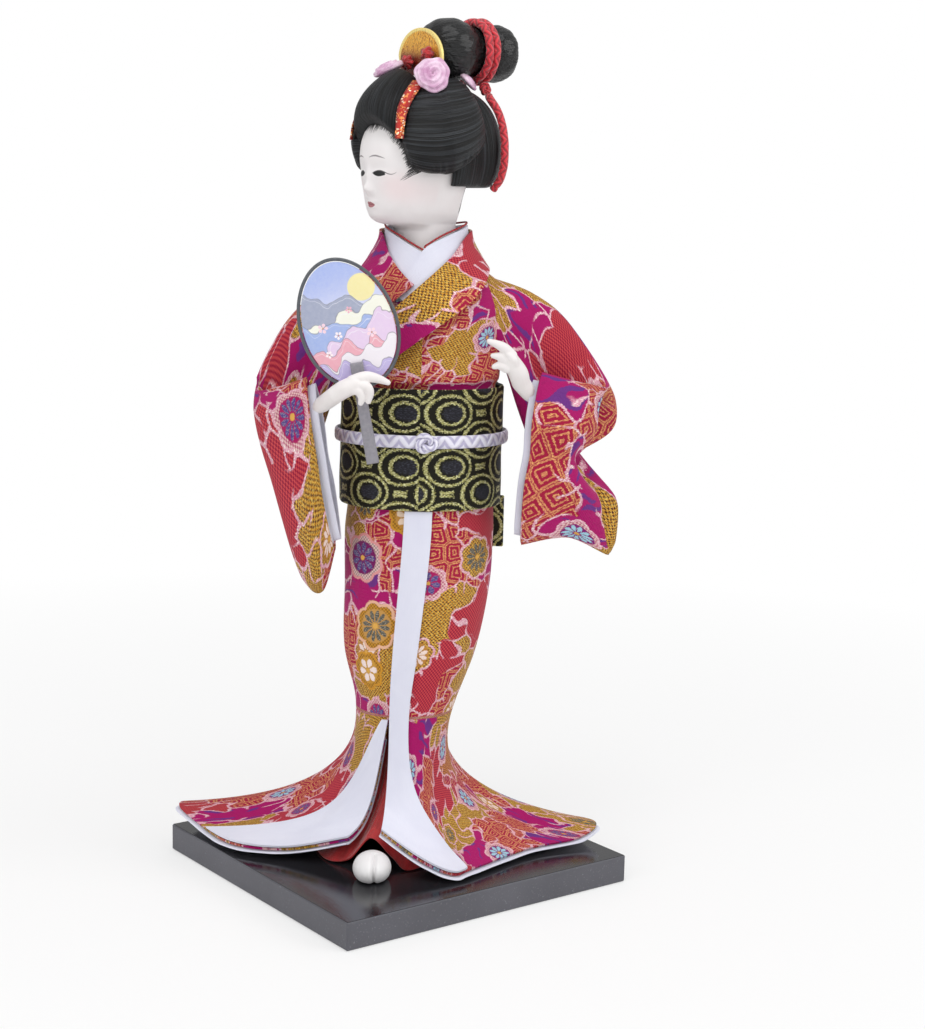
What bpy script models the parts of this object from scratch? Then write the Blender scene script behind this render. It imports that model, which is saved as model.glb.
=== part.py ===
"""Geisha figurine: a dressed doll on a square board, in metres, +Z up.

The board's underside is at the origin. The figure is modelled facing -Y in a frame of its own,
figure_frame, which is turned towards one corner of the board. The head has a further frame, head_frame.
"""

import math

import bmesh
import bpy
from mathutils import Matrix, Vector

for old in list(bpy.data.objects):
    bpy.data.objects.remove(old, do_unlink=True)

MM = 0.001

# Board and overall height
BASE_SIDE = 124.0 * MM
BASE_THICKNESS = 10.2 * MM
BASE_EDGE_BEVEL = 0.5 * MM
TOTAL_HEIGHT = 315.0 * MM
FIGURE_TURN = math.radians(-36.7)

# Cloth and fits
CLOTH = 0.8 * MM
GAP = 0.3 * MM
LAYER = CLOTH + GAP
HEM_THICKNESS = 1.3 * MM
HEM_SHOWING = 1.6 * MM
FACING_STAND = GAP + 0.15 * MM

# Support rod and neck
ROD_RADIUS = 2.0 * MM
ROD_REACH = 24.0 * MM
ROD_SEAT = 3.0 * MM
PIPING_RADIUS = 0.35 * MM
NECK_RADIUS = 10.8 * MM
NECK_DEPTH = 12.0 * MM
NECK_BACK = 1.4 * MM

# Heights of the garment's parts
OBI_BOTTOM = 140.5 * MM
OBI_TOP = 184.0 * MM
OBI_THICKNESS = 1.4 * MM
SKIRT_TOP = 152.0 * MM
KNEE = 64.0 * MM
CORE_BOTTOM = 72.0 * MM
BODICE_BOTTOM = 172.0 * MM
COLLAR_HEIGHT = 237.0 * MM

# Obi cord
OBI_CORD_HEIGHT = 165.5 * MM
OBI_CORD_WIDTH = 4.6 * MM
OBI_CORD_THICKNESS = 1.8 * MM

# Head and hair
HEAD_TURN = math.radians(-52.0)
HEAD_OVER_COLLAR = 29.0 * MM
HEAD_PLACE = Vector((6.5 * MM, 2.0 * MM, COLLAR_HEIGHT + HEAD_OVER_COLLAR))
SKULL = Vector((19.0, 24.2, 24.6)) * MM
HAIR_THICKNESS = 4.4 * MM
BUN_RADIUS = 11.3 * MM
BUN_WAIST = 8.8 * MM
REAR_BUN_RADIUS = 10.2 * MM
BUN_CORD_RADIUS = 1.45 * MM
RIBBON_WIDTH = 3.6 * MM

# Fan
FAN_HALF_HEIGHT = 22.6 * MM
FAN_HALF_WIDTH = 16.4 * MM
FAN_THICKNESS = 0.9 * MM
FAN_RIM_RADIUS = 0.6 * MM
FAN_HANDLE_WIDTH = 4.0 * MM
FAN_HANDLE_LENGTH = 46.0 * MM
FAN_HANDLE_THICKNESS = 1.4 * MM

# Outer surface of the clothed body: height, centre X, centre Y, half width, half depth, in mm
BODY_SECTIONS = [
    (40, -2.0, -5.0, 17.6, 18.5),
    (64, 2.6, -3.0, 18.8, 18.5),
    (86, 4.2, -1.0, 25.0, 21.5),
    (110, 6.4, 0.0, 27.3, 22.8),
    (130, 6.8, 0.0, 27.8, 23.0),
    (141, 7.2, 0.0, 27.2, 22.9),
    (184, 7.4, 0.0, 27.2, 22.9),
    (200, 7.6, 0.4, 28.4, 22.6),
    (212, 7.8, 0.8, 27.8, 20.8),
    (221, 7.8, 1.2, 24.0, 18.4),
    (229, 7.8, 2.0, 18.6, 16.0),
    (236, 7.7, 2.7, 14.7, 14.3),
    (241, 7.6, 2.9, 13.9, 13.8),
]

# Head profile: height, front Y, back Y, half width, in mm, in the head's frame
HEAD_SECTIONS = [
    (-42, -9.3, 12.1, 10.7), (-27, -9.3, 12.1, 10.7), (-25.2, -12.0, 12.1, 10.7), (-24.3, -17.6, 12.1, 10.8),
    (-22.8, -20.8, 12.2, 11.6), (-20.5, -22.2, 12.4, 13.0), (-18, -22.7, 12.6, 14.1), (-13.5, -22.7, 13.2, 15.7),
    (-8, -22.3, 15.5, 16.8), (-1, -22.4, 20.0, 17.5), (6, -21.6, 22.0, 17.2), (13, -17.8, 18.4, 14.6),
    (18, -12.6, 13.4, 11.0), (21.5, -6, 7.5, 6.2), (23.2, -2, 3, 2.4),
]

# Inner sleeves inside the kimono's
INNER_SLEEVE_INSET = 3.2 * MM
INNER_SLEEVE_SHOWING = 3.0 * MM

# Sleeves from the shoulder to the wrist, in mm: top, bottom, half thickness, shift at mid height, pinch
SLEEVE_RIGHT = [
    ((33.2, 1, 222.5), (37.4, 1, 190), (0, 8.5, 0), (0, 0, 0), 0.0),
    ((47, 1, 217.5), (46, 3, 166), (1, 8.0, 0), (0, 0, 0), 0.2),
    ((60, 0, 207.5), (58, 5, 141), (2, 7.0, 0), (-3, 0, 0), 0.5),
    ((74, -6, 186), (78, 1, 122.6), (5, 4.2, 0), (-15, 0, 0), 0.7),
    ((66, -16, 186), (62, -8, 130), (-1, 7.0, 0), (-3, -2, 0), 0.6),
    ((50, -22, 190), (44.5, -14, 128), (2, 7.0, 0), (0, -2, 0), 0.5),
]
SLEEVE_LEFT = [
    ((-17.6, 1, 222.5), (-22.2, 1, 190), (0, -8.5, 0), (0, 0, 0), 0.0),
    ((-31, 0, 216), (-30, 1, 165), (-1, -7.5, 0), (0, 0, 0), 0.2),
    ((-43, -3, 203), (-37, -2, 138), (-2, -6.5, 0), (0, 0, 0), 0.3),
    ((-51.5, -12, 183), (-33.5, -10, 112), (-4, -4, 0), (-1.5, 0, 0), 0.35),
    ((-43, -24, 184), (-27, -16, 109), (-1, -7, 0), (0, -2, 0), 0.35),
    ((-32.5, -29, 188), (-22.5, -19, 125), (-1, -7, 0), (0, -2, 0), 0.3),
]

# Hem of the train, from the viewer's left front edge round the back to the right front edge, in mm
TRAIN_HEM = [
    (-16, -31, 20.5), (-38, -27, 15), (-58, -20, 14), (-72, -5, 15), (-83, 7, 20.5),
    (-70, 26, 15.5), (-44, 40, 13.8), (-8, 50, 13.6), (32, 44, 13.6), (60, 26, 14), (76, 3, 18),
    (70, -5, 14.4), (50, -17, 13.6), (30, -39, 13.6), (22, -46, 13.6), (10, -43, 17.8), (-4, -35, 25),
]

# Hem of the red underskirt, all the way round, in mm
UNDERSKIRT_HEM = [
    (-8, -29.5, 20.6), (-16, -30, 12.6), (-24, -26, 11), (-29, -12, 11), (-26, 10, 11), (-8, 24, 11),
    (14, 22, 11), (26, 4, 11), (22, -16, 11), (12, -31, 11), (5, -35.5, 11), (0, -31, 14),
]


# Drum bow and tail of the sash: size, and centre's X and height
DRUM_SIZE = (54.0 * MM, 11.0 * MM, 44.0 * MM)
DRUM_PLACE = (10.0 * MM, 161.0 * MM)
TAIL_SIZE = (30.0 * MM, 1.4 * MM, 20.0 * MM)
TAIL_PLACE = (24.0 * MM, 128.7 * MM)

# Foot in its sock: half sizes, centre's X and Y, and the flat's depth below the centre
FOOT_HALF = (6.9 * MM, 9.5 * MM, 5.6 * MM)
FOOT_PLACE = (-6.6 * MM, -43.5 * MM)
FOOT_FLAT = 3.9 * MM

# Edges of the collars on the body: angle in degrees, 0 at the front, and height in mm
LAPEL_RIGHT_INNER = [(178, 240.5), (110, 240), (62, 237.5), (24, 229.5), (-4, 219.8), (-33, 205), (-66, 187)]
LAPEL_RIGHT_OUTER = [(178, 228.5), (120, 228), (88, 226.5), (60, 222.5), (22, 210.5), (-10, 198), (-38, 187)]
LAPEL_LEFT_INNER = [(-178, 240.5), (-120, 240), (-72, 238), (-38, 230.5), (-7.5, 220.6)]
LAPEL_LEFT_OUTER = [(-178, 228.5), (-125, 228), (-92, 226.5), (-62, 221), (-25, 213)]
UNDER_RIGHT_INNER = [(178, 242.4), (105, 241.6), (58, 239.8), (24, 236.8), (-1, 232.8), (-12, 226), (-18, 221)]
UNDER_RIGHT_OUTER = [(178, 235), (110, 234.5), (76, 232.5), (50, 227.5), (26, 220.5), (12, 214), (2, 210)]
UNDER_LEFT_INNER = [(-178, 242.4), (-105, 240.8), (-66, 239.0), (-34, 236.6), (-5, 233)]
UNDER_LEFT_OUTER = [(-178, 235), (-115, 234.5), (-82, 232.5), (-56, 227.5), (-25, 219)]

# Each hand, in mm: forearm route and radii, palm route and radii, then the fingers
HANDS = [
    (
        "hand_right",
        ([(-35, -25.0, 173.4), (-30, -27.6, 176.4), (-25.8, -30.6, 179.4), (-20.0, -42.0, 184.0)], 1.6, 2.1),
        ([(-21, -41.8, 183.4), (-18, -43.8, 185.6), (-14.5, -44.4, 187.2)], 2.5, 3.0),
        [
            ([(-15.5, -44.6, 188), (-11, -44.4, 189.6), (-7, -43.4, 188.7), (-3.5, -42.4, 187.8)], 1.3, 0.7),
            ([(-14, -44.6, 187), (-10.6, -45.4, 186.6), (-8.6, -45.2, 184.5), (-9.0, -43.6, 182)], 1.3, 0.8),
            ([(-15.5, -44.6, 185.6), (-13, -45.6, 184.6), (-12.2, -44.8, 182)], 1.2, 0.8),
        ],
    ),
    (
        "hand_left",
        ([(54, -19.6, 177.5), (49.5, -20.9, 180.4), (45.3, -22.0, 183.2), (42.2, -26.0, 187.4)], 1.6, 1.9),
        ([(43.0, -25.8, 186.2), (41.6, -29.2, 190), (39, -32, 194)], 2.4, 3.0),
        [
            ([(38.5, -33, 195), (35.5, -34.5, 198.5), (31.5, -35, 201.5)], 1.3, 0.6),
            ([(38.5, -32, 194), (35, -33.5, 196.5), (32.5, -34.5, 197)], 1.3, 0.7),
            ([(38, -32, 193), (35, -33, 194), (33.2, -34, 193.6)], 1.2, 0.7),
            ([(40.5, -31, 193), (40.2, -33, 197.5), (37.5, -34, 200)], 1.2, 0.7),
        ],
    ),
]

# The fan's leaf centre in the figure's frame
FAN_PLACE = Vector((-17.6, -40.8, 207.6)) * MM

# Locks of hair: azimuths in degrees, lowest elevation, puff in mm, share of its height over which it rises
HAIR_EDGE = 1.6 * MM
HAIR_TOP = 84.0
WING_EDGE = 2.6 * MM
NAPE_COLUMNS = [88.0, 99.0, 110.0, 120.5, 126.5, 137.0, 151.0, 165.0, 180.0]
HAIR_LOBES = {
    "hair_forelock": (-39.0, 39.0, lambda a: 24.0 - 0.0105 * a * a, HAIR_THICKNESS + 1.9 * MM, 0.30),
    "hair_wing_left": (40.2, 118.0, lambda a: 0.0086 * (abs(a) - 62.0) ** 2 - 16.0, HAIR_THICKNESS + 1.9 * MM, 0.45),
    "hair_wing_right": (-118.0, -40.2, lambda a: 0.0086 * (abs(a) - 62.0) ** 2 - 16.0,
                        HAIR_THICKNESS + 1.9 * MM, 0.45),
    "hair_nape": (88.0, 272.0, lambda a: -26.0, HAIR_THICKNESS + 0.2 * MM, 0.5),
}

# Centre of the bun in the head's frame
BUN_PLACE = Vector((0.0, 9.5, 37.6)) * MM
BUN_CORDS = (11.45 * MM, 14.6 * MM)

# Ornaments
COMB_HALF_WIDTH = 13.0 * MM
COMB_HEIGHT = 10.4 * MM
COMB_FOOT = 4.0 * MM
COMB_THICKNESS = 1.0 * MM
COMB_BASE_HEIGHT = 34.0 * MM
ROSETTE_RADIUS = 6.2 * MM


def material(name, colour, roughness, metallic=0.0):
    """A plain Principled material with a colour, a roughness and a metallic value."""
    finish = bpy.data.materials.new(name)
    finish.use_nodes = True
    shader = finish.node_tree.nodes["Principled BSDF"]
    shader.inputs["Base Color"].default_value = (*colour, 1.0)
    shader.inputs["Roughness"].default_value = roughness
    shader.inputs["Metallic"].default_value = metallic
    return finish


def collection(name):
    """A new collection in the scene."""
    made = bpy.data.collections.new(name)
    bpy.context.scene.collection.children.link(made)
    return made


def empty(name, home, parent=None, location=(0, 0, 0), rotation=(0, 0, 0)):
    """An empty that carries other objects."""
    made = bpy.data.objects.new(name, None)
    home.objects.link(made)
    made.parent = parent
    made.location = location
    made.rotation_euler = rotation
    return made


def place(made, finish, parent, location=(0, 0, 0), rotation=(0, 0, 0)):
    """Give an object its material, its parent and its place."""
    made.data.materials.clear()
    made.data.materials.append(finish)
    made.data.shade_smooth()
    made.data.set_sharp_from_angle(angle=math.radians(50))
    made.parent = parent
    made.location = location
    made.rotation_euler = rotation
    for owner in made.users_collection:
        owner.objects.unlink(made)
    PARTS.objects.link(made)
    return made


def mesh_object(name, points, faces):
    """An object from points and faces, not yet placed."""
    mesh = bpy.data.meshes.new(name)
    mesh.from_pydata([tuple(p) for p in points], [], faces)
    made = bpy.data.objects.new(name, mesh)
    PARTS.objects.link(made)
    return made


def primitive(name):
    """The primitive that was just added, under its own name and with its scale applied."""
    made = bpy.context.object
    made.name = name
    made.data.name = name
    return made


def shaped(made, scale):
    """Scale an object's mesh, so that its modifiers keep their real widths."""
    made.data.transform(Matrix.Diagonal((*scale, 1.0)))
    return made


def smooth_step(x):
    """0 below 0, 1 above 1, and smooth between."""
    x = min(max(x, 0.0), 1.0)
    return x * x * (3 - 2 * x)


def mix(a, b, t):
    """A point or number between a and b."""
    return a + (b - a) * t


def spline(points, t, closed=False):
    """A smooth curve through points, with t from 0 to 1."""
    count = len(points)
    spans = count if closed else count - 1
    place_on = min(max(t, 0.0), 1.0) * spans
    i = min(int(place_on), spans - 1)
    f = place_on - i

    def at(k):
        if closed:
            return Vector(points[k % count])
        return Vector(points[min(max(k, 0), count - 1)])

    a, b, c, d = at(i - 1), at(i), at(i + 1), at(i + 2)
    return 0.5 * (2 * b + (c - a) * f + (2 * a - 5 * b + 4 * c - d) * f * f + (3 * b - a - 3 * c + d) * f ** 3)


def body_section(z):
    """Centre X, centre Y, half width and half depth of the clothed body at a height."""
    heights = [row[0] * MM for row in BODY_SECTIONS]
    z = min(max(z, heights[0]), heights[-1])
    i = 0
    while i < len(heights) - 2 and z > heights[i + 1]:
        i += 1
    f = (z - heights[i]) / (heights[i + 1] - heights[i])
    rows = [BODY_SECTIONS[min(max(k, 0), len(heights) - 1)] for k in (i - 1, i, i + 1, i + 2)]
    spans = heights[i + 1] - heights[i]
    values = []
    for k in (1, 2, 3, 4):
        before = (rows[2][k] - rows[0][k]) / max((rows[2][0] - rows[0][0]) * MM, 1e-6)
        after = (rows[3][k] - rows[1][k]) / max((rows[3][0] - rows[1][0]) * MM, 1e-6)
        h = f * f * (3 - 2 * f)
        value = mix(rows[1][k], rows[2][k], h)
        value += spans * (before * f * (1 - f) ** 2 - after * f * f * (1 - f))
        values.append(value * MM)
    return values


def body_point(angle, z, out=0.0):
    """A point on the clothed body. Angle 0 faces -Y and grows towards +X."""
    cx, cy, half_width, half_depth = body_section(z)
    return Vector((
        cx + (half_width + out) * math.sin(angle),
        cy - (half_depth + out) * math.cos(angle),
        z,
    ))


def grid_faces(rows, cols, wrap=False):
    """Quads between the rows of a grid, facing out where columns run anticlockwise seen from below."""
    faces = []
    for r in range(rows - 1):
        for c in range(cols if wrap else cols - 1):
            n = (c + 1) % cols
            faces.append((r * cols + c, r * cols + n, (r + 1) * cols + n, (r + 1) * cols + c))
    return faces


def normals(grid, wrap=False):
    """A normal at each point of a grid, by differences."""
    rows, cols = len(grid), len(grid[0])
    result = []
    for r in range(rows):
        line = []
        for c in range(cols):
            if wrap:
                left, right = grid[r][(c - 1) % cols], grid[r][(c + 1) % cols]
            else:
                left, right = grid[r][max(c - 1, 0)], grid[r][min(c + 1, cols - 1)]
            down, up = grid[max(r - 1, 0)][c], grid[min(r + 1, rows - 1)][c]
            line.append((right - left).cross(up - down).normalized())
        result.append(line)
    return result


def moved(grid, amount, wrap=False):
    """A grid moved along its normals by an amount, or by a function of row and column shares."""
    rows, cols = len(grid), len(grid[0])
    facing = normals(grid, wrap)
    result = []
    for r in range(rows):
        line = []
        for c in range(cols):
            step = amount(r / (rows - 1), c / (cols - 1)) if callable(amount) else amount
            line.append(grid[r][c] + facing[r][c] * step)
        result.append(line)
    return result


def slab(name, outer, inner):
    """A closed solid between two open grids of the same size."""
    rows, cols = len(outer), len(outer[0])
    points = [p for row in outer for p in row] + [p for row in inner for p in row]
    base = rows * cols
    faces = grid_faces(rows, cols)
    faces += [tuple(base + k for k in reversed(face)) for face in faces]
    edge = [c for c in range(cols)]
    edge += [r * cols + cols - 1 for r in range(1, rows)]
    edge += [(rows - 1) * cols + c for c in range(cols - 2, -1, -1)]
    edge += [r * cols for r in range(rows - 2, 0, -1)]
    for k, a in enumerate(edge):
        b = edge[(k + 1) % len(edge)]
        faces.append((b, a, base + a, base + b))
    return mesh_object(name, points, faces)


def sleeve_shell(name, outer, inner):
    """A closed solid between two wrapped grids: a tube with walls, open at both ends."""
    rows, cols = len(outer), len(outer[0])
    points = [p for row in outer for p in row] + [p for row in inner for p in row]
    base = rows * cols
    faces = grid_faces(rows, cols, True)
    faces += [tuple(base + k for k in reversed(face)) for face in faces]
    for c in range(cols):
        n = (c + 1) % cols
        faces.append((n, c, base + c, base + n))
        last = (rows - 1) * cols
        faces.append((last + c, last + n, base + last + n, base + last + c))
    return mesh_object(name, points, faces)


def loft(name, rings):
    """A closed solid through rings of points, with flat ends."""
    rows, cols = len(rings), len(rings[0])
    points = [p for ring in rings for p in ring]
    faces = grid_faces(rows, cols, True)
    faces.append(tuple(reversed(range(cols))))
    faces.append(tuple((rows - 1) * cols + c for c in range(cols)))
    return mesh_object(name, points, faces)


def upward(made):
    """Turn every face outwards."""
    shape = bmesh.new()
    shape.from_mesh(made.data)
    bmesh.ops.recalc_face_normals(shape, faces=shape.faces)
    shape.to_mesh(made.data)
    shape.free()
    return made


def tube(name, points, radii, sides=8):
    """A closed tube along points with a radius at each, its ends drawn in."""
    rings = []
    last = len(points) - 1
    for i, point in enumerate(points):
        ahead = (points[min(i + 1, last)] - points[max(i - 1, 0)]).normalized()
        side = ahead.cross(Vector((0.1, 0.2, 1.0))).normalized()
        lift = side.cross(ahead)
        ring = []
        for k in range(sides):
            turn = 2 * math.pi * k / sides
            ring.append(point + (side * math.cos(turn) + lift * math.sin(turn)) * radii[i])
        rings.append(ring)
    return upward(loft(name, rings))


def curve_cord(name, route, radius, closed=False):
    """A cord as a curve object with a round section and filled caps."""
    line = bpy.data.curves.new(name, "CURVE")
    line.dimensions = "3D"
    line.bevel_depth = radius
    line.bevel_resolution = 1
    line.use_fill_caps = not closed
    line.resolution_u = 1
    line.render_resolution_u = 0
    path = line.splines.new("POLY")
    path.points.add(len(route) - 1)
    path.use_cyclic_u = closed
    for spot, point in zip(path.points, route):
        spot.co = (*point, 1.0)
    made = bpy.data.objects.new(name, line)
    PARTS.objects.link(made)
    return made


def place_curve(made, finish, parent):
    """Give a curve object its material and parent."""
    made.data.materials.append(finish)
    made.parent = parent
    return made


def boolean(made, cutter, operation):
    """Join or cut with another object."""
    step = made.modifiers.new(operation.title() + " " + cutter.name, "BOOLEAN")
    step.operation = operation
    step.solver = "EXACT"
    step.object = cutter
    cutter.hide_render = True
    cutter.display_type = "WIRE"
    for owner in cutter.users_collection:
        owner.objects.unlink(cutter)
    CUTTERS.objects.link(cutter)
    return made


def skirt_edges(z):
    """X of the viewer's left free edge and of the right front edge, over the height above the knee."""
    t = smooth_step((z - KNEE) / (SKIRT_TOP - KNEE))
    return mix(-2.3 * MM, 15.0 * MM, t ** 0.6), mix(-1.7 * MM, 2.8 * MM, t)


def skirt_angle(x, z):
    """The angle on the body's front at which a vertical line has a given X."""
    cx, _, half_width, _ = body_section(z)
    return math.asin(max(-1.0, min(1.0, (x - cx) / half_width)))


def skirt_point(u, z, out=0.0):
    """A point of the wrapped skirt above the knee. u runs from the left free edge round the back."""
    left_x, right_x = skirt_edges(z)
    first = skirt_angle(left_x, z)
    last = skirt_angle(right_x, z)
    angle = first - u * (2 * math.pi + first - last)
    lap = LAYER * (1.2 * smooth_step((u - 0.62) / 0.25) - 1.2 * smooth_step((0.38 - u) / 0.25))
    return body_point(angle, z, out + lap * 0.5 - 0.5 * CLOTH)


def train_point(u, t):
    """A point of the skirt below the knee: t is 0 at the knee and 1 at the hem."""
    knee = skirt_point(u, KNEE)
    above = skirt_point(u, KNEE + 2 * MM)
    hem = spline(TRAIN_HEM, u) * MM
    out = Vector((hem.x - knee.x, hem.y - knee.y, 0.0))
    reach = out.length
    drop = knee.z - hem.z
    lead = (knee - above).normalized() * drop * 0.62
    trail = Vector((out.x, out.y, 0.0)) * 0.62 + Vector((0, 0, -0.10 * drop))
    a, b, c, d = knee, knee + lead, hem - trail, hem
    s = 1 - t
    point = a * s ** 3 + 3 * b * s * s * t + 3 * c * s * t * t + d * t ** 3
    folds = math.sin(u * 2 * math.pi * 7.0) * 1.3 * MM + math.sin(u * 2 * math.pi * 4.0 + 1.0) * 0.9 * MM
    ease = t * (1 - t) * 3.0 * smooth_step(u / 0.1) * smooth_step((1 - u) / 0.1)
    return point + Vector((0, 0, 1)) * folds * ease * smooth_step(reach / (25 * MM))


def skirt_grid(rows_above, rows_below, cols, top=SKIRT_TOP, first=0.0, last=1.0):
    """The skirt's outer surface as rows from its top down to the hem."""
    grid = []
    for r in range(rows_above):
        z = mix(top, KNEE, r / rows_above)
        grid.append([skirt_point(mix(first, last, c / (cols - 1)), z) for c in range(cols)])
    for r in range(rows_below + 1):
        t = r / rows_below
        grid.append([train_point(mix(first, last, c / (cols - 1)), t) for c in range(cols)])
    return grid


PARTS = collection("geisha_figurine")
CUTTERS = collection("cutters")


def make_base(finishes, _):
    """The square board, with a hole for the rod."""
    bpy.ops.mesh.primitive_cube_add(size=1.0)
    made = shaped(primitive("base_board"), (BASE_SIDE, BASE_SIDE, BASE_THICKNESS))
    place(made, finishes["board"], None, (0, 0, BASE_THICKNESS / 2))
    bpy.ops.mesh.primitive_cylinder_add(vertices=16, radius=ROD_RADIUS + GAP, depth=BASE_THICKNESS)
    cutter = primitive("rod_hole")
    cutter.parent = FIGURE
    x, y = rod_axis()
    cutter.location = (x, y, BASE_THICKNESS * 0.5 + ROD_SEAT)
    boolean(made, cutter, "DIFFERENCE")
    edge = made.modifiers.new("Rounded edges", "BEVEL")
    edge.width = BASE_EDGE_BEVEL
    edge.segments = 1
    edge.limit_method = "ANGLE"
    edge.angle_limit = math.radians(60)


def rod_axis():
    """Where the rod stands: under the body's middle at the knee."""
    cx, cy, _, _ = body_section(KNEE)
    return cx, cy


def neck_axis():
    """Where the neck stands in the figure's frame."""
    return (HEAD_PLACE.x - math.sin(HEAD_TURN) * NECK_BACK, HEAD_PLACE.y + math.cos(HEAD_TURN) * NECK_BACK)


def make_rod(finishes, figure):
    """The rod from the board up into the body core."""
    bottom = ROD_SEAT + GAP
    top = CORE_BOTTOM + ROD_REACH - GAP
    bpy.ops.mesh.primitive_cylinder_add(vertices=16, radius=ROD_RADIUS, depth=top - bottom)
    made = primitive("support_rod")
    x, y = rod_axis()
    place(made, finishes["wire"], figure, (x, y, (top + bottom) / 2))


def make_core(finishes, figure):
    """The stuffed body inside the clothes, with a bore for the rod and a socket for the neck."""
    inset = -(2 * LAYER + 0.5 * CLOTH)
    rings = []
    for i in range(8):
        z = mix(COLLAR_HEIGHT - 5 * MM, CORE_BOTTOM, i / 7)
        rings.append([body_point(-2 * math.pi * k / 16, z, inset) for k in range(16)])
    made = place(loft("body_core", rings), finishes["wood"], figure)
    x, y = rod_axis()
    bpy.ops.mesh.primitive_cylinder_add(vertices=16, radius=ROD_RADIUS + GAP, depth=ROD_REACH * 2)
    bore = primitive("rod_bore")
    bore.parent = figure
    bore.location = (x, y, CORE_BOTTOM)
    boolean(made, bore, "DIFFERENCE")
    bpy.ops.mesh.primitive_cylinder_add(vertices=26, radius=NECK_RADIUS + GAP * 2, depth=NECK_DEPTH * 2)
    socket = primitive("neck_socket")
    socket.parent = figure
    x, y = neck_axis()
    socket.location = (x, y, COLLAR_HEIGHT - 5 * MM)
    boolean(made, socket, "DIFFERENCE")


def make_skirt(finishes, figure):
    """The brocade skirt: wrapped above the knee, open at the front below it, with a spread train."""
    outer = skirt_grid(5, 8, 31)
    place(slab("kimono_skirt", outer, moved(outer, -CLOTH)), finishes["brocade"], figure)


def make_lining(finishes, figure):
    """The white lining inside the train. Its edge is thick, and shows past the brocade as the hem."""
    outer = []
    for r in range(1, 9):
        outer.append([train_point(c / 30, r / 8) for c in range(31)])
    top = moved(outer, -LAYER - 0.35 * MM)
    hem = []
    for c in range(31):
        reach = (outer[-1][c] - outer[-2][c]).normalized()
        hem.append(top[-1][c] + Vector((reach.x, reach.y, max(reach.z, -0.05))) * HEM_SHOWING)
    top.append(hem)
    low = moved(top, lambda r, c: -mix(CLOTH, HEM_THICKNESS, smooth_step((r - 0.55) / 0.4)))
    place(slab("train_lining", top, low), finishes["lining"], figure)


def facing_grid(first, last, rows_above, rows_below, cols, top, start=0.0):
    """Rows of the skirt's surface between two edges that are functions of the height share."""
    grid = []
    for r in range(rows_above):
        z = mix(top, KNEE, r / rows_above)
        share = (z - KNEE) / (SKIRT_TOP - KNEE)
        a, b = first(-share), last(-share)
        grid.append([skirt_point(mix(a, b, c / (cols - 1)), z) for c in range(cols)])
    for r in range(rows_below + 1):
        t = mix(start, 1.0, r / rows_below)
        a, b = first(t), last(t)
        grid.append([train_point(mix(a, b, c / (cols - 1)), t) for c in range(cols)])
    return grid


def folded_width(t):
    """How far the folded corner reaches along the cloth, from the knee to the hem."""
    return 0.012 + 0.17 * t ** 0.75


def make_facings(finishes, figure):
    """The white facing along the front edge, and the one folded back on the viewer's left."""
    front = facing_grid(
        lambda t: 1.0 - 0.052 - 0.023 * smooth_step(t + 0.3) - 0.098 * smooth_step(t) ** 1.5,
        lambda t: 1.0, 6, 7, 5, OBI_BOTTOM - GAP)
    outer = moved(front, FACING_STAND + CLOTH)
    place(slab("front_facing", outer, moved(front, FACING_STAND)), finishes["lining"], figure)
    folded = facing_grid(lambda t: 0.0, folded_width, 0, 7, 5, KNEE, 0.02)
    outer = moved(folded, FACING_STAND + CLOTH)
    place(slab("folded_facing", outer, moved(folded, FACING_STAND)), finishes["lining"], figure)


def underskirt_point(u, t):
    """A point of the red underskirt: t is 0 at its gathered top and 1 at the hem."""
    angle = -2 * math.pi * u
    top = body_point(angle, CORE_BOTTOM - GAP, -(2 * LAYER + 5.8 * MM))
    axis = Vector((*rod_axis(), top.z))
    hem = spline(UNDERSKIRT_HEM, u, True) * MM
    drop = top.z - hem.z
    out = Vector((hem.x - top.x, hem.y - top.y, 0))
    a, d = top, hem
    b = mix(top, axis, 0.2) - Vector((0, 0, drop * 0.60))
    c = hem - out * 0.45 + Vector((0, 0, drop * 0.12))
    s = 1 - t
    point = a * s ** 3 + 3 * b * s * s * t + 3 * c * s * t * t + d * t ** 3
    pleat = math.sin(u * 2 * math.pi * 9) * 0.5 * MM * 4 * t * (1 - t)
    return point + out.normalized() * pleat if out.length > 0 else point


def make_underskirt(finishes, figure):
    """The red satin underskirt, gathered under the body core and spread over the foot."""
    outer = [[underskirt_point(k / 24, r / 6) for k in range(24)] for r in range(7)]
    inner = moved(outer, -CLOTH, True)
    place(sleeve_shell("underskirt", outer, inner), finishes["satin"], figure)


def make_foot(finishes, figure):
    """The foot in its white sock, flat below, with the split between the toes."""
    bpy.ops.mesh.primitive_uv_sphere_add(segments=18, ring_count=10, radius=1.0)
    made = shaped(primitive("foot"), FOOT_HALF)
    for vertex in made.data.vertices:
        vertex.co.z = max(vertex.co.z, -FOOT_FLAT)
        if vertex.co.y < 0:
            cleft = math.exp(-((vertex.co.x - 1.0 * MM) / (1.1 * MM)) ** 2)
            vertex.co.y += cleft * 2.2 * MM * -vertex.co.y / FOOT_HALF[1]
            vertex.co.z -= cleft * 0.9 * MM * max(vertex.co.z, 0) / FOOT_HALF[2]
    place(made, finishes["sock"], figure, (*FOOT_PLACE, BASE_THICKNESS + GAP + FOOT_FLAT))


def obi_ring(out, z, cols=26):
    """A ring of points round the body at a height, at a distance from its outer surface."""
    return [body_point(-2 * math.pi * k / cols, z, out) for k in range(cols)]


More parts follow.
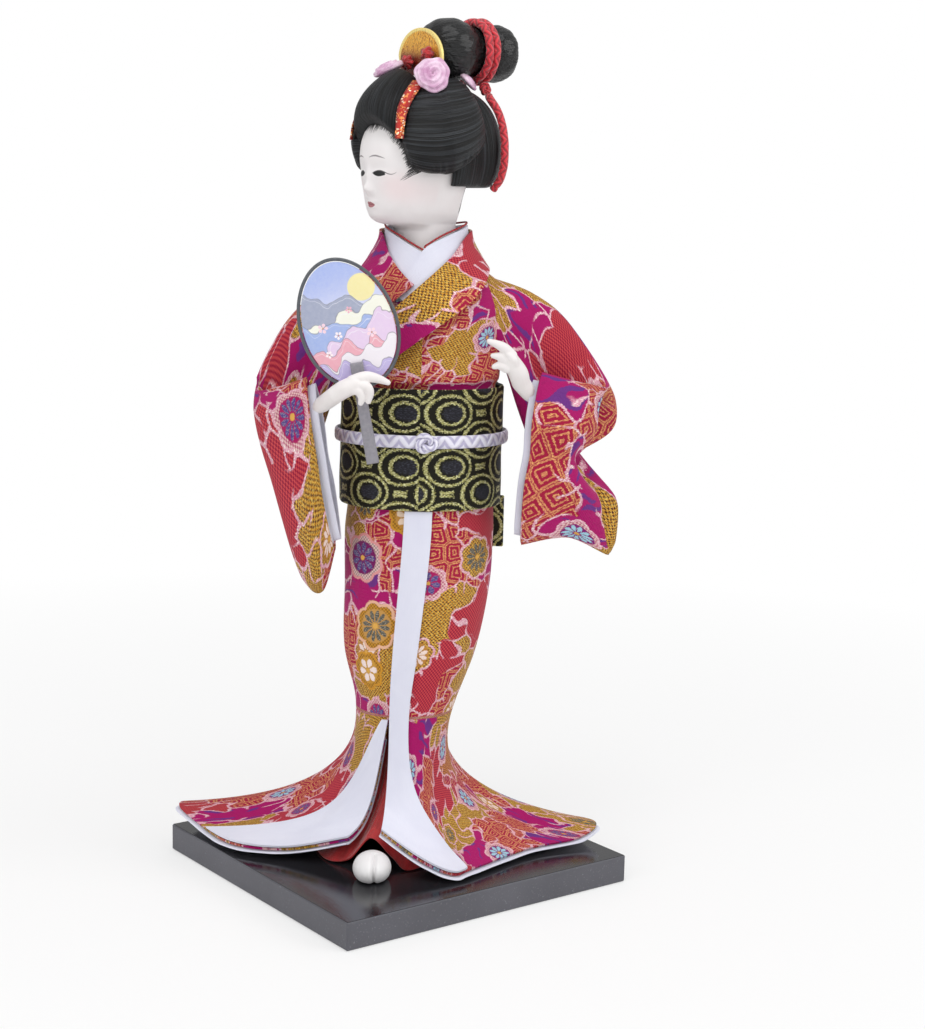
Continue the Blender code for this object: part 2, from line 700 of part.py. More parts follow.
def make_obi(finishes, figure):
    """The stiff sash, its drum bow and tail at the back, and its cord with the knot."""
    outward = 0.5 * CLOTH + GAP + OBI_THICKNESS + LAYER * 0.6
    heights = [mix(OBI_TOP, OBI_BOTTOM, i / 2) for i in range(3)]
    outer = [obi_ring(outward, z) for z in heights]
    inner = [obi_ring(outward - OBI_THICKNESS, z) for z in heights]
    place(sleeve_shell("obi_sash", outer, inner), finishes["obi"], figure)

    cord_in = outward + GAP
    cord_out = cord_in + OBI_CORD_THICKNESS
    half = OBI_CORD_WIDTH / 2
    levels = [(half, 0.3), (half * 0.6, 0.98), (-half * 0.6, 0.98), (-half, 0.3)]
    outer = []
    for level, swell in levels:
        outer.append(obi_ring(mix(cord_in, cord_out, swell), OBI_CORD_HEIGHT + level))
    inner = [obi_ring(cord_in, OBI_CORD_HEIGHT + level) for level, _ in levels]
    place(sleeve_shell("obi_cord", outer, inner), finishes["cord"], figure)

    bpy.ops.mesh.primitive_torus_add(
        major_radius=2.8 * MM, minor_radius=1.7 * MM, major_segments=14, minor_segments=7)
    knot = shaped(primitive("obi_cord_knot"), (1.15, 0.95, 1.0))
    front = body_point(skirt_angle(9.4 * MM, OBI_CORD_HEIGHT), OBI_CORD_HEIGHT, cord_out + GAP)
    place(knot, finishes["cord"], figure, front - Vector((0, 1.75 * MM, 0)), (math.radians(90), 0, 0))

    _, cy, _, half_depth = body_section(OBI_CORD_HEIGHT)
    back = cy + half_depth + cord_out + GAP
    bpy.ops.mesh.primitive_cube_add(size=1.0)
    drum = shaped(primitive("obi_drum"), DRUM_SIZE)
    place(drum, finishes["obi"], figure, (DRUM_PLACE[0], back + DRUM_SIZE[1] / 2, DRUM_PLACE[1]))
    rounded = drum.modifiers.new("Rounded", "BEVEL")
    rounded.width = 4.2 * MM
    rounded.segments = 3
    bpy.ops.mesh.primitive_cube_add(size=1.0)
    tail = shaped(primitive("obi_tail"), TAIL_SIZE)
    place(tail, finishes["obi"], figure, (TAIL_PLACE[0], back + 2.2 * MM, TAIL_PLACE[1]))
    soft = tail.modifiers.new("Soft edges", "BEVEL")
    soft.width = 0.5 * MM
    soft.segments = 2


def make_bodice(finishes, figure):
    """The brocade bodice, tucked into the sash and open round the neck."""
    heights = [mix(COLLAR_HEIGHT - 1.5 * MM, BODICE_BOTTOM, i / 6) for i in range(7)]
    outer = [obi_ring(-0.5 * CLOTH + bodice_swell(z), z, 24) for z in heights]
    inner = [obi_ring(-1.5 * CLOTH + bodice_swell(z), z, 24) for z in heights]
    place(sleeve_shell("kimono_bodice", outer, inner), finishes["brocade"], figure)


def bodice_swell(z):
    """The bodice blouses a little over the top of the sash."""
    return 1.1 * MM * math.exp(-((z - OBI_TOP - 4 * MM) / (4.5 * MM)) ** 2) * (z > OBI_TOP + GAP) \
        * smooth_step((z - OBI_TOP - GAP) / (2 * MM))


def body_patch(edge_a, edge_b, rows, cols, out):
    """A patch on the body between two edges, each a list of angles in degrees and heights in mm."""
    grid = []
    for r in range(rows):
        t = r / (rows - 1)
        a = spline([(angle, z, 0) for angle, z in edge_a], t)
        b = spline([(angle, z, 0) for angle, z in edge_b], t)
        line = []
        for c in range(cols):
            spot = mix(a, b, c / (cols - 1))
            z = spot.y * MM
            line.append(body_point(math.radians(spot.x), z, out + bodice_swell(z)))
        grid.append(line)
    return grid


def make_collars(finishes, figure):
    """The two white under collars with their red piping, and the two brocade lapels over them."""
    under = -0.5 * CLOTH + GAP + 0.6 * MM
    over = under + LAYER + 0.4 * MM
    strips = [
        ("under_collar_right", UNDER_RIGHT_INNER, UNDER_RIGHT_OUTER, under, "lining"),
        ("under_collar_left", UNDER_LEFT_OUTER, UNDER_LEFT_INNER, under, "lining"),
        ("lapel_right", LAPEL_RIGHT_INNER, LAPEL_RIGHT_OUTER, over, "brocade"),
        ("lapel_left", LAPEL_LEFT_OUTER, LAPEL_LEFT_INNER, over, "brocade"),
    ]
    for name, edge_a, edge_b, out, finish in strips:
        outer = body_patch(edge_a, edge_b, 13, 4, out + CLOTH)
        inner = body_patch(edge_a, edge_b, 13, 4, out)
        place(upward(slab(name, outer, inner)), finishes[finish], figure)
    lift = GAP + PIPING_RADIUS + 0.25 * MM
    route = []
    for r in range(10):
        spot = spline([(angle, z, 0) for angle, z in UNDER_LEFT_INNER], r / 10)
        route.append(body_point(math.radians(spot.x), spot.y * MM + lift, under + CLOTH / 2))
    for r in range(11):
        spot = spline([(angle, z, 0) for angle, z in UNDER_RIGHT_INNER[:5]], 1 - r / 10)
        route.append(body_point(math.radians(spot.x), spot.y * MM + lift, under + CLOTH / 2))
    place_curve(curve_cord("collar_piping", route, PIPING_RADIUS), finishes["piping"], figure)


def sleeve_ring(sections, t, count, inset=0.0, narrower=1.0):
    """A ring of a hanging sleeve: t is 0 at the shoulder and 1 at the wrist."""
    top, bottom, thick, shift = (spline([s[k] for s in sections], t) * MM for k in range(4))
    pinch = spline([(s[4], 0, 0) for s in sections], t).x
    if inset:
        down = (bottom - top).normalized() * inset
        top, bottom, thick = top + down, bottom - down, thick * narrower
        pinch = 1.0 - (1.0 - pinch) * 0.85
    ring = []
    for k in range(count):
        turn = 2 * math.pi * k / count
        along = 0.5 - 0.5 * math.cos(turn)
        waist = math.exp(-((along - 0.46) / 0.13) ** 2)
        taper = 1.0 - 0.45 * pinch * smooth_step((along - 0.5) / 0.5)
        width = math.sin(turn) * (1.0 - pinch * waist) * taper
        ring.append(mix(top, bottom, along) + thick * width + shift * waist)
    return ring


def sleeve_rings(sections, rows, cols):
    """The rings of a hanging sleeve, from the shoulder to the wrist."""
    return [sleeve_ring(sections, r / (rows - 1), cols) for r in range(rows)]


def make_sleeves(finishes, figure):
    """The two brocade sleeves, open at the shoulder and the wrist, with white inner sleeves."""
    for side, sections in (("right", SLEEVE_RIGHT), ("left", SLEEVE_LEFT)):
        outer = sleeve_rings(sections, 12, 14)
        if side == "right":
            outer = [list(reversed(ring)) for ring in outer]
        shell = moved(outer, -CLOTH, True)
        made = upward(sleeve_shell("kimono_sleeve_" + side, outer, shell))
        place(made, finishes["brocade"], figure)
        lining = [sleeve_ring(sections, t, 14, INNER_SLEEVE_INSET, 0.66) for t in (9 / 11, 10 / 11, 1.0)]
        past = (lining[2][0] - lining[1][0]).normalized() * INNER_SLEEVE_SHOWING
        lining.append([point + past for point in lining[2]])
        if side == "right":
            lining = [list(reversed(ring)) for ring in lining]
        shell = moved(lining, -0.6 * MM, True)
        made = upward(sleeve_shell("inner_sleeve_" + side, lining, shell))
        place(made, finishes["lining"], figure)


def make_hands(finishes, figure):
    """Two hands with thin forearms in the sleeves: one holds the fan, the other is raised."""
    for name, arm, palm, fingers in HANDS:
        points = [Vector(p) * MM for p in arm[0]]
        made = tube(name, [spline(points, i / 5) for i in range(6)],
                    [mix(arm[1], arm[2], i / 5) * MM for i in range(6)], 8)
        place(made, finishes["skin"], figure)
        for k, (route, thick, thin) in enumerate([palm] + fingers):
            points = [Vector(p) * MM for p in route]
            piece = tube(name + "_finger_" + str(k), [spline(points, i / 3) for i in range(4)],
                         [mix(thick, thin, i / 3) * MM for i in range(4)], 6)
            piece.parent = figure
            boolean(made, piece, "UNION")


def fan_outline(margin, count=32):
    """The egg-shaped outline of the fan's leaf in its own plane, X across and Z up."""
    points = []
    for k in range(count):
        turn = 2 * math.pi * k / count
        wide = (FAN_HALF_WIDTH + margin) * (1 - 0.06 * math.cos(turn))
        points.append(Vector((wide * math.sin(turn), 0, (FAN_HALF_HEIGHT + margin) * math.cos(turn))))
    return points


def make_fan(finishes, figure):
    """The flat fan: its leaf, the rim round it, the clip and the handle."""
    home = empty("fan_frame", PARTS, figure, FAN_PLACE, (math.radians(4), math.radians(-20.5), 0))
    half = FAN_THICKNESS / 2
    outline = fan_outline(-FAN_RIM_RADIUS - GAP)
    rings = [[p + Vector((0, y, 0)) for p in outline] for y in (-half, half)]
    place(upward(loft("fan_leaf", rings)), finishes["print"], home)
    rim = curve_cord("fan_rim", fan_outline(0.0, 28), FAN_RIM_RADIUS, True)
    place_curve(rim, finishes["rim"], home)

    grip = empty("fan_grip_frame", PARTS, figure, FAN_PLACE, (math.radians(4), math.radians(-10.5), 0))
    back = half + FAN_HANDLE_THICKNESS / 2 + GAP + FAN_RIM_RADIUS
    bpy.ops.mesh.primitive_cube_add(size=1.0)
    handle = shaped(primitive("fan_handle"), (FAN_HANDLE_WIDTH, FAN_HANDLE_THICKNESS, FAN_HANDLE_LENGTH))
    for vertex in handle.data.vertices:
        vertex.co.x *= 1.12 if vertex.co.z < 0 else 0.8
    place(handle, finishes["rim"], grip, (0.0, back, -4 * MM - FAN_HANDLE_LENGTH / 2))
    rounded = handle.modifiers.new("Rounded", "BEVEL")
    rounded.width = 0.5 * MM
    rounded.segments = 2
    bpy.ops.mesh.primitive_cube_add(size=1.0)
    clip = shaped(primitive("fan_clip"), (4.6 * MM, 1.0 * MM, 5.4 * MM))
    place(clip, finishes["rim"], grip, (0.6 * MM, -half - 0.5 * MM - GAP, -16.2 * MM))
    rounded = clip.modifiers.new("Rounded", "BEVEL")
    rounded.width = 0.4 * MM
    rounded.segments = 2


def head_ring(z, cols):
    """A horizontal ring of the head at a height in its own frame, with the nose and lips."""
    i = 0
    while i < len(HEAD_SECTIONS) - 2 and z > HEAD_SECTIONS[i + 1][0] * MM:
        i += 1
    low, high = HEAD_SECTIONS[i], HEAD_SECTIONS[i + 1]
    f = (z / MM - low[0]) / (high[0] - low[0])
    front, back, half_width = (mix(low[k], high[k], f) * MM for k in (1, 2, 3))
    ring = []
    for k in range(cols):
        turn = -2 * math.pi * k / cols
        side, ahead = math.sin(turn), math.cos(turn)
        x = half_width * math.copysign(abs(side) ** 0.92, side)
        y = (front if ahead > 0 else back) * abs(ahead) ** 0.92
        if ahead > 0:
            ridge = math.exp(-(x / (1.9 * MM)) ** 2)
            height = math.exp(-((z + 12.6 * MM) / (2.4 * MM)) ** 2) * 2.3
            height += math.exp(-((z + 8.0 * MM) / (3.6 * MM)) ** 2) * 0.9
            lips = math.exp(-(x / (2.6 * MM)) ** 2 - ((z + 17.6 * MM) / (1.6 * MM)) ** 2) * 0.8
            y -= (ridge * height + lips) * MM
        ring.append(Vector((x, y, z)))
    return ring


def make_head(finishes, head):
    """The moulded head with its neck, one piece."""
    heights = [-41, -27, -25.2, -24.3, -22.8, -20.5, -18.4, -16.8, -15, -13.2, -12, -9, -5, 0, 6, 12, 17, 21, 23.2]
    rings = [head_ring(z * MM, 20) for z in reversed(heights)]
    place(upward(loft("head", rings)), finishes["skin"], head)


def hair_point(azimuth, elevation, out):
    """A point on or outside the skull. Azimuth 0 is the face, positive to the doll's left."""
    a, e = math.radians(azimuth), math.radians(elevation)
    size = SKULL + Vector((out, out, out))
    return Vector((size.x * math.cos(e) * math.sin(a), -size.y * math.cos(e) * math.cos(a), size.z * math.sin(e)))


def lobe_out(name, azimuth, elevation):
    """How far a lock stands off the skull in a direction."""
    left, right, low, swell, rise = HAIR_LOBES[name]
    u = min(max((azimuth - left) / (right - left), 0.0), 1.0)
    t = min(max((HAIR_TOP - elevation) / (HAIR_TOP - low(azimuth)), 0.0), 1.0)
    puff = (1 - abs(2 * u - 1) ** 2.6) ** 0.55 * (1 - abs(2 * t - 1) ** 3.4) ** 0.55
    out = HAIR_EDGE + swell * puff * smooth_step(t / rise)
    if name == "hair_nape":
        middle = smooth_step((59.5 - abs(azimuth - 180.0)) / 12.0)
        out = mix(WING_EDGE - 2 * GAP, out, middle)
    if "wing" in name:
        out += (WING_EDGE - GAP) * smooth_step((abs(azimuth) - 70.0) / 8.0) * 0.45
    return out


def lobe_inside(name, azimuth):
    """How far a lock's inner face stands off the skull: the wings lie over the nape's roots."""
    if "wing" in name:
        return WING_EDGE * smooth_step((abs(azimuth) - 66.0) / 8.0)
    return 0.0


def hair_out(azimuth, elevation):
    """The hair's height above the skull in any direction."""
    outs = [0.0]
    for name, lobe in HAIR_LOBES.items():
        for turn in (azimuth, azimuth + 360):
            if lobe[0] - 2 <= turn <= lobe[1] + 2 and elevation > lobe[2](turn) - 2:
                outs.append(lobe_out(name, turn, elevation))
    return max(outs)


def hair_lobe(name, finishes, head, rows=8, cols=11):
    """A puffed lock of hair on the skull, between two azimuths and two elevations."""
    lobe = HAIR_LOBES[name]
    azimuths = []
    for c in range(cols):
        share = 0.5 - 0.5 * math.cos(math.pi * c / (cols - 1))
        azimuths.append(mix(lobe[0], lobe[1], mix(share, c / (cols - 1), 0.5)))
    if name == "hair_nape":
        azimuths = NAPE_COLUMNS + [360.0 - a for a in reversed(NAPE_COLUMNS[:-1])]
    outer, inner = [], []
    for r in range(rows):
        outer.append([])
        inner.append([])
        for azimuth in azimuths:
            share = 0.5 - 0.5 * math.cos(math.pi * r / (rows - 1))
            elevation = mix(HAIR_TOP, lobe[2](azimuth), mix(share, r / (rows - 1), 0.4))
            leaned = azimuth
            if "wing" in name:
                lean = 9.5 * min(max((8.0 - elevation) / 22.0, 0.0), 1.0) * (118.0 - abs(azimuth)) / 77.8
                leaned = azimuth + math.copysign(lean, azimuth)
            outer[-1].append(hair_point(leaned, elevation, lobe_out(name, azimuth, elevation)))
            inner[-1].append(hair_point(leaned, elevation, lobe_inside(name, azimuth)))
    place(upward(slab(name, outer, inner)), finishes["hair"], head)


def make_hair(finishes, head):
    """The forelock, the two wings, the nape roll and the bun with its rear roll."""
    for name in HAIR_LOBES:
        hair_lobe(name, finishes, head, cols=9)

    waist_a, waist_b, end = 9.5, 16.2, 28.0
    profile = []
    for i in range(9):
        turn = math.pi * 0.82 * i / 8
        profile.append((BUN_RADIUS * math.sin(turn), -BUN_RADIUS * math.cos(turn)))
    profile = [p for p in profile if p[1] < waist_a * MM - 1 * MM or p[0] > BUN_WAIST]
    profile.append((BUN_WAIST, waist_a * MM + 0.5 * MM))
    profile.append((BUN_WAIST, waist_b * MM))
    for i in range(7):
        turn = math.pi * (0.25 + 0.75 * i / 6)
        depth = (end - waist_b) * 0.5 * MM
        profile.append((REAR_BUN_RADIUS * math.sin(turn), waist_b * MM + depth - depth * math.cos(turn)))
    points, edges = [], []
    for radius, along in profile:
        points.append((max(radius, 0.0), 0.0, along))
    line = bpy.data.meshes.new("hair_bun")
    line.from_pydata(points, [(i, i + 1) for i in range(len(points) - 1)], [])
    made = bpy.data.objects.new("hair_bun", line)
    PARTS.objects.link(made)
    place(made, finishes["hair"], head, BUN_PLACE, (math.radians(-90), 0, 0))
    turned = made.modifiers.new("Turned", "SCREW")
    turned.steps = 16
    turned.render_steps = 16
    turned.use_merge_vertices = True
    turned.merge_threshold = 0.00001
    turned.use_normal_calculate = True


def make_bun_cord(finishes, head):
    """The red cord: two turns round the bun's waist, the knot under them and the hanging tail."""
    turn_radius = BUN_WAIST + GAP + BUN_CORD_RADIUS
    for name, along in zip(("bun_cord_front", "bun_cord_rear"), BUN_CORDS):
        bpy.ops.mesh.primitive_torus_add(
            major_radius=turn_radius, minor_radius=BUN_CORD_RADIUS, major_segments=22, minor_segments=6)
        spot = BUN_PLACE + Vector((0, along, 0))
        place(primitive(name), finishes["cord_red"], head, spot, (math.radians(90), 0, 0))
    knot_radius = 2.3 * MM
    drop = turn_radius + BUN_CORD_RADIUS + knot_radius + GAP
    knot_place = BUN_PLACE + Vector((0.42 * drop, sum(BUN_CORDS) / 2, -0.9075 * drop))
    bpy.ops.mesh.primitive_uv_sphere_add(segments=12, ring_count=8, radius=knot_radius)
    place(primitive("bun_cord_knot"), finishes["cord_red"], head, knot_place)
    stand = GAP + BUN_CORD_RADIUS + 0.3 * MM
    route = [knot_place + Vector((1.6 * MM, 0.6 * MM, -knot_radius - GAP - 0.3 * MM))]
    for azimuth, elevation in ((146, 38), (139, 28), (134, 16), (132, 5), (133, -6), (136, -15), (140, -24)):
        out = max(hair_out(azimuth + side, elevation) for side in (-5, 0, 5))
        route.append(hair_point(azimuth, elevation, out + stand))
    smooth = [spline(route, i / 17) for i in range(18)]
    place_curve(curve_cord("bun_cord_tail", smooth, BUN_CORD_RADIUS), finishes["cord_red"], head)


def make_rosette(name, radius, azimuth, elevation, finishes, head):
    """A rolled ribbon rosette that lies on the hair, as a turned bloom with rings."""
    profile = [(radius * 0.55, 0.0), (radius * 0.9, radius * 0.10), (radius, radius * 0.30)]
    for ring, height in ((0.84, 0.52), (0.72, 0.42), (0.60, 0.66), (0.48, 0.55), (0.34, 0.76), (0.2, 0.64)):
        profile.append((radius * ring, radius * height))
    line = bpy.data.meshes.new(name)
    points = [(0.0, 0.0, 0.0)] + [(x, 0.0, z) for x, z in profile] + [(0.0, 0.0, radius * 0.74)]
    line.from_pydata(points, [(i, i + 1) for i in range(len(points) - 1)], [])
    made = bpy.data.objects.new(name, line)
    PARTS.objects.link(made)
    seat = hair_point(azimuth, elevation, 0.0)
    outward = (hair_point(azimuth, elevation, MM) - seat).normalized()
    turn = outward.to_track_quat("Z", "Y").to_euler()
    spread = math.degrees(radius / SKULL.x) * 0.6
    sides = (-spread, 0, spread)
    highest = max(hair_out(azimuth + d * 1.3, elevation + e) for d in sides for e in sides)
    place(made, finishes["rosette"], head, seat + outward * (highest + GAP + 0.3 * MM), turn)
    turned = made.modifiers.new("Turned", "SCREW")
    turned.steps = 12
    turned.render_steps = 12
    turned.use_merge_vertices = True
    turned.merge_threshold = 0.00001
    turned.use_normal_calculate = True


def flat_plate(name, outline, thickness, finish, parent, location, rotation):
    """A flat plate from an outline, as a 2D curve with a thickness."""
    line = bpy.data.curves.new(name, "CURVE")
    line.dimensions = "2D"
    line.fill_mode = "BOTH"
    line.extrude = thickness / 2
    line.resolution_u = 1
    line.render_resolution_u = 0
    path = line.splines.new("POLY")
    path.points.add(len(outline) - 1)
    path.use_cyclic_u = True
    for spot, (x, y) in zip(path.points, outline):
        spot.co = (x, y, 0.0, 1.0)
    made = bpy.data.objects.new(name, line)
    PARTS.objects.link(made)
    made.location = location
    made.rotation_euler = rotation
    return place_curve(made, finish, parent)


def make_ornaments(finishes, head):
    """The half-moon comb, the satin flowers at its foot, the rosettes and the two ribbons."""
    outline = []
    for i in range(25):
        turn = math.pi * i / 24
        outline.append((COMB_HALF_WIDTH * math.cos(turn), COMB_HEIGHT * math.sin(turn)))
    outline += [(-COMB_HALF_WIDTH * 0.8, -COMB_FOOT), (COMB_HALF_WIDTH * 0.8, -COMB_FOOT)]
    front = BUN_PLACE.y - BUN_RADIUS - GAP - COMB_THICKNESS / 2
    flat_plate("comb", outline, COMB_THICKNESS, finishes["comb"], head,
               (0.6 * MM, front, COMB_BASE_HEIGHT), (math.radians(90), math.radians(6), 0))
    for name, x, z in (("comb_flower_left", 7.4, 34.8), ("comb_flower_right", -4.6, 35.6)):
        bpy.ops.mesh.primitive_ico_sphere_add(subdivisions=2, radius=1.0)
        made = shaped(primitive(name), (3.6 * MM, 1.5 * MM, 2.6 * MM))
        y = front - COMB_THICKNESS / 2 - GAP - 1.5 * MM
        place(made, finishes["satin"], head, (x * MM, y, z * MM))
    make_rosette("rosette_near", ROSETTE_RADIUS, 64, 57, finishes, head)
    make_rosette("rosette_far", ROSETTE_RADIUS * 0.9, -34, 66, finishes, head)
    make_rosette("rosette_back", ROSETTE_RADIUS * 0.55, 141, 58, finishes, head)
    for name, middle, top, end in (("side_ribbon_left", 39.6, 51, 12.5), ("side_ribbon_right", -39.6, 51, 12.5)):
        outer, inner = [], []
        for r in range(10):
            elevation = mix(top, end, r / 9)
            half = RIBBON_WIDTH / 2 / (SKULL.x * math.cos(math.radians(elevation))) * 180 / math.pi
            out = max(hair_out(middle + side * half, elevation) for side in (-1, -0.5, 0, 0.5, 1))
            out += GAP
            sides = [middle + half * side for side in (-1, -0.33, 0.33, 1)]
            outer.append([hair_point(a, elevation, out + 0.5 * MM) for a in sides])
            inner.append([hair_point(a, elevation, out) for a in sides])
        place(upward(slab(name, outer, inner)), finishes["ribbon"], head)


def all_finishes():
    """The figure's materials."""
    return {
        "board": material("gloss_black_board", (0.02, 0.02, 0.022), 0.12),
        "wire": material("steel_wire", (0.5, 0.5, 0.5), 0.35, 1.0),
        "wood": material("plain_wood", (0.6, 0.45, 0.3), 0.6),
        "brocade": material("magenta_brocade", (0.45, 0.01, 0.15), 0.6),
        "lining": material("white_lining", (0.78, 0.78, 0.86), 0.6),
        "satin": material("red_satin", (0.5, 0.01, 0.02), 0.3),
        "sock": material("white_sock", (0.8, 0.8, 0.78), 0.6),
        "obi": material("black_gold_obi", (0.05, 0.05, 0.03), 0.6),
        "cord": material("white_cord", (0.8, 0.8, 0.88), 0.6),
        "skin": material("white_moulding", (0.85, 0.82, 0.82), 0.45),
        "print": material("printed_card", (0.6, 0.6, 0.75), 0.5),
        "rim": material("grey_plastic", (0.1, 0.1, 0.11), 0.4),
        "hair": material("black_hair", (0.01, 0.01, 0.01), 0.4),
        "comb": material("gold_comb", (0.8, 0.4, 0.05), 0.35),
        "rosette": material("pink_ribbon", (0.8, 0.4, 0.6), 0.5),
        "cord_red": material("red_cord", (0.6, 0.01, 0.04), 0.6),
        "ribbon": material("red_gold_ribbon", (0.6, 0.05, 0.02), 0.4),
        "piping": material("red_piping", (0.45, 0.01, 0.02), 0.6),
    }


FIGURE = empty("figure_frame", PARTS, rotation=(0, 0, FIGURE_TURN))
HEAD = empty("head_frame", PARTS, FIGURE, HEAD_PLACE, (0, 0, HEAD_TURN))


def main():
    finishes = all_finishes()
    make_base(finishes, FIGURE)
    for make in (make_rod, make_core, make_skirt, make_lining, make_facings, make_underskirt, make_foot, make_obi,
                 make_bodice, make_collars, make_sleeves, make_hands, make_fan):
        make(finishes, FIGURE)
    for make in (make_head, make_hair, make_bun_cord, make_ornaments):
        make(finishes, HEAD)


main()
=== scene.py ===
"""Geisha figurine: the looks of a dressed doll on a square board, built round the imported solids."""

import math

import bmesh
import bpy
from mathutils import Matrix, Vector


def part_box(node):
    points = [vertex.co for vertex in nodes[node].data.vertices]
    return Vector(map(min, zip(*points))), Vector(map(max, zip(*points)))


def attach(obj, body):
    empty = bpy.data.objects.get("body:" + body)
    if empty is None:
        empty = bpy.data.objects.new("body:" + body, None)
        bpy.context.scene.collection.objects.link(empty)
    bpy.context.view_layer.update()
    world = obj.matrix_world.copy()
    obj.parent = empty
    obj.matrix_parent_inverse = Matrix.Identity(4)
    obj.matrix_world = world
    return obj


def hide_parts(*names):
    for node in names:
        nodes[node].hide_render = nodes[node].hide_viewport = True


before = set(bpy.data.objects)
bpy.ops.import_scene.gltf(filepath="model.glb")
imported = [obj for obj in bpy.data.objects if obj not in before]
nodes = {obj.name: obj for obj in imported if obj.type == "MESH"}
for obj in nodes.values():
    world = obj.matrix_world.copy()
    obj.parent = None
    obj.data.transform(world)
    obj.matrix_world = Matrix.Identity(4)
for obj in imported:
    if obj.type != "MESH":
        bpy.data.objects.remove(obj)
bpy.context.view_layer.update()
bpy.ops.object.select_all(action="DESELECT")
MM = 0.001


# Camera
# The photograph was taken from a little above the board's front corner, at about 0.7 m, so the figure's
# skirt is seen from above and the hair from slightly below.
IMAGE_WIDTH = 925
IMAGE_HEIGHT = 1029
FOCAL_PIXELS = 1893.4
camera_data = bpy.data.cameras.new("photo_camera")
camera_data.sensor_width = 36.0
camera_data.lens = FOCAL_PIXELS * camera_data.sensor_width / max(IMAGE_WIDTH, IMAGE_HEIGHT)
camera = bpy.data.objects.new("photo_camera", camera_data)
bpy.context.scene.collection.objects.link(camera)
camera_right = Vector((0.80344713, -0.595009, 0.02090476))
camera_up = Vector((0.07782989, 0.13977554, 0.9871197))
camera_back = Vector((-0.59026708, -0.79147147, 0.15861174))
camera.matrix_world = Matrix.Translation((-0.39469, -0.56782, 0.24673)) @ Matrix(
    (camera_right, camera_up, camera_back)).transposed().to_4x4()
bpy.context.scene.camera = camera


# Studio
# A plain white sheet under the board and a white surround, lit softly from above, from the left and from
# the right. The surround shows white to the camera and in reflections, and lights the object less.
def plain_surface(name, colour, roughness):
    """A Principled material of one colour, for the studio."""
    made = bpy.data.materials.new(name)
    made.use_nodes = True
    shader = made.node_tree.nodes["Principled BSDF"]
    shader.inputs["Base Color"].default_value = (*colour, 1.0)
    shader.inputs["Roughness"].default_value = roughness
    return made


bpy.ops.mesh.primitive_plane_add(size=6.0, location=(0, 0, -0.0002))
floor = bpy.context.object
floor.name = "studio_floor"
floor_finish = plain_surface("studio_paper", (0.9, 0.9, 0.9), 0.9)
tree = floor_finish.node_tree
shader = tree.nodes["Principled BSDF"]
path = tree.nodes.new("ShaderNodeLightPath")
glow = tree.nodes.new("ShaderNodeEmission")
glow.inputs["Strength"].default_value = 1.0
blend = tree.nodes.new("ShaderNodeMixShader")
seen = tree.nodes.new("ShaderNodeMath")
seen.operation = "MULTIPLY"
tree.links.new(path.outputs["Is Camera Ray"], seen.inputs[0])
floor_place = tree.nodes.new("ShaderNodeTexCoord")
off_centre = tree.nodes.new("ShaderNodeVectorMath")
off_centre.operation = "LENGTH"
tree.links.new(floor_place.outputs["Object"], off_centre.inputs[0])
whiter = tree.nodes.new("ShaderNodeMapRange")
whiter.inputs["From Min"].default_value = 0.15
whiter.inputs["From Max"].default_value = 0.6
whiter.inputs["To Min"].default_value = 0.55
whiter.inputs["To Max"].default_value = 1.0
tree.links.new(off_centre.outputs["Value"], whiter.inputs["Value"])
tree.links.new(whiter.outputs[0], seen.inputs[1])
tree.links.new(seen.outputs[0], blend.inputs[0])
tree.links.new(shader.outputs[0], blend.inputs[1])
tree.links.new(glow.outputs[0], blend.inputs[2])
tree.links.new(blend.outputs[0], tree.nodes["Material Output"].inputs["Surface"])
floor.data.materials.append(floor_finish)

world = bpy.data.worlds.new("studio_surround")
bpy.context.scene.world = world
world.use_nodes = True
tree = world.node_tree
tree.nodes.clear()
path = tree.nodes.new("ShaderNodeLightPath")
direct = tree.nodes.new("ShaderNodeMath")
direct.operation = "MAXIMUM"
tree.links.new(path.outputs["Is Camera Ray"], direct.inputs[0])
tree.links.new(path.outputs["Is Transmission Ray"], direct.inputs[1])
level = tree.nodes.new("ShaderNodeMapRange")
level.inputs["To Min"].default_value = 0.55
level.inputs["To Max"].default_value = 1.0
tree.links.new(direct.outputs[0], level.inputs["Value"])
surround = tree.nodes.new("ShaderNodeBackground")
tree.links.new(level.outputs[0], surround.inputs["Strength"])
surround.inputs["Color"].default_value = (1.0, 1.0, 1.0, 1.0)
ending = tree.nodes.new("ShaderNodeOutputWorld")
tree.links.new(surround.outputs[0], ending.inputs["Surface"])

for name, place, size, power in (
    ("light_top", (-0.2, -0.5, 1.5), 1.0, 9.0),
    ("light_left", (-1.3, -0.4, 0.7), 0.8, 5.0),
    ("light_right", (0.9, -1.1, 0.8), 0.8, 6.0),
):
    lamp_data = bpy.data.lights.new(name, "AREA")
    lamp_data.size = size
    lamp_data.energy = power
    lamp = bpy.data.objects.new(name, lamp_data)
    bpy.context.scene.collection.objects.link(lamp)
    lamp.location = place
    lamp.rotation_euler = (Vector((0, 0, 0.15)) - Vector(place)).to_track_quat("-Z", "Y").to_euler()

bpy.context.scene.view_settings.view_transform = "Standard"


# Frames of the figure and of the head
# The doll faces one corner of the board, so its pieces are laid out in a frame that is turned from the
# board's. The head is turned again on its neck, and the hair and its ornaments go with it.
figure_turn = math.radians(-36.7)
head_turn = math.radians(-52.0)
head_place = Vector((6.5, 2.0, 266.0)) * MM
figure_frame = Matrix.Rotation(figure_turn, 4, "Z")
head_frame = figure_frame @ Matrix.Translation(head_place) @ Matrix.Rotation(head_turn, 4, "Z")


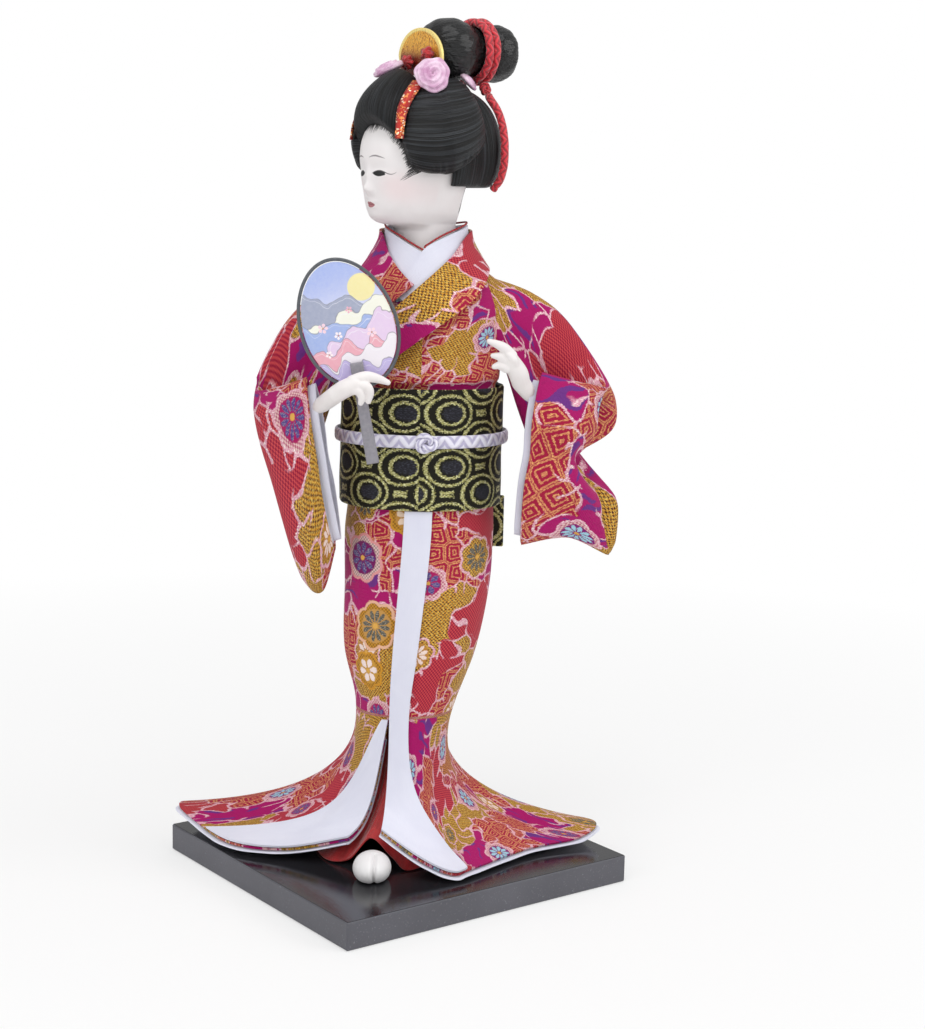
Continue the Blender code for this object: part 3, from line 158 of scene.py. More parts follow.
# Cord tail of the bun
# One end of the red braided cord hangs down the back of the hair from the knot under the bun. It is soft,
# 2.9 mm thick, and ends at the nape with a bound tip.
TAIL_ROUTE = [
    (0.0297, -0.0095, 0.2875), (0.0288, -0.0109, 0.2871), (0.0278, -0.0128, 0.2864),
    (0.0275, -0.0146, 0.2851), (0.0279, -0.0162, 0.2832), (0.0282, -0.0176, 0.2810),
    (0.0283, -0.0190, 0.2784), (0.0283, -0.0201, 0.2757), (0.0282, -0.0209, 0.2731),
    (0.0282, -0.0214, 0.2706), (0.0281, -0.0216, 0.2681), (0.0282, -0.0215, 0.2655),
    (0.0283, -0.0211, 0.2630), (0.0283, -0.0204, 0.2608), (0.0283, -0.0196, 0.2589),
    (0.0281, -0.0185, 0.2571), (0.0276, -0.0170, 0.2553), (0.0272, -0.0159, 0.2540),
]


def tidy_name(made, name):
    """Give an object and its data the same name."""
    made.name = name
    made.data.name = name
    return made


def srgb(red, green, blue):
    """A colour given on the 0 to 255 scale, as the shader wants it."""
    values = []
    for level in (red, green, blue):
        share = level / 255.0
        values.append(share / 12.92 if share <= 0.04045 else ((share + 0.055) / 1.055) ** 2.4)
    return (*values, 1.0)


def add(tree, kind, values=None, **settings):
    """A new node in a tree, with its settings, and with values or links on its inputs."""
    made = tree.nodes.new("ShaderNode" + kind)
    for key, value in settings.items():
        setattr(made, key, value)
    for key, value in (values or {}).items():
        if isinstance(value, bpy.types.NodeSocket):
            tree.links.new(value, made.inputs[key])
        else:
            made.inputs[key].default_value = value
    return made


def sum_of(tree, kind, a, b=0.0, c=0.0, clamp=False):
    """The output of a Math node."""
    return add(tree, "Math", {0: a, 1: b, 2: c}, operation=kind, use_clamp=clamp).outputs[0]


def step_at(tree, value, low, high):
    """0 where a value is below low, 1 where it is above high, and smooth between."""
    made = add(tree, "MapRange", {"Value": value, "From Min": low, "From Max": high},
               interpolation_type="SMOOTHSTEP")
    return made.outputs[0]


def colour_mix(tree, share, a, b):
    """The colour a, with b over it by a share."""
    made = add(tree, "Mix", data_type="RGBA")
    for index, value in ((0, share), (6, a), (7, b)):
        if isinstance(value, bpy.types.NodeSocket):
            tree.links.new(value, made.inputs[index])
        else:
            made.inputs[index].default_value = value
    return made.outputs[2]


def new_finish(name, roughness=0.6, metallic=0.0):
    """A material with its Principled shader."""
    made = bpy.data.materials.new(name)
    made.use_nodes = True
    shader = made.node_tree.nodes["Principled BSDF"]
    shader.inputs["Roughness"].default_value = roughness
    shader.inputs["Metallic"].default_value = metallic
    return made, made.node_tree, shader


def new_effect(name, inputs, outputs):
    """A node group, with its sockets as pairs of a name and a kind."""
    tree = bpy.data.node_groups.new(name, "ShaderNodeTree")
    for label, kind in inputs:
        tree.interface.new_socket(label, in_out="INPUT", socket_type="NodeSocket" + kind)
    for label, kind in outputs:
        tree.interface.new_socket(label, in_out="OUTPUT", socket_type="NodeSocket" + kind)
    entry = tree.nodes.new("NodeGroupInput")
    ending = tree.nodes.new("NodeGroupOutput")
    return tree, entry.outputs, ending.inputs


def use_effect(tree, effect, values=None):
    """A node in a tree that uses a node group."""
    return add(tree, "Group", values, node_tree=effect).outputs


def braid_effect():
    """Height and shade of a round braid, from a UV map whose U goes round and V goes along."""
    tree, given, result = new_effect(
        "braid", (("Vector", "Vector"), ("Round", "Float"), ("Along", "Float")),
        (("Height", "Float"), ("Shade", "Float")))
    place = add(tree, "SeparateXYZ", {0: given["Vector"]}).outputs
    around = sum_of(tree, "MULTIPLY", place[0], given["Round"])
    along = sum_of(tree, "MULTIPLY", place[1], given["Along"])
    first = sum_of(tree, "SINE", sum_of(tree, "MULTIPLY", sum_of(tree, "ADD", around, along), math.tau))
    second = sum_of(tree, "SINE", sum_of(tree, "MULTIPLY", sum_of(tree, "SUBTRACT", around, along), math.tau))
    crossing = sum_of(tree, "SINE", sum_of(tree, "MULTIPLY", along, math.tau * 0.5))
    side = step_at(tree, crossing, -0.3, 0.3)
    strand = add(tree, "Mix", {0: side, 2: first, 3: second}, data_type="FLOAT").outputs[0]
    height = step_at(tree, strand, -1.0, 1.0)
    tree.links.new(height, result["Height"])
    tree.links.new(step_at(tree, strand, -0.9, 0.2), result["Shade"])
    return tree


braid = braid_effect()


def world_point(point, frame_matrix=figure_frame):
    """A point of the figure's or the head's frame in the world."""
    return frame_matrix @ Vector(point)


def curve_through(points, share, closed=False):
    """A smooth curve through points, at a share of its way from 0 to 1."""
    count = len(points)
    spans = count if closed else count - 1
    spot = min(max(share, 0.0), 1.0) * spans
    i = min(int(spot), spans - 1)
    f = spot - i

    def at(k):
        return Vector(points[k % count] if closed else points[min(max(k, 0), count - 1)])

    a, b, c, d = at(i - 1), at(i), at(i + 1), at(i + 2)
    return 0.5 * (2 * b + (c - a) * f + (2 * a - 5 * b + 4 * c - d) * f * f + (3 * b - a - 3 * c + d) * f ** 3)


def grid_mesh(name, grid, places, around=False, closed_ends=False):
    """An object from rows of points in the world, with a UV map from a grid of places."""
    rows, cols = len(grid), len(grid[0])
    spans = cols if around else cols - 1
    faces = []
    corners = []
    for r in range(rows - 1):
        for c in range(spans):
            n = (c + 1) % cols
            faces.append((r * cols + c, r * cols + n, (r + 1) * cols + n, (r + 1) * cols + c))
            corners.append(((r, c), (r, c + 1), (r + 1, c + 1), (r + 1, c)))
    if closed_ends:
        faces.append(tuple(range(cols)))
        corners.append(tuple((0, c) for c in range(cols)))
        faces.append(tuple(reversed(range((rows - 1) * cols, rows * cols))))
        corners.append(tuple((rows - 1, c) for c in reversed(range(cols))))
    mesh = bpy.data.meshes.new(name)
    mesh.from_pydata([tuple(p) for row in grid for p in row], [], faces)
    layer = mesh.uv_layers.new(name="cloth")
    for face, spots in zip(mesh.polygons, corners):
        for loop, (r, c) in zip(face.loop_indices, spots):
            layer.data[loop].uv = places(r / (rows - 1), c / spans)
    made = bpy.data.objects.new(name, mesh)
    bpy.context.scene.collection.objects.link(made)
    return made


def turn_outwards(made):
    """Turn the faces of a closed mesh outwards."""
    shape = bmesh.new()
    shape.from_mesh(made.data)
    bmesh.ops.recalc_face_normals(shape, faces=shape.faces)
    shape.to_mesh(made.data)
    shape.free()


def join_edges(made):
    """Join the points of a mesh that lie on each other, and turn its faces outwards."""
    shape = bmesh.new()
    shape.from_mesh(made.data)
    bmesh.ops.remove_doubles(shape, verts=shape.verts, dist=0.00001)
    bmesh.ops.recalc_face_normals(shape, faces=shape.faces)
    shape.to_mesh(made.data)
    shape.free()


def settle(made, finish, angle=50):
    """Give a piece its material and smooth shading, and leave it deselected."""
    made.data.materials.clear()
    made.data.materials.append(finish)
    made.data.shade_smooth()
    if angle:
        made.data.set_sharp_from_angle(angle=math.radians(angle))
    made.select_set(False)
    return made


def apply_modifiers(made):
    """Apply every modifier of a piece."""
    bpy.ops.object.select_all(action="DESELECT")
    made.select_set(True)
    bpy.context.view_layer.objects.active = made
    for step in list(made.modifiers):
        bpy.ops.object.modifier_apply(modifier=step.name)
    made.select_set(False)
    return made


def tube_mesh(name, route, radii, sides=24, turns=1.0):
    """A closed tube along a route, its UV map round and along it in metres."""
    rows = []
    lengths = [0.0]
    last = len(route) - 1
    side = None
    for i, point in enumerate(route):
        ahead = (route[min(i + 1, last)] - route[max(i - 1, 0)]).normalized()
        if side is None:
            side = ahead.orthogonal().normalized()
        side = (side - ahead * side.dot(ahead)).normalized()
        lift = side.cross(ahead)
        ring = []
        for k in range(sides):
            turn = math.tau * k / sides
            ring.append(point + (side * math.cos(turn) + lift * math.sin(turn)) * radii[i])
        rows.append(ring)
        if i:
            lengths.append(lengths[-1] + (point - route[i - 1]).length)
    made = grid_mesh(name, rows, lambda r, c: (c * turns, lengths[round(r * last)]), True, True)
    turn_outwards(made)
    return made


tail_curve = [curve_through(TAIL_ROUTE, i / 150) for i in range(151)]
TAIL_RADIUS = 1.45 * MM
tail_radii = []
for i in range(151):
    share = i / 150
    round_end = math.sqrt(max(1 - max((share - 0.97) / 0.03, 0) ** 2, 0.05))
    bind = 1 - 0.16 * math.exp(-((share - 0.93) / 0.012) ** 2)
    tail_radii.append(TAIL_RADIUS * round_end * bind)
cord_tail = tube_mesh("red_cord_tail", tail_curve, tail_radii)

red_braid, tree, shader = new_finish("red_braided_cord", 0.55)
place = add(tree, "UVMap", uv_map="cloth").outputs[0]
strands = use_effect(tree, braid, {"Vector": place, "Round": 4.0, "Along": 420.0})
fuzz = add(tree, "TexNoise", {"Vector": add(tree, "TexCoord").outputs["Object"], "Scale": 2600.0,
                              "Detail": 2.0}).outputs[0]
deep = colour_mix(tree, strands["Shade"], srgb(112, 6, 20), srgb(214, 30, 48))
tree.links.new(colour_mix(tree, sum_of(tree, "MULTIPLY", fuzz, 0.45), deep, srgb(236, 74, 84)),
               shader.inputs["Base Color"])
height = sum_of(tree, "ADD", strands["Height"], sum_of(tree, "MULTIPLY", fuzz, 0.35))
bump = add(tree, "Bump", {"Height": height, "Strength": 0.8, "Distance": 0.0004})
tree.links.new(bump.outputs[0], shader.inputs["Normal"])
shader.inputs["Sheen Weight"].default_value = 0.3
settle(cord_tail, red_braid)
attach(cord_tail, "root")
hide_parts("bun_cord_tail")


# Board
# A square board 124 mm across and 10 mm thick, sprayed in gloss black. Its top mirrors the room, and its
# sawn sides are greyer and finely speckled where the paint has sunk into the grain.
BOARD_TOP = 10.2 * MM
gloss_black, tree, shader = new_finish("gloss_black_board")
place = add(tree, "TexCoord").outputs["Object"]
height_up = add(tree, "SeparateXYZ", {0: place}).outputs[2]
on_top = step_at(tree, height_up, BOARD_TOP - 0.25 * MM, BOARD_TOP - 0.05 * MM)
clouding = add(tree, "TexNoise", {"Vector": place, "Scale": 28.0, "Detail": 4.0}).outputs[0]
speckle = add(tree, "TexNoise", {"Vector": place, "Scale": 1700.0, "Detail": 3.0}).outputs[0]
flecks = step_at(tree, speckle, 0.62, 0.74)
sides = colour_mix(tree, clouding, srgb(70, 70, 76), srgb(98, 98, 106))
sides = colour_mix(tree, sum_of(tree, "MULTIPLY", flecks, 0.5), sides, srgb(150, 150, 158))
top = colour_mix(tree, clouding, srgb(26, 26, 29), srgb(40, 40, 44))
top = colour_mix(tree, sum_of(tree, "MULTIPLY", flecks, 0.12), top, srgb(120, 120, 126))
tree.links.new(colour_mix(tree, on_top, sides, top), shader.inputs["Base Color"])
rough_side = sum_of(tree, "MULTIPLY_ADD", speckle, 0.3, 0.3)
rough_top = sum_of(tree, "MULTIPLY_ADD", clouding, 0.1, 0.04)
tree.links.new(add(tree, "Mix", {0: on_top, 2: rough_side, 3: rough_top}, data_type="FLOAT").outputs[0],
               shader.inputs["Roughness"])
bump = add(tree, "Bump", {"Height": sum_of(tree, "ADD", speckle, sum_of(tree, "MULTIPLY", clouding, 2.0)),
                          "Strength": 0.08, "Distance": 0.0004})
tree.links.new(bump.outputs[0], shader.inputs["Normal"])
nodes["base_board"].data.materials.clear()
nodes["base_board"].data.materials.append(gloss_black)


# Rod and stuffed core
# Under the clothes a steel rod stands in the board and carries a body of packed straw bound in paper.
# Neither shows, and both are plain.
steel, tree, shader = new_finish("drawn_steel", 0.35, 1.0)
place = add(tree, "TexCoord").outputs["Object"]
drawn = add(tree, "Mapping", {"Vector": place, "Scale": (3000.0, 3000.0, 60.0)}).outputs[0]
lines = add(tree, "TexNoise", {"Vector": drawn, "Scale": 1.0, "Detail": 3.0}).outputs[0]
tree.links.new(colour_mix(tree, lines, srgb(120, 120, 124), srgb(190, 190, 194)), shader.inputs["Base Color"])
tree.links.new(sum_of(tree, "MULTIPLY_ADD", lines, 0.25, 0.25), shader.inputs["Roughness"])
nodes["support_rod"].data.materials.clear()
nodes["support_rod"].data.materials.append(steel)

bound_paper, tree, shader = new_finish("bound_paper", 0.85)
place = add(tree, "TexCoord").outputs["Object"]
crumple = add(tree, "TexVoronoi", {"Vector": place, "Scale": 160.0}, distance="EUCLIDEAN").outputs[0]
fibre = add(tree, "TexNoise", {"Vector": place, "Scale": 900.0, "Detail": 4.0}).outputs[0]
tree.links.new(colour_mix(tree, fibre, srgb(190, 168, 132), srgb(222, 204, 172)), shader.inputs["Base Color"])
bump = add(tree, "Bump", {"Height": sum_of(tree, "ADD", crumple, fibre), "Strength": 0.5, "Distance": 0.0006})
tree.links.new(bump.outputs[0], shader.inputs["Normal"])
nodes["body_core"].data.materials.clear()
nodes["body_core"].data.materials.append(bound_paper)


# Red underskirt
# Under the kimono hangs a skirt of red satin, gathered round the rod at the knee and spread over the foot.
# It is cut from one piece, and its hem lies on the board in soft waves.
CLOTH = 0.8 * MM
GAP = 0.3 * MM
LAYER = CLOTH + GAP
KNEE = 64.0 * MM
CORE_BOTTOM = 72.0 * MM
BODY_SECTIONS = [
    (40, -2.0, -5.0, 17.6, 18.5),
    (64, 2.6, -3.0, 18.8, 18.5),
    (86, 4.2, -1.0, 25.0, 21.5),
    (110, 6.4, 0.0, 27.3, 22.8),
    (130, 6.8, 0.0, 27.8, 23.0),
    (141, 7.2, 0.0, 27.2, 22.9),
    (184, 7.4, 0.0, 27.2, 22.9),
    (200, 7.6, 0.4, 28.4, 22.6),
    (212, 7.8, 0.8, 27.8, 20.8),
    (221, 7.8, 1.2, 24.0, 18.4),
    (229, 7.8, 2.0, 18.6, 16.0),
    (236, 7.7, 2.7, 14.7, 14.3),
    (241, 7.6, 2.9, 13.9, 13.8),
]
UNDERSKIRT_HEM = [
    (-8, -29.5, 20.6), (-16, -30, 12.6), (-24, -26, 11), (-29, -12, 11), (-26, 10, 11), (-8, 24, 11),
    (14, 22, 11), (26, 4, 11), (22, -16, 11), (12, -31, 11), (5, -35.5, 11), (0, -31, 14),
]


def ease(x):
    """0 below 0, 1 above 1, and smooth between."""
    x = min(max(x, 0.0), 1.0)
    return x * x * (3 - 2 * x)


def between(a, b, share):
    """A point or number between a and b."""
    return a + (b - a) * share


def table_at(table, z):
    """The values of a table of sections at a height, smooth between its rows."""
    heights = [row[0] * MM for row in table]
    z = min(max(z, heights[0]), heights[-1])
    i = 0
    while i < len(heights) - 2 and z > heights[i + 1]:
        i += 1
    f = (z - heights[i]) / (heights[i + 1] - heights[i])
    rows = [table[min(max(k, 0), len(heights) - 1)] for k in (i - 1, i, i + 1, i + 2)]
    span = heights[i + 1] - heights[i]
    values = []
    for k in range(1, len(table[0])):
        before = (rows[2][k] - rows[0][k]) / max((rows[2][0] - rows[0][0]) * MM, 1e-6)
        after = (rows[3][k] - rows[1][k]) / max((rows[3][0] - rows[1][0]) * MM, 1e-6)
        value = between(rows[1][k], rows[2][k], f * f * (3 - 2 * f))
        value += span * (before * f * (1 - f) ** 2 - after * f * f * (1 - f))
        values.append(value * MM)
    return values


def body_section(z):
    """Centre X, centre Y, half width and half depth of the clothed body at a height."""
    return table_at(BODY_SECTIONS, z)


def body_point(angle, z, out=0.0):
    """A point on the clothed body. Angle 0 faces -Y and grows towards +X."""
    cx, cy, half_width, half_depth = body_section(z)
    return Vector((cx + (half_width + out) * math.sin(angle), cy - (half_depth + out) * math.cos(angle), z))


def cloth_piece(name, grid, places, finish, thickness=CLOTH, around=False, frame_matrix=figure_frame):
    """A cloth of a real thickness from rows of points in a frame, thickened inwards."""
    rows = [[frame_matrix @ point for point in line] for line in grid]
    made = grid_mesh(name, rows, places, around)
    wall = made.modifiers.new("cloth thickness", "SOLIDIFY")
    wall.thickness = thickness
    wall.offset = -1.0
    wall.use_even_offset = False
    apply_modifiers(made)
    settle(made, finish, 60)
    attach(made, "root")
    return made


def underskirt_point(u, t):
    """A point of the red underskirt: t is 0 at its gathered top and 1 at the hem."""
    angle = -math.tau * u
    top = body_point(angle, CORE_BOTTOM - GAP, -(2 * LAYER + 5.8 * MM))
    cx, cy, _, _ = body_section(KNEE)
    axis = Vector((cx, cy, top.z))
    hem = curve_through(UNDERSKIRT_HEM, u, True) * MM
    drop = top.z - hem.z
    out = Vector((hem.x - top.x, hem.y - top.y, 0))
    a, d = top, hem
    b = between(top, axis, 0.2) - Vector((0, 0, drop * 0.60))
    c = hem - out * 0.45 + Vector((0, 0, drop * 0.12))
    s = 1 - t
    point = a * s ** 3 + 3 * b * s * s * t + 3 * c * s * t * t + d * t ** 3
    gather = math.sin(u * math.tau * 9) * 0.5 * MM * 4 * t * (1 - t)
    small = math.sin(u * math.tau * 31 + 3 * math.sin(u * math.tau * 5)) * 0.22 * MM * (1 - t) * t * 4
    return point + out.normalized() * (gather + small)


red_satin, tree, shader = new_finish("red_satin", 0.3)
place = add(tree, "UVMap", uv_map="cloth").outputs[0]
threads = add(tree, "Mapping", {"Vector": place, "Scale": (9000.0, 700.0, 1.0)}).outputs[0]
thread = add(tree, "TexNoise", {"Vector": threads, "Scale": 1.0, "Detail": 3.0}, noise_dimensions="2D").outputs[0]
satin_crease_and_shade = add(tree, "TexNoise", {"Vector": place, "Scale": 60.0, "Detail": 4.0, "Distortion": 1.2}).outputs[0]
# Painted shade: the satin's red is darker where the crease noise, which also makes its bump, dips into a crease.
red = colour_mix(tree, step_at(tree, satin_crease_and_shade, 0.3, 0.7), srgb(146, 14, 20), srgb(192, 30, 34))
tree.links.new(colour_mix(tree, sum_of(tree, "MULTIPLY", thread, 0.35), red, srgb(206, 62, 58)),
               shader.inputs["Base Color"])
tree.links.new(sum_of(tree, "MULTIPLY_ADD", thread, 0.2, 0.24), shader.inputs["Roughness"])
height = sum_of(tree, "ADD", sum_of(tree, "MULTIPLY", thread, 0.25), sum_of(tree, "MULTIPLY", satin_crease_and_shade, 1.6))
tree.links.new(add(tree, "Bump", {"Height": height, "Strength": 0.7, "Distance": 0.0006}).outputs[0],
               shader.inputs["Normal"])
shader.inputs["Sheen Weight"].default_value = 0.35
shader.inputs["Anisotropic"].default_value = 0.5

grid = [[underskirt_point(c / 220, r / 90) for c in range(220)] for r in range(91)]
underskirt = cloth_piece("red_satin_underskirt", grid, lambda r, c: (c * 0.2, r * 0.08), red_satin, 0.5 * MM, True)
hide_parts("underskirt")


# Foot
# The left foot steps out from the hem in a white sock with a split toe. It is cast plaster under a thin
# coat of white, and stands on the board.
white_sock, tree, shader = new_finish("white_sock", 0.5)
place = add(tree, "TexCoord").outputs["Object"]
grain = add(tree, "TexNoise", {"Vector": place, "Scale": 1500.0, "Detail": 3.0}).outputs[0]
wash = add(tree, "TexNoise", {"Vector": place, "Scale": 120.0, "Detail": 2.0}).outputs[0]
tree.links.new(colour_mix(tree, wash, srgb(222, 220, 220), srgb(240, 239, 240)), shader.inputs["Base Color"])
tree.links.new(sum_of(tree, "MULTIPLY_ADD", grain, 0.25, 0.35), shader.inputs["Roughness"])
tree.links.new(add(tree, "Bump", {"Height": grain, "Strength": 0.15, "Distance": 0.0003}).outputs[0],
               shader.inputs["Normal"])
bpy.ops.mesh.primitive_uv_sphere_add(segments=120, ring_count=72, radius=1.0)
foot = tidy_name(bpy.context.object, "foot_in_sock")
foot.data.transform(Matrix.Diagonal((6.9 * MM, 9.5 * MM, 5.6 * MM, 1.0)))
for vertex in foot.data.vertices:
    low = -3.9 * MM
    if vertex.co.z < low + 1.0 * MM:
        vertex.co.z = low + 1.0 * MM - 1.0 * MM * math.tanh((low + 1.0 * MM - vertex.co.z) / (1.0 * MM))
    if vertex.co.y < 0:
        cleft = math.exp(-((vertex.co.x - 1.0 * MM) / (0.75 * MM)) ** 2)
        vertex.co.y += cleft * 2.3 * MM * -vertex.co.y / (9.5 * MM)
        vertex.co.z -= cleft * 1.1 * MM * max(vertex.co.z, 0) / (5.6 * MM)
foot.data.transform(figure_frame @ Matrix.Translation((-6.6 * MM, -43.5 * MM, (10.2 + 0.3 + 3.9) * MM)))
settle(foot, white_sock, 0)
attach(foot, "root")
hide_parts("foot")


# Kimono skirt
# The kimono is woven brocade: magenta twill with gold, rose and white threads in clouds, hexagons and
# flowers. Its skirt wraps the body, laps at the front, and spreads below the knee into a train.
SKIRT_TOP = 152.0 * MM
TRAIN_HEM = [
    (-16, -31, 20.5), (-38, -27, 15), (-58, -20, 14), (-72, -5, 15), (-83, 7, 20.5),
    (-70, 26, 15.5), (-44, 40, 13.8), (-8, 50, 13.6), (32, 44, 13.6), (60, 26, 14), (76, 3, 18),
    (70, -5, 14.4), (50, -17, 13.6), (30, -39, 13.6), (22, -46, 13.6), (10, -43, 17.8), (-4, -35, 25),
]


def flower_effect():
    """Masks of one woven flower: its petals, its ground, its eye, the cloud round it and the cloud's line."""
    tree, given, result = new_effect(
        "woven_flower",
        (("Vector", "Vector"), ("Centre", "Vector"), ("Size", "Float"), ("Petals", "Float"), ("Turn", "Float")),
        (("Petal", "Float"), ("Disc", "Float"), ("Eye", "Float"), ("Cloud", "Float"), ("Line", "Float")))
    away = add(tree, "VectorMath", {0: given["Vector"], 1: given["Centre"]}, operation="SUBTRACT").outputs[0]
    axes = add(tree, "SeparateXYZ", {0: away}).outputs
    angle = sum_of(tree, "ADD", sum_of(tree, "ARCTAN2", axes[1], axes[0]), given["Turn"])
    distance = add(tree, "VectorMath", {0: away}, operation="LENGTH").outputs["Value"]
    reach = sum_of(tree, "DIVIDE", distance, given["Size"])
    half = sum_of(tree, "MULTIPLY", sum_of(tree, "MULTIPLY", angle, given["Petals"]), 0.5)
    lobe = sum_of(tree, "ABSOLUTE", sum_of(tree, "COSINE", half))
    tip = sum_of(tree, "MULTIPLY_ADD", lobe, 0.30, 0.42)
    inside = step_at(tree, sum_of(tree, "SUBTRACT", tip, reach), -0.02, 0.03)
    wide = sum_of(tree, "SUBTRACT", lobe, sum_of(tree, "DIVIDE", 0.12, sum_of(tree, "MAXIMUM", reach, 0.05)))
    leaf = sum_of(tree, "MULTIPLY", inside, step_at(tree, wide, 0.0, 0.12))
    heart = step_at(tree, reach, 0.16, 0.22)
    tree.links.new(sum_of(tree, "MULTIPLY", leaf, heart), result["Petal"])
    tree.links.new(step_at(tree, reach, 0.80, 0.74), result["Disc"])
    tree.links.new(step_at(tree, reach, 0.15, 0.10), result["Eye"])
    scallop = sum_of(tree, "ABSOLUTE", sum_of(tree, "COSINE", sum_of(tree, "MULTIPLY", angle, 3.5)))
    edge = sum_of(tree, "MULTIPLY_ADD", scallop, 0.17, 0.98)
    tree.links.new(step_at(tree, sum_of(tree, "SUBTRACT", edge, reach), -0.02, 0.02), result["Cloud"])
    rim = sum_of(tree, "ABSOLUTE", sum_of(tree, "SUBTRACT", sum_of(tree, "SUBTRACT", edge, reach), 0.05))
    tree.links.new(step_at(tree, rim, 0.09, 0.05), result["Line"])
    return tree


def weave_effect():
    """The brocade's threads: a twill's height, a dotted lattice for gold, and a glint of single threads."""
    tree, given, result = new_effect(
        "brocade_threads", (("Vector", "Vector"),),
        (("Twill", "Float"), ("Dots", "Float"), ("Glint", "Float"), ("Fray", "Vector")))
    axes = add(tree, "SeparateXYZ", {0: given["Vector"]}).outputs
    rough = add(tree, "TexNoise", {"Vector": given["Vector"], "Scale": 1.3, "Detail": 2.0}, noise_dimensions="2D")
    jitter = sum_of(tree, "MULTIPLY", rough.outputs[0], 1.6)
    along = sum_of(tree, "MULTIPLY", axes[0], math.tau / 0.62)
    up = sum_of(tree, "MULTIPLY", axes[1], math.tau / 0.62)
    diagonal = sum_of(tree, "SINE", sum_of(tree, "ADD", sum_of(tree, "ADD", along, up), jitter))
    across = sum_of(tree, "SINE", sum_of(tree, "MULTIPLY_ADD", axes[1], math.tau / 0.30, jitter))
    tree.links.new(sum_of(tree, "MULTIPLY_ADD", across, 0.4, diagonal), result["Twill"])
    dots = sum_of(tree, "MULTIPLY", sum_of(tree, "SINE", sum_of(tree, "MULTIPLY", along, 0.46)),
                  sum_of(tree, "SINE", sum_of(tree, "MULTIPLY", up, 0.46)))
    tree.links.new(step_at(tree, dots, -0.35, 0.35), result["Dots"])
    stretched = add(tree, "Mapping", {"Vector": given["Vector"], "Scale": (1.1, 3.4, 1.0)}).outputs[0]
    glint = add(tree, "TexNoise", {"Vector": stretched, "Scale": 1.0, "Detail": 1.0}, noise_dimensions="2D")
    tree.links.new(step_at(tree, glint.outputs[0], 0.50, 0.66), result["Glint"])
    cell = add(tree, "VectorMath", {0: given["Vector"], 1: (0.42, 0.30, 1.0)}, operation="SNAP").outputs[0]
    shift = add(tree, "TexWhiteNoise", {"Vector": cell}, noise_dimensions="2D").outputs["Color"]
    offset = add(tree, "VectorMath", {0: shift, 1: (-0.5, -0.5, -0.5)}, operation="ADD").outputs[0]
    tree.links.new(add(tree, "VectorMath", {0: offset, "Scale": 0.34}, operation="SCALE").outputs[0],
                   result["Fray"])
    return tree


woven_flower = flower_effect()
brocade_threads = weave_effect()

MAGENTA = srgb(168, 2, 98)
CRIMSON = srgb(168, 20, 58)
OCHRE = srgb(206, 146, 46)
GOLD = srgb(226, 174, 82)
ROSE_WHITE = srgb(232, 196, 192)
MAROON = srgb(104, 24, 28)
OLIVE = srgb(112, 106, 58)
GREY_GREEN = srgb(84, 82, 74)
SKY = srgb(156, 206, 226)
VIOLET = srgb(92, 34, 122)


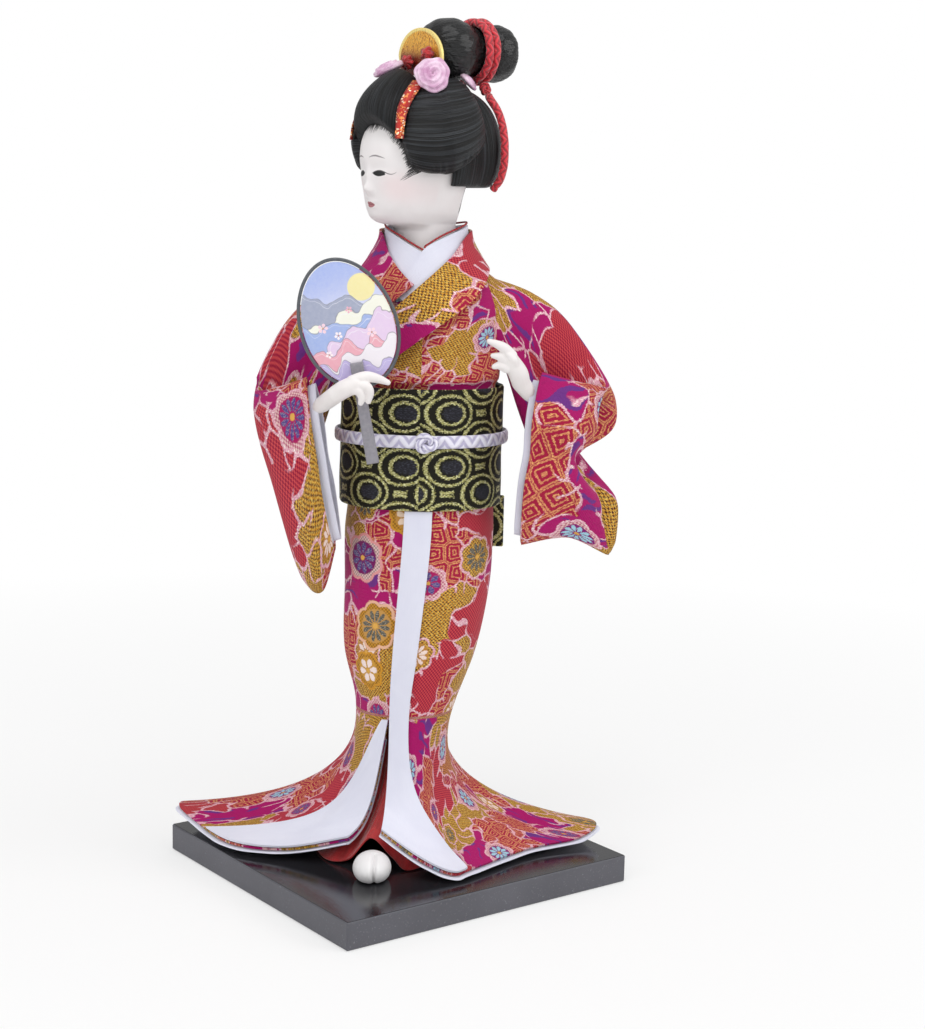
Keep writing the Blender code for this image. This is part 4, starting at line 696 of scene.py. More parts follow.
def ground_effect():
    """The brocade's ground and its scattered flowers, laid out in millimetres."""
    tree, given, result = new_effect(
        "brocade_ground", (("Vector", "Vector"), ("Spread", "Float")),
        (("Color", "Color"), ("Gold", "Float"), ("Relief", "Float")))
    threads = use_effect(tree, brocade_threads, {"Vector": given["Vector"]})
    frayed = add(tree, "VectorMath", {0: given["Vector"], 1: threads["Fray"]}, operation="ADD").outputs[0]
    wave = add(tree, "TexNoise", {"Vector": frayed, "Scale": 0.075, "Detail": 1.0}, noise_dimensions="2D")
    drift = add(tree, "VectorMath", {0: wave.outputs["Color"], 1: (-0.5, -0.5, -0.5)}, operation="ADD")
    drift = add(tree, "VectorMath", {0: drift.outputs[0], "Scale": 14.0}, operation="SCALE")
    wavy = add(tree, "VectorMath", {0: frayed, 1: drift.outputs[0]}, operation="ADD").outputs[0]

    lumps = add(tree, "TexVoronoi", {"Vector": wavy, "Scale": 0.15, "Randomness": 0.75},
                voronoi_dimensions="2D", feature="F1")
    lump_edge = add(tree, "TexVoronoi", {"Vector": wavy, "Scale": 0.15, "Randomness": 0.75},
                    voronoi_dimensions="2D", feature="DISTANCE_TO_EDGE").outputs[0]
    cloud = add(tree, "TexVoronoi", {"Vector": lumps.outputs["Position"], "Scale": 0.042, "Randomness": 1.0},
                voronoi_dimensions="2D", feature="F1")
    cloud_edge = add(tree, "TexVoronoi", {"Vector": wavy, "Scale": 0.042, "Randomness": 1.0},
                     voronoi_dimensions="2D", feature="DISTANCE_TO_EDGE").outputs[0]
    pick = add(tree, "SeparateColor", {0: cloud.outputs["Color"]}).outputs

    hexagon = add(tree, "TexVoronoi", {"Vector": frayed, "Scale": 0.145, "Randomness": 0.35},
                  voronoi_dimensions="2D", feature="DISTANCE_TO_EDGE").outputs[0]
    rings = sum_of(tree, "SINE", sum_of(tree, "MULTIPLY", hexagon, math.tau * 5.2))
    rings = step_at(tree, rings, 0.3, 0.7)
    broken = sum_of(tree, "MULTIPLY", rings, sum_of(tree, "MULTIPLY_ADD", threads["Glint"], 0.5, 0.5))
    hex_ground = colour_mix(tree, broken, srgb(164, 10, 58), srgb(240, 176, 112))
    gold_dots = colour_mix(tree, threads["Dots"], srgb(84, 36, 26), OCHRE)
    gold_dots = colour_mix(tree, sum_of(tree, "MULTIPLY", threads["Glint"], 0.6), gold_dots, srgb(255, 222, 112))
    rose_dots = colour_mix(tree, threads["Dots"], srgb(146, 6, 52), srgb(206, 70, 74))
    pale_dots = colour_mix(tree, threads["Dots"], srgb(190, 104, 128), ROSE_WHITE)
    # Painted shade at thread level: the plain magenta is lighter on the raised twill lines and darker between them.
    plain = colour_mix(tree, sum_of(tree, "MULTIPLY", threads["Twill"], 0.3, clamp=True), MAGENTA,
                       srgb(196, 10, 118))
    stroke_place = add(tree, "Mapping", {"Vector": wavy, "Rotation": (0, 0, 0.6), "Scale": (0.09, 0.42, 1.0)})
    strokes = add(tree, "TexNoise", {"Vector": stroke_place.outputs[0], "Scale": 1.0, "Detail": 0.0},
                  noise_dimensions="2D").outputs[0]
    plain = colour_mix(tree, step_at(tree, strokes, 0.665, 0.69), plain, srgb(108, 44, 130))

    is_hex = step_at(tree, pick[0], 0.30, 0.31)
    is_gold = step_at(tree, pick[0], 0.56, 0.57)
    is_rose = step_at(tree, pick[0], 0.87, 0.88)
    colour = colour_mix(tree, is_hex, plain, hex_ground)
    colour = colour_mix(tree, is_gold, colour, gold_dots)
    colour = colour_mix(tree, is_rose, colour, rose_dots)
    outline = sum_of(tree, "MULTIPLY", step_at(tree, lump_edge, 0.085, 0.06), step_at(tree, cloud_edge, 0.17, 0.13))
    line_colour = colour_mix(tree, threads["Glint"], srgb(222, 156, 176), srgb(250, 232, 228))
    colour = colour_mix(tree, outline, colour, line_colour)

    near = add(tree, "TexVoronoi", {"Vector": frayed, "Scale": given["Spread"], "Randomness": 0.55},
               voronoi_dimensions="2D", feature="F1")
    kind = add(tree, "SeparateColor", {0: near.outputs["Color"]}).outputs
    size = sum_of(tree, "MULTIPLY_ADD", kind[1], 2.4, 5.4)
    petals = sum_of(tree, "ROUND", sum_of(tree, "MULTIPLY_ADD", kind[2], 5.0, 7.0))
    bloom = use_effect(tree, woven_flower, {"Vector": frayed, "Centre": near.outputs["Position"], "Size": size,
                                            "Petals": petals, "Turn": sum_of(tree, "MULTIPLY", kind[1], 6.0)})
    present = step_at(tree, kind[0], 0.24, 0.25)
    type_b = step_at(tree, kind[0], 0.50, 0.51)
    type_c = step_at(tree, kind[0], 0.68, 0.69)
    type_d = step_at(tree, kind[0], 0.84, 0.85)
    cloud_paint = colour_mix(tree, type_b, gold_dots, pale_dots)
    cloud_paint = colour_mix(tree, type_c, cloud_paint, gold_dots)
    cloud_paint = colour_mix(tree, type_d, cloud_paint, pale_dots)
    disc_paint = colour_mix(tree, type_b, gold_dots, srgb(132, 16, 112))
    disc_paint = colour_mix(tree, type_c, disc_paint, srgb(190, 132, 60))
    disc_paint = colour_mix(tree, type_d, disc_paint, srgb(172, 20, 92))
    petal_paint = colour_mix(tree, type_b, GREY_GREEN, SKY)
    petal_paint = colour_mix(tree, type_c, petal_paint, srgb(246, 222, 214))
    petal_paint = colour_mix(tree, type_d, petal_paint, srgb(82, 66, 136))
    petal_paint = colour_mix(tree, sum_of(tree, "MULTIPLY", threads["Glint"], 0.35), petal_paint,
                             srgb(222, 210, 190))
    for mask, paint in (("Cloud", cloud_paint), ("Line", line_colour), ("Disc", disc_paint),
                        ("Petal", petal_paint), ("Eye", GOLD)):
        colour = colour_mix(tree, sum_of(tree, "MULTIPLY", bloom[mask], present), colour, paint)
    tree.links.new(colour, result["Color"])
    gold_share = sum_of(tree, "MULTIPLY", sum_of(tree, "SUBTRACT", is_gold, is_rose, clamp=True),
                        threads["Dots"])
    tree.links.new(sum_of(tree, "MAXIMUM", gold_share, outline), result["Gold"])
    raised = sum_of(tree, "MULTIPLY", sum_of(tree, "MAXIMUM", bloom["Petal"], bloom["Line"]), present)
    raised = sum_of(tree, "MAXIMUM", raised, sum_of(tree, "MAXIMUM", outline, sum_of(tree, "MULTIPLY", rings, 0.5)))
    tree.links.new(sum_of(tree, "MULTIPLY_ADD", threads["Twill"], 0.22, raised), result["Relief"])
    return tree


brocade_ground = ground_effect()


def brocade_finish(name, offset=(0.0, 0.0, 0.0), turn=0.0, spread=0.036, flowers=()):
    """A brocade of its own cut: the ground moved by an offset in mm, and flowers placed on it."""
    made, tree, shader = new_finish(name, 0.55)
    place = add(tree, "UVMap", uv_map="cloth").outputs[0]
    spot = add(tree, "Mapping", {"Vector": place, "Scale": (1000.0, 1000.0, 1.0), "Rotation": (0, 0, turn),
                                 "Location": offset}).outputs[0]
    ground = use_effect(tree, brocade_ground, {"Vector": spot, "Spread": spread})
    colour = ground["Color"]
    relief = ground["Relief"]
    if flowers:
        threads = use_effect(tree, brocade_threads, {"Vector": spot})
        bare = add(tree, "VectorMath", {0: place, "Scale": 1000.0}, operation="SCALE").outputs[0]
        frayed = add(tree, "VectorMath", {0: bare, 1: threads["Fray"]}, operation="ADD").outputs[0]
        glint = sum_of(tree, "MULTIPLY", threads["Glint"], 0.4)
    for x, y, size, petals, cloud, disc, petal, line in flowers:
        bloom = use_effect(tree, woven_flower, {"Vector": frayed, "Centre": (x, y, 0.0), "Size": size,
                                                "Petals": petals, "Turn": 0.07 * x})
        cloud_paint = colour_mix(tree, threads["Dots"], cloud, tuple(0.45 * v for v in cloud[:3]) + (1.0,))
        colour = colour_mix(tree, bloom["Cloud"], colour, cloud_paint)
        colour = colour_mix(tree, bloom["Line"], colour, line)
        colour = colour_mix(tree, bloom["Disc"], colour, disc)
        colour = colour_mix(tree, bloom["Petal"], colour, colour_mix(tree, glint, petal, srgb(222, 210, 190)))
        colour = colour_mix(tree, bloom["Eye"], colour, GOLD)
        relief = sum_of(tree, "MAXIMUM", relief, sum_of(tree, "MAXIMUM", bloom["Petal"], bloom["Line"]))
    tree.links.new(colour, shader.inputs["Base Color"])
    tree.links.new(sum_of(tree, "MULTIPLY_ADD", ground["Gold"], -0.24, 0.62), shader.inputs["Roughness"])
    tree.links.new(sum_of(tree, "MULTIPLY", ground["Gold"], 0.35), shader.inputs["Metallic"])
    tree.links.new(add(tree, "Bump", {"Height": relief, "Strength": 0.55, "Distance": 0.0004}).outputs[0],
                   shader.inputs["Normal"])
    shader.inputs["Sheen Weight"].default_value = 0.03
    shader.inputs["Specular IOR Level"].default_value = 0.22
    return made


def skirt_angle(x, z):
    """The angle on the body's front at which a vertical line has a given X."""
    cx, _, half_width, _ = body_section(z)
    return math.asin(max(-1.0, min(1.0, (x - cx) / half_width)))


def skirt_span(z):
    """Angles of the viewer's left free edge and of the right front edge at a height above the knee."""
    t = ease((z - KNEE) / (SKIRT_TOP - KNEE))
    left_x = between(-2.3 * MM, 15.0 * MM, t ** 0.6)
    right_x = between(-1.7 * MM, 2.8 * MM, t)
    return skirt_angle(left_x, z), skirt_angle(right_x, z)


def skirt_point(u, z, out=0.0):
    """A point of the wrapped skirt above the knee. u runs from the left free edge round the back."""
    first, last = skirt_span(z)
    angle = first - u * (math.tau + first - last)
    lap = LAYER * (1.2 * ease((u - 0.62) / 0.25) - 1.2 * ease((0.38 - u) / 0.25))
    return body_point(angle, z, out + lap * 0.5 - 0.5 * CLOTH)


def train_point(u, t):
    """A point of the skirt below the knee: t is 0 at the knee and 1 at the hem."""
    knee = skirt_point(u, KNEE)
    above = skirt_point(u, KNEE + 2 * MM)
    hem = curve_through(TRAIN_HEM, u) * MM
    out = Vector((hem.x - knee.x, hem.y - knee.y, 0.0))
    reach = out.length
    drop = knee.z - hem.z
    lead = (knee - above).normalized() * drop * 0.62
    trail = Vector((out.x, out.y, 0.0)) * 0.62 + Vector((0, 0, -0.10 * drop))
    a, b, c, d = knee, knee + lead, hem - trail, hem
    s = 1 - t
    point = a * s ** 3 + 3 * b * s * s * t + 3 * c * s * t * t + d * t ** 3
    folds = math.sin(u * math.tau * 7.0) * 1.3 * MM + math.sin(u * math.tau * 4.0 + 1.0) * 0.9 * MM
    free = t * (1 - t) * 3.0 * ease(u / 0.1) * ease((1 - u) / 0.1)
    return point + Vector((0, 0, 1)) * folds * free * ease(reach / (25 * MM))


def skirt_place(r, c, above, below):
    """Where a point of the skirt's cloth lies in the brocade, in metres."""
    row = r * (above + below)
    if row <= above:
        z = between(SKIRT_TOP, KNEE, row / above)
        first, last = skirt_span(z)
        angle = first - c * (math.tau + first - last)
        return angle * 25.0 * MM, z
    t = (row - above) / below
    first, last = skirt_span(KNEE)
    angle = first - c * (math.tau + first - last)
    far = (25.0 + 78.0 * t) * MM
    return math.sin(angle) * far, -0.2 - math.cos(angle) * far


SKIRT_ROWS_ABOVE = 60
SKIRT_ROWS_BELOW = 90
SKIRT_COLUMNS = 200


def skirt_rows(out=0.0):
    """Rows of points of the skirt's outer face, from its top down to the hem."""
    rows = []
    for r in range(SKIRT_ROWS_ABOVE):
        z = between(SKIRT_TOP, KNEE, r / SKIRT_ROWS_ABOVE)
        rows.append([skirt_point(c / (SKIRT_COLUMNS - 1), z, out) for c in range(SKIRT_COLUMNS)])
    for r in range(SKIRT_ROWS_BELOW + 1):
        t = r / SKIRT_ROWS_BELOW
        rows.append([train_point(c / (SKIRT_COLUMNS - 1), t) for c in range(SKIRT_COLUMNS)])
    return rows


skirt_brocade = brocade_finish("skirt_brocade", flowers=(
    (-13.5, 97.0, 8.2, 12.0, OCHRE, srgb(200, 150, 80), GREY_GREEN, srgb(230, 180, 150)),
    (20.5, 93.0, 7.6, 12.0, OCHRE, srgb(206, 150, 60), GREY_GREEN, srgb(234, 190, 160)),
    (13.0, 110.5, 8.6, 9.0, ROSE_WHITE, srgb(134, 14, 110), SKY, srgb(250, 232, 226)),
    (-20.5, 121.5, 8.0, 9.0, ROSE_WHITE, srgb(120, 16, 92), srgb(76, 60, 128), srgb(222, 150, 150)),
    (19.0, 134.0, 8.0, 8.0, OCHRE, srgb(206, 152, 56), OLIVE, OCHRE),
    (-3.0, 138.0, 6.4, 7.0, OCHRE, srgb(198, 146, 70), srgb(238, 214, 190), OCHRE),
    (-17.0, 80.0, 6.4, 6.0, OCHRE, srgb(204, 152, 60), srgb(246, 226, 222), OCHRE),
    (10.0, 74.0, 7.0, 7.0, OCHRE, srgb(206, 160, 78), srgb(246, 230, 214), srgb(232, 200, 150)),
))
above, below = SKIRT_ROWS_ABOVE, SKIRT_ROWS_BELOW
kimono_skirt = cloth_piece("brocade_skirt", skirt_rows(), lambda r, c: skirt_place(r, c, above, below),
                           skirt_brocade)
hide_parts("kimono_skirt")


# White lining and facings
# The train is lined with white cotton, a little wider than the brocade, so a rolled white hem shows all
# along the board. The same cotton faces the long front edge and the corner folded back on the left.
OBI_BOTTOM = 140.5 * MM
HEM_THICKNESS = 1.3 * MM
HEM_SHOWING = 1.6 * MM
FACING_STAND = GAP + 0.15 * MM


def grid_normals(grid, around=False):
    """A normal at each point of a grid, by differences."""
    rows, cols = len(grid), len(grid[0])
    result = []
    for r in range(rows):
        line = []
        for c in range(cols):
            if around:
                left, right = grid[r][(c - 1) % cols], grid[r][(c + 1) % cols]
            else:
                left, right = grid[r][max(c - 1, 0)], grid[r][min(c + 1, cols - 1)]
            down, up = grid[max(r - 1, 0)][c], grid[min(r + 1, rows - 1)][c]
            line.append((right - left).cross(up - down).normalized())
        result.append(line)
    return result


def grid_moved(grid, amount, around=False):
    """A grid moved along its normals."""
    facing = grid_normals(grid, around)
    return [[p + n * amount for p, n in zip(line, turned)] for line, turned in zip(grid, facing)]


def plain_weave_effect():
    """Height of a fine plain weave, with its threads' uneven thickness, on a map in metres."""
    tree, given, result = new_effect(
        "plain_weave", (("Vector", "Vector"), ("Pitch", "Float")), (("Height", "Float"), ("Slub", "Float")))
    scaled = add(tree, "VectorMath", {0: given["Vector"], "Scale": given["Pitch"]}, operation="SCALE").outputs[0]
    axes = add(tree, "SeparateXYZ", {0: scaled}).outputs
    warp = sum_of(tree, "ABSOLUTE", sum_of(tree, "SINE", sum_of(tree, "MULTIPLY", axes[0], math.pi)))
    weft = sum_of(tree, "ABSOLUTE", sum_of(tree, "SINE", sum_of(tree, "MULTIPLY", axes[1], math.pi)))
    tree.links.new(sum_of(tree, "MULTIPLY", warp, weft), result["Height"])
    drawn = add(tree, "Mapping", {"Vector": scaled, "Scale": (0.8, 0.05, 1.0)}).outputs[0]
    slub = add(tree, "TexNoise", {"Vector": drawn, "Scale": 1.0, "Detail": 2.0}, noise_dimensions="2D").outputs[0]
    tree.links.new(slub, result["Slub"])
    return tree


plain_weave = plain_weave_effect()
white_cotton, tree, shader = new_finish("white_cotton", 0.6)
place = add(tree, "UVMap", uv_map="cloth").outputs[0]
weave = use_effect(tree, plain_weave, {"Vector": place, "Pitch": 3300.0})
cotton_crease_and_shade = add(tree, "TexNoise", {"Vector": place, "Scale": 45.0, "Detail": 3.0, "Distortion": 0.6}).outputs[0]
# Painted shade: the cotton is darker in its soft pressed creases, where the same noise as its bump dips.
white = colour_mix(tree, cotton_crease_and_shade, srgb(214, 215, 232), srgb(236, 237, 248))
white = colour_mix(tree, sum_of(tree, "MULTIPLY", weave["Slub"], 0.25), white, srgb(206, 206, 226))
tree.links.new(white, shader.inputs["Base Color"])
tree.links.new(sum_of(tree, "MULTIPLY_ADD", weave["Slub"], 0.2, 0.45), shader.inputs["Roughness"])
height = sum_of(tree, "MULTIPLY_ADD", cotton_crease_and_shade, 2.0, sum_of(tree, "MULTIPLY", weave["Height"], 0.25))
tree.links.new(add(tree, "Bump", {"Height": height, "Strength": 0.35, "Distance": 0.0005}).outputs[0],
               shader.inputs["Normal"])
shader.inputs["Sheen Weight"].default_value = 0.15

columns = 220
rows = []
for r in range(71):
    t = between(0.125, 1.0, r / 70)
    rows.append([train_point(c / (columns - 1), t) for c in range(columns)])
upper = grid_moved(rows, -LAYER - 0.35 * MM)
for r in range(1, 9):
    reach_out = [(rows[-1][c] - rows[-3][c]).normalized() for c in range(columns)]
    line = []
    for c in range(columns):
        way = Vector((reach_out[c].x, reach_out[c].y, max(reach_out[c].z, -0.05)))
        turn = math.radians(90) * r / 8
        rise = 0.45 * MM * math.sin(math.tau * (c / 9.0)) * 0.15
        line.append(upper[70][c] + way * HEM_SHOWING * math.sin(turn)
                    + Vector((0, 0, -0.55 * MM * (1 - math.cos(turn)) + rise * math.sin(turn))))
    upper.append(line)
lining = cloth_piece("white_train_lining", upper, lambda r, c: (c * 0.4, r * 0.09), white_cotton, 0.7 * MM)
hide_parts("train_lining")


def facing_rows(first, last, count_above, count_below, columns, top, start=0.0):
    """Rows of the skirt's face between two edges that are functions of the height share."""
    rows = []
    for r in range(count_above):
        z = between(top, KNEE, r / count_above)
        share = (z - KNEE) / (SKIRT_TOP - KNEE)
        a, b = first(-share), last(-share)
        rows.append([skirt_point(between(a, b, c / (columns - 1)), z) for c in range(columns)])
    for r in range(count_below + 1):
        t = between(start, 1.0, r / count_below)
        a, b = first(t), last(t)
        rows.append([train_point(between(a, b, c / (columns - 1)), t) for c in range(columns)])
    return rows


rows = facing_rows(
    lambda t: 1.0 - 0.052 - 0.023 * ease(t + 0.3) - 0.098 * ease(t) ** 1.5, lambda t: 1.0,
    80, 90, 28, OBI_BOTTOM - GAP)
front_facing = cloth_piece("white_front_facing", grid_moved(rows, FACING_STAND + CLOTH),
                           lambda r, c: (c * 0.02, r * 0.15), white_cotton)
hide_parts("front_facing")

rows = facing_rows(lambda t: 0.0, lambda t: 0.012 + 0.17 * t ** 0.75, 0, 90, 50, KNEE, 0.02)
folded_facing = cloth_piece("white_folded_facing", grid_moved(rows, FACING_STAND + CLOTH),
                            lambda r, c: (c * 0.04, r * 0.08), white_cotton)
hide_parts("folded_facing")


# Bodice, under collars and lapels
# The brocade bodice is tucked into the sash. Two white under collars with a red piped edge cross at the
# throat, and the two brocade lapels cross over them, the viewer's right one on top.
OBI_TOP = 184.0 * MM
BODICE_BOTTOM = 172.0 * MM
COLLAR_HEIGHT = 237.0 * MM
PIPING_RADIUS = 0.35 * MM
NECK_DIP = 16.0 * MM


def bodice_swell(z):
    """The bodice blouses a little over the top of the sash."""
    if z <= OBI_TOP + GAP:
        return 0.0
    return 1.1 * MM * math.exp(-((z - OBI_TOP - 4 * MM) / (4.5 * MM)) ** 2) * ease((z - OBI_TOP - GAP) / (2 * MM))


def body_ring(out, z, count):
    """A ring of points round the body at a height."""
    return [body_point(-math.tau * k / count, z, out) for k in range(count)]


bodice_brocade = brocade_finish("bodice_brocade", (11.0, -36.0, 0.0), 0.35)
rows = []
for i in range(81):
    ring = []
    for k in range(200):
        turn = -math.tau * k / 200
        top = COLLAR_HEIGHT - 1.5 * MM - NECK_DIP * (0.5 + 0.5 * math.cos(turn)) ** 2
        z = between(top, BODICE_BOTTOM, i / 80)
        ring.append(body_point(turn, z, -0.5 * CLOTH + bodice_swell(z)))
    rows.append(ring)
bodice = cloth_piece("brocade_bodice", rows, lambda r, c: (-c * 0.157, 0.237 - r * 0.065), bodice_brocade,
                     CLOTH, True)
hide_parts("kimono_bodice")


def body_patch(edge_a, edge_b, count, columns, out):
    """A patch on the body between two edges, each a list of angles in degrees and heights in mm."""
    rows = []
    for r in range(count):
        t = r / (count - 1)
        a = curve_through([(angle, z, 0) for angle, z in edge_a], t)
        b = curve_through([(angle, z, 0) for angle, z in edge_b], t)
        line = []
        for c in range(columns):
            spot = between(a, b, c / (columns - 1))
            z = spot.y * MM
            line.append(body_point(math.radians(spot.x), z, out + bodice_swell(z)))
        rows.append(line)
    return rows


LAPEL_RIGHT_INNER = [(178, 240.5), (110, 240), (62, 237.5), (24, 229.5), (-4, 219.8), (-33, 205), (-66, 187)]
LAPEL_RIGHT_OUTER = [(178, 228.5), (120, 228), (88, 226.5), (60, 222.5), (22, 210.5), (-10, 198), (-38, 187)]
LAPEL_LEFT_INNER = [(-178, 240.5), (-120, 240), (-72, 238), (-38, 230.5), (-7.5, 220.6)]
LAPEL_LEFT_OUTER = [(-178, 228.5), (-125, 228), (-92, 226.5), (-62, 221), (-25, 213)]
UNDER_RIGHT_INNER = [(178, 239.8), (105, 241.6), (58, 239.8), (24, 236.8), (-1, 232.8), (-12, 226), (-18, 221)]
UNDER_RIGHT_OUTER = [(178, 235), (110, 234.5), (76, 232.5), (50, 227.5), (26, 220.5), (12, 214), (2, 210)]
UNDER_LEFT_INNER = [(-178, 239.8), (-105, 240.8), (-66, 239.0), (-34, 236.2), (6, 230.5)]
UNDER_LEFT_OUTER = [(-178, 235), (-115, 234.5), (-82, 232.5), (-56, 227.5), (-10, 213)]
under = -0.5 * CLOTH + GAP + 0.6 * MM
over = under + LAYER + 0.4 * MM
lapel_right_brocade = brocade_finish("lapel_right_brocade", (62.0, 14.0, 0.0), 0.2)
lapel_left_brocade = brocade_finish("lapel_left_brocade", (6.0, 71.0, 0.0), 0.9)
for name, edge_a, edge_b, out, finish, slot, node, cut_size in (
    ("white_collar_right", UNDER_RIGHT_INNER, UNDER_RIGHT_OUTER, under, white_cotton, "white_lining",
     "under_collar_right", (0.0101, 0.091, 0.00077)),
    ("white_collar_left", UNDER_LEFT_OUTER, UNDER_LEFT_INNER, under - 0.45 * MM, white_cotton, "white_lining",
     "under_collar_left", (0.0101, 0.068, 0.00051)),
    ("brocade_lapel_right", LAPEL_RIGHT_INNER, LAPEL_RIGHT_OUTER, over, lapel_right_brocade, "magenta_brocade",
     "lapel_right", (0.0125, 0.124, 0.00155)),
    ("brocade_lapel_left", LAPEL_LEFT_OUTER, LAPEL_LEFT_INNER, over, lapel_left_brocade, "magenta_brocade",
     "lapel_left", (0.0115, 0.075, 0.00085)),
):
    rows = body_patch(edge_a, edge_b, 140, 26, out + CLOTH)
    middle = rows[70][13]
    facing = (rows[70][14] - rows[70][12]).cross(rows[71][13] - rows[69][13])
    cx, cy, _, _ = body_section(middle.z)
    if facing.dot(Vector((middle.x - cx, middle.y - cy, 0))) < 0:
        rows = [list(reversed(line)) for line in rows]
    collar = cloth_piece(name, rows, lambda r, c: (c * 0.013, r * 0.1), finish)
    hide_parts(node)

dark_red_piping, tree, shader = new_finish("dark_red_piping", 0.5)
place = add(tree, "UVMap", uv_map="cloth").outputs[0]
twist = use_effect(tree, braid, {"Vector": place, "Round": 1.0, "Along": 1400.0})
tree.links.new(colour_mix(tree, twist["Shade"], srgb(104, 10, 18), srgb(176, 30, 38)),
               shader.inputs["Base Color"])
tree.links.new(add(tree, "Bump", {"Height": twist["Height"], "Strength": 0.5, "Distance": 0.0001}).outputs[0],
               shader.inputs["Normal"])
lift = GAP + PIPING_RADIUS + 0.25 * MM
route = []
for edge, first, last in ((UNDER_LEFT_INNER, 0.0, 1.0), (UNDER_RIGHT_INNER[:5], 1.0, 0.0)):
    for r in range(60):
        spot = curve_through([(angle, z, 0) for angle, z in edge], between(first, last, (r + 0.5) / 60))
        point = body_point(math.radians(spot.x), spot.y * MM + lift, under + CLOTH / 2)
        route.append(world_point(point))
piping = tube_mesh("collar_piping_cord", route, [PIPING_RADIUS] * len(route), 14)
settle(piping, dark_red_piping)
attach(piping, "root")
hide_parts("collar_piping")


# Obi
# The sash is stiff black silk with pale gold drops, each ringed three times. It wraps the body between
# the bodice and the skirt, and is tied behind in a flat drum bow with one tail.
OBI_THICKNESS = 1.4 * MM


def obi_effect():
    """The sash's pattern in millimetres: a half-dropped lattice of dark eyes in uneven gold rings."""
    tree, given, result = new_effect("obi_drops", (("Vector", "Vector"),), (("Gold", "Float"), ("Eye", "Float")))
    cell = add(tree, "VectorMath", {0: given["Vector"], 1: (0.36, 0.30, 1.0)}, operation="SNAP").outputs[0]
    shift = add(tree, "TexWhiteNoise", {"Vector": cell}, noise_dimensions="2D").outputs["Color"]
    shift = add(tree, "VectorMath", {0: shift, 1: (-0.5, -0.5, -0.5)}, operation="ADD").outputs[0]
    shift = add(tree, "VectorMath", {0: shift, "Scale": 0.7}, operation="SCALE").outputs[0]
    spot = add(tree, "VectorMath", {0: given["Vector"], 1: shift}, operation="ADD").outputs[0]
    nearest = None
    eyes = None
    for dx, dy in ((0.0, 0.0), (12.5, 9.6)):
        moved = add(tree, "VectorMath", {0: spot, 1: (dx, dy, 0.0)}, operation="ADD").outputs[0]
        axes = add(tree, "SeparateXYZ", {0: moved}).outputs
        x = sum_of(tree, "SUBTRACT", sum_of(tree, "FLOORED_MODULO", axes[0], 25.0), 12.5)
        y = sum_of(tree, "SUBTRACT", sum_of(tree, "FLOORED_MODULO", axes[1], 19.2), 9.6)
        wide = sum_of(tree, "DIVIDE", x, 1.18)
        length = sum_of(tree, "SQRT", sum_of(tree, "ADD", sum_of(tree, "MULTIPLY", wide, wide),
                                             sum_of(tree, "MULTIPLY", y, y)))
        tear = sum_of(tree, "MULTIPLY_ADD", x, 0.16, length)
        slim = sum_of(tree, "MULTIPLY", sum_of(tree, "ABSOLUTE", y), sum_of(tree, "MULTIPLY_ADD", x, -0.11, 1.0))
        drop = sum_of(tree, "MAXIMUM", sum_of(tree, "MULTIPLY", length, 0.78), slim)
        eye = step_at(tree, drop, 2.7, 2.4)
        nearest = tear if nearest is None else sum_of(tree, "MINIMUM", nearest, tear)
        eyes = eye if eyes is None else sum_of(tree, "MAXIMUM", eyes, eye)
    ring = sum_of(tree, "COSINE", sum_of(tree, "MULTIPLY", sum_of(tree, "SUBTRACT", nearest, 3.75), math.tau / 2.55))
    ring = step_at(tree, ring, 0.3, 0.65)
    outside = step_at(tree, nearest, 3.0, 3.2)
    tree.links.new(sum_of(tree, "MULTIPLY", ring, outside), result["Gold"])
    tree.links.new(eyes, result["Eye"])
    return tree


obi_drops = obi_effect()
black_gold_silk, tree, shader = new_finish("black_gold_silk", 0.55)
shader.inputs["Specular IOR Level"].default_value = 0.2
place = add(tree, "UVMap", uv_map="cloth").outputs[0]
spot = add(tree, "Mapping", {"Vector": place, "Scale": (1000.0, 1000.0, 1.0), "Location": (3.9, -2.6, 0.0)}).outputs[0]
drops = use_effect(tree, obi_drops, {"Vector": spot})
threads = use_effect(tree, brocade_threads, {"Vector": spot})
# Painted shade at thread level: the black is lighter on the raised twill lines and darker between them.
black = colour_mix(tree, step_at(tree, threads["Twill"], -1.0, 1.2), srgb(10, 9, 5), srgb(32, 29, 14))
black = colour_mix(tree, drops["Eye"], black, colour_mix(tree, threads["Glint"], srgb(30, 30, 36), srgb(58, 58, 68)))
gold = colour_mix(tree, threads["Glint"], srgb(166, 162, 96), srgb(244, 242, 190))
share = sum_of(tree, "MULTIPLY", drops["Gold"], sum_of(tree, "MULTIPLY_ADD", threads["Dots"], 0.25, 0.75))
tree.links.new(colour_mix(tree, share, black, gold), shader.inputs["Base Color"])
tree.links.new(sum_of(tree, "MULTIPLY", drops["Gold"], 0.3), shader.inputs["Metallic"])
tree.links.new(sum_of(tree, "MULTIPLY_ADD", drops["Gold"], -0.15, 0.6), shader.inputs["Roughness"])
height = sum_of(tree, "MULTIPLY_ADD", threads["Twill"], 0.2, drops["Gold"])
tree.links.new(add(tree, "Bump", {"Height": height, "Strength": 0.5, "Distance": 0.0003}).outputs[0],
               shader.inputs["Normal"])

obi_out = 0.5 * CLOTH + GAP + OBI_THICKNESS + LAYER * 0.6


def obi_wave(angle, z):
    """The sash's face is a little uneven where it creases over the layers under it."""
    return 0.12 * MM * math.sin(angle * 3 + z / (7 * MM)) + 0.08 * MM * math.sin(z / (2.9 * MM) + 2 * math.cos(angle))


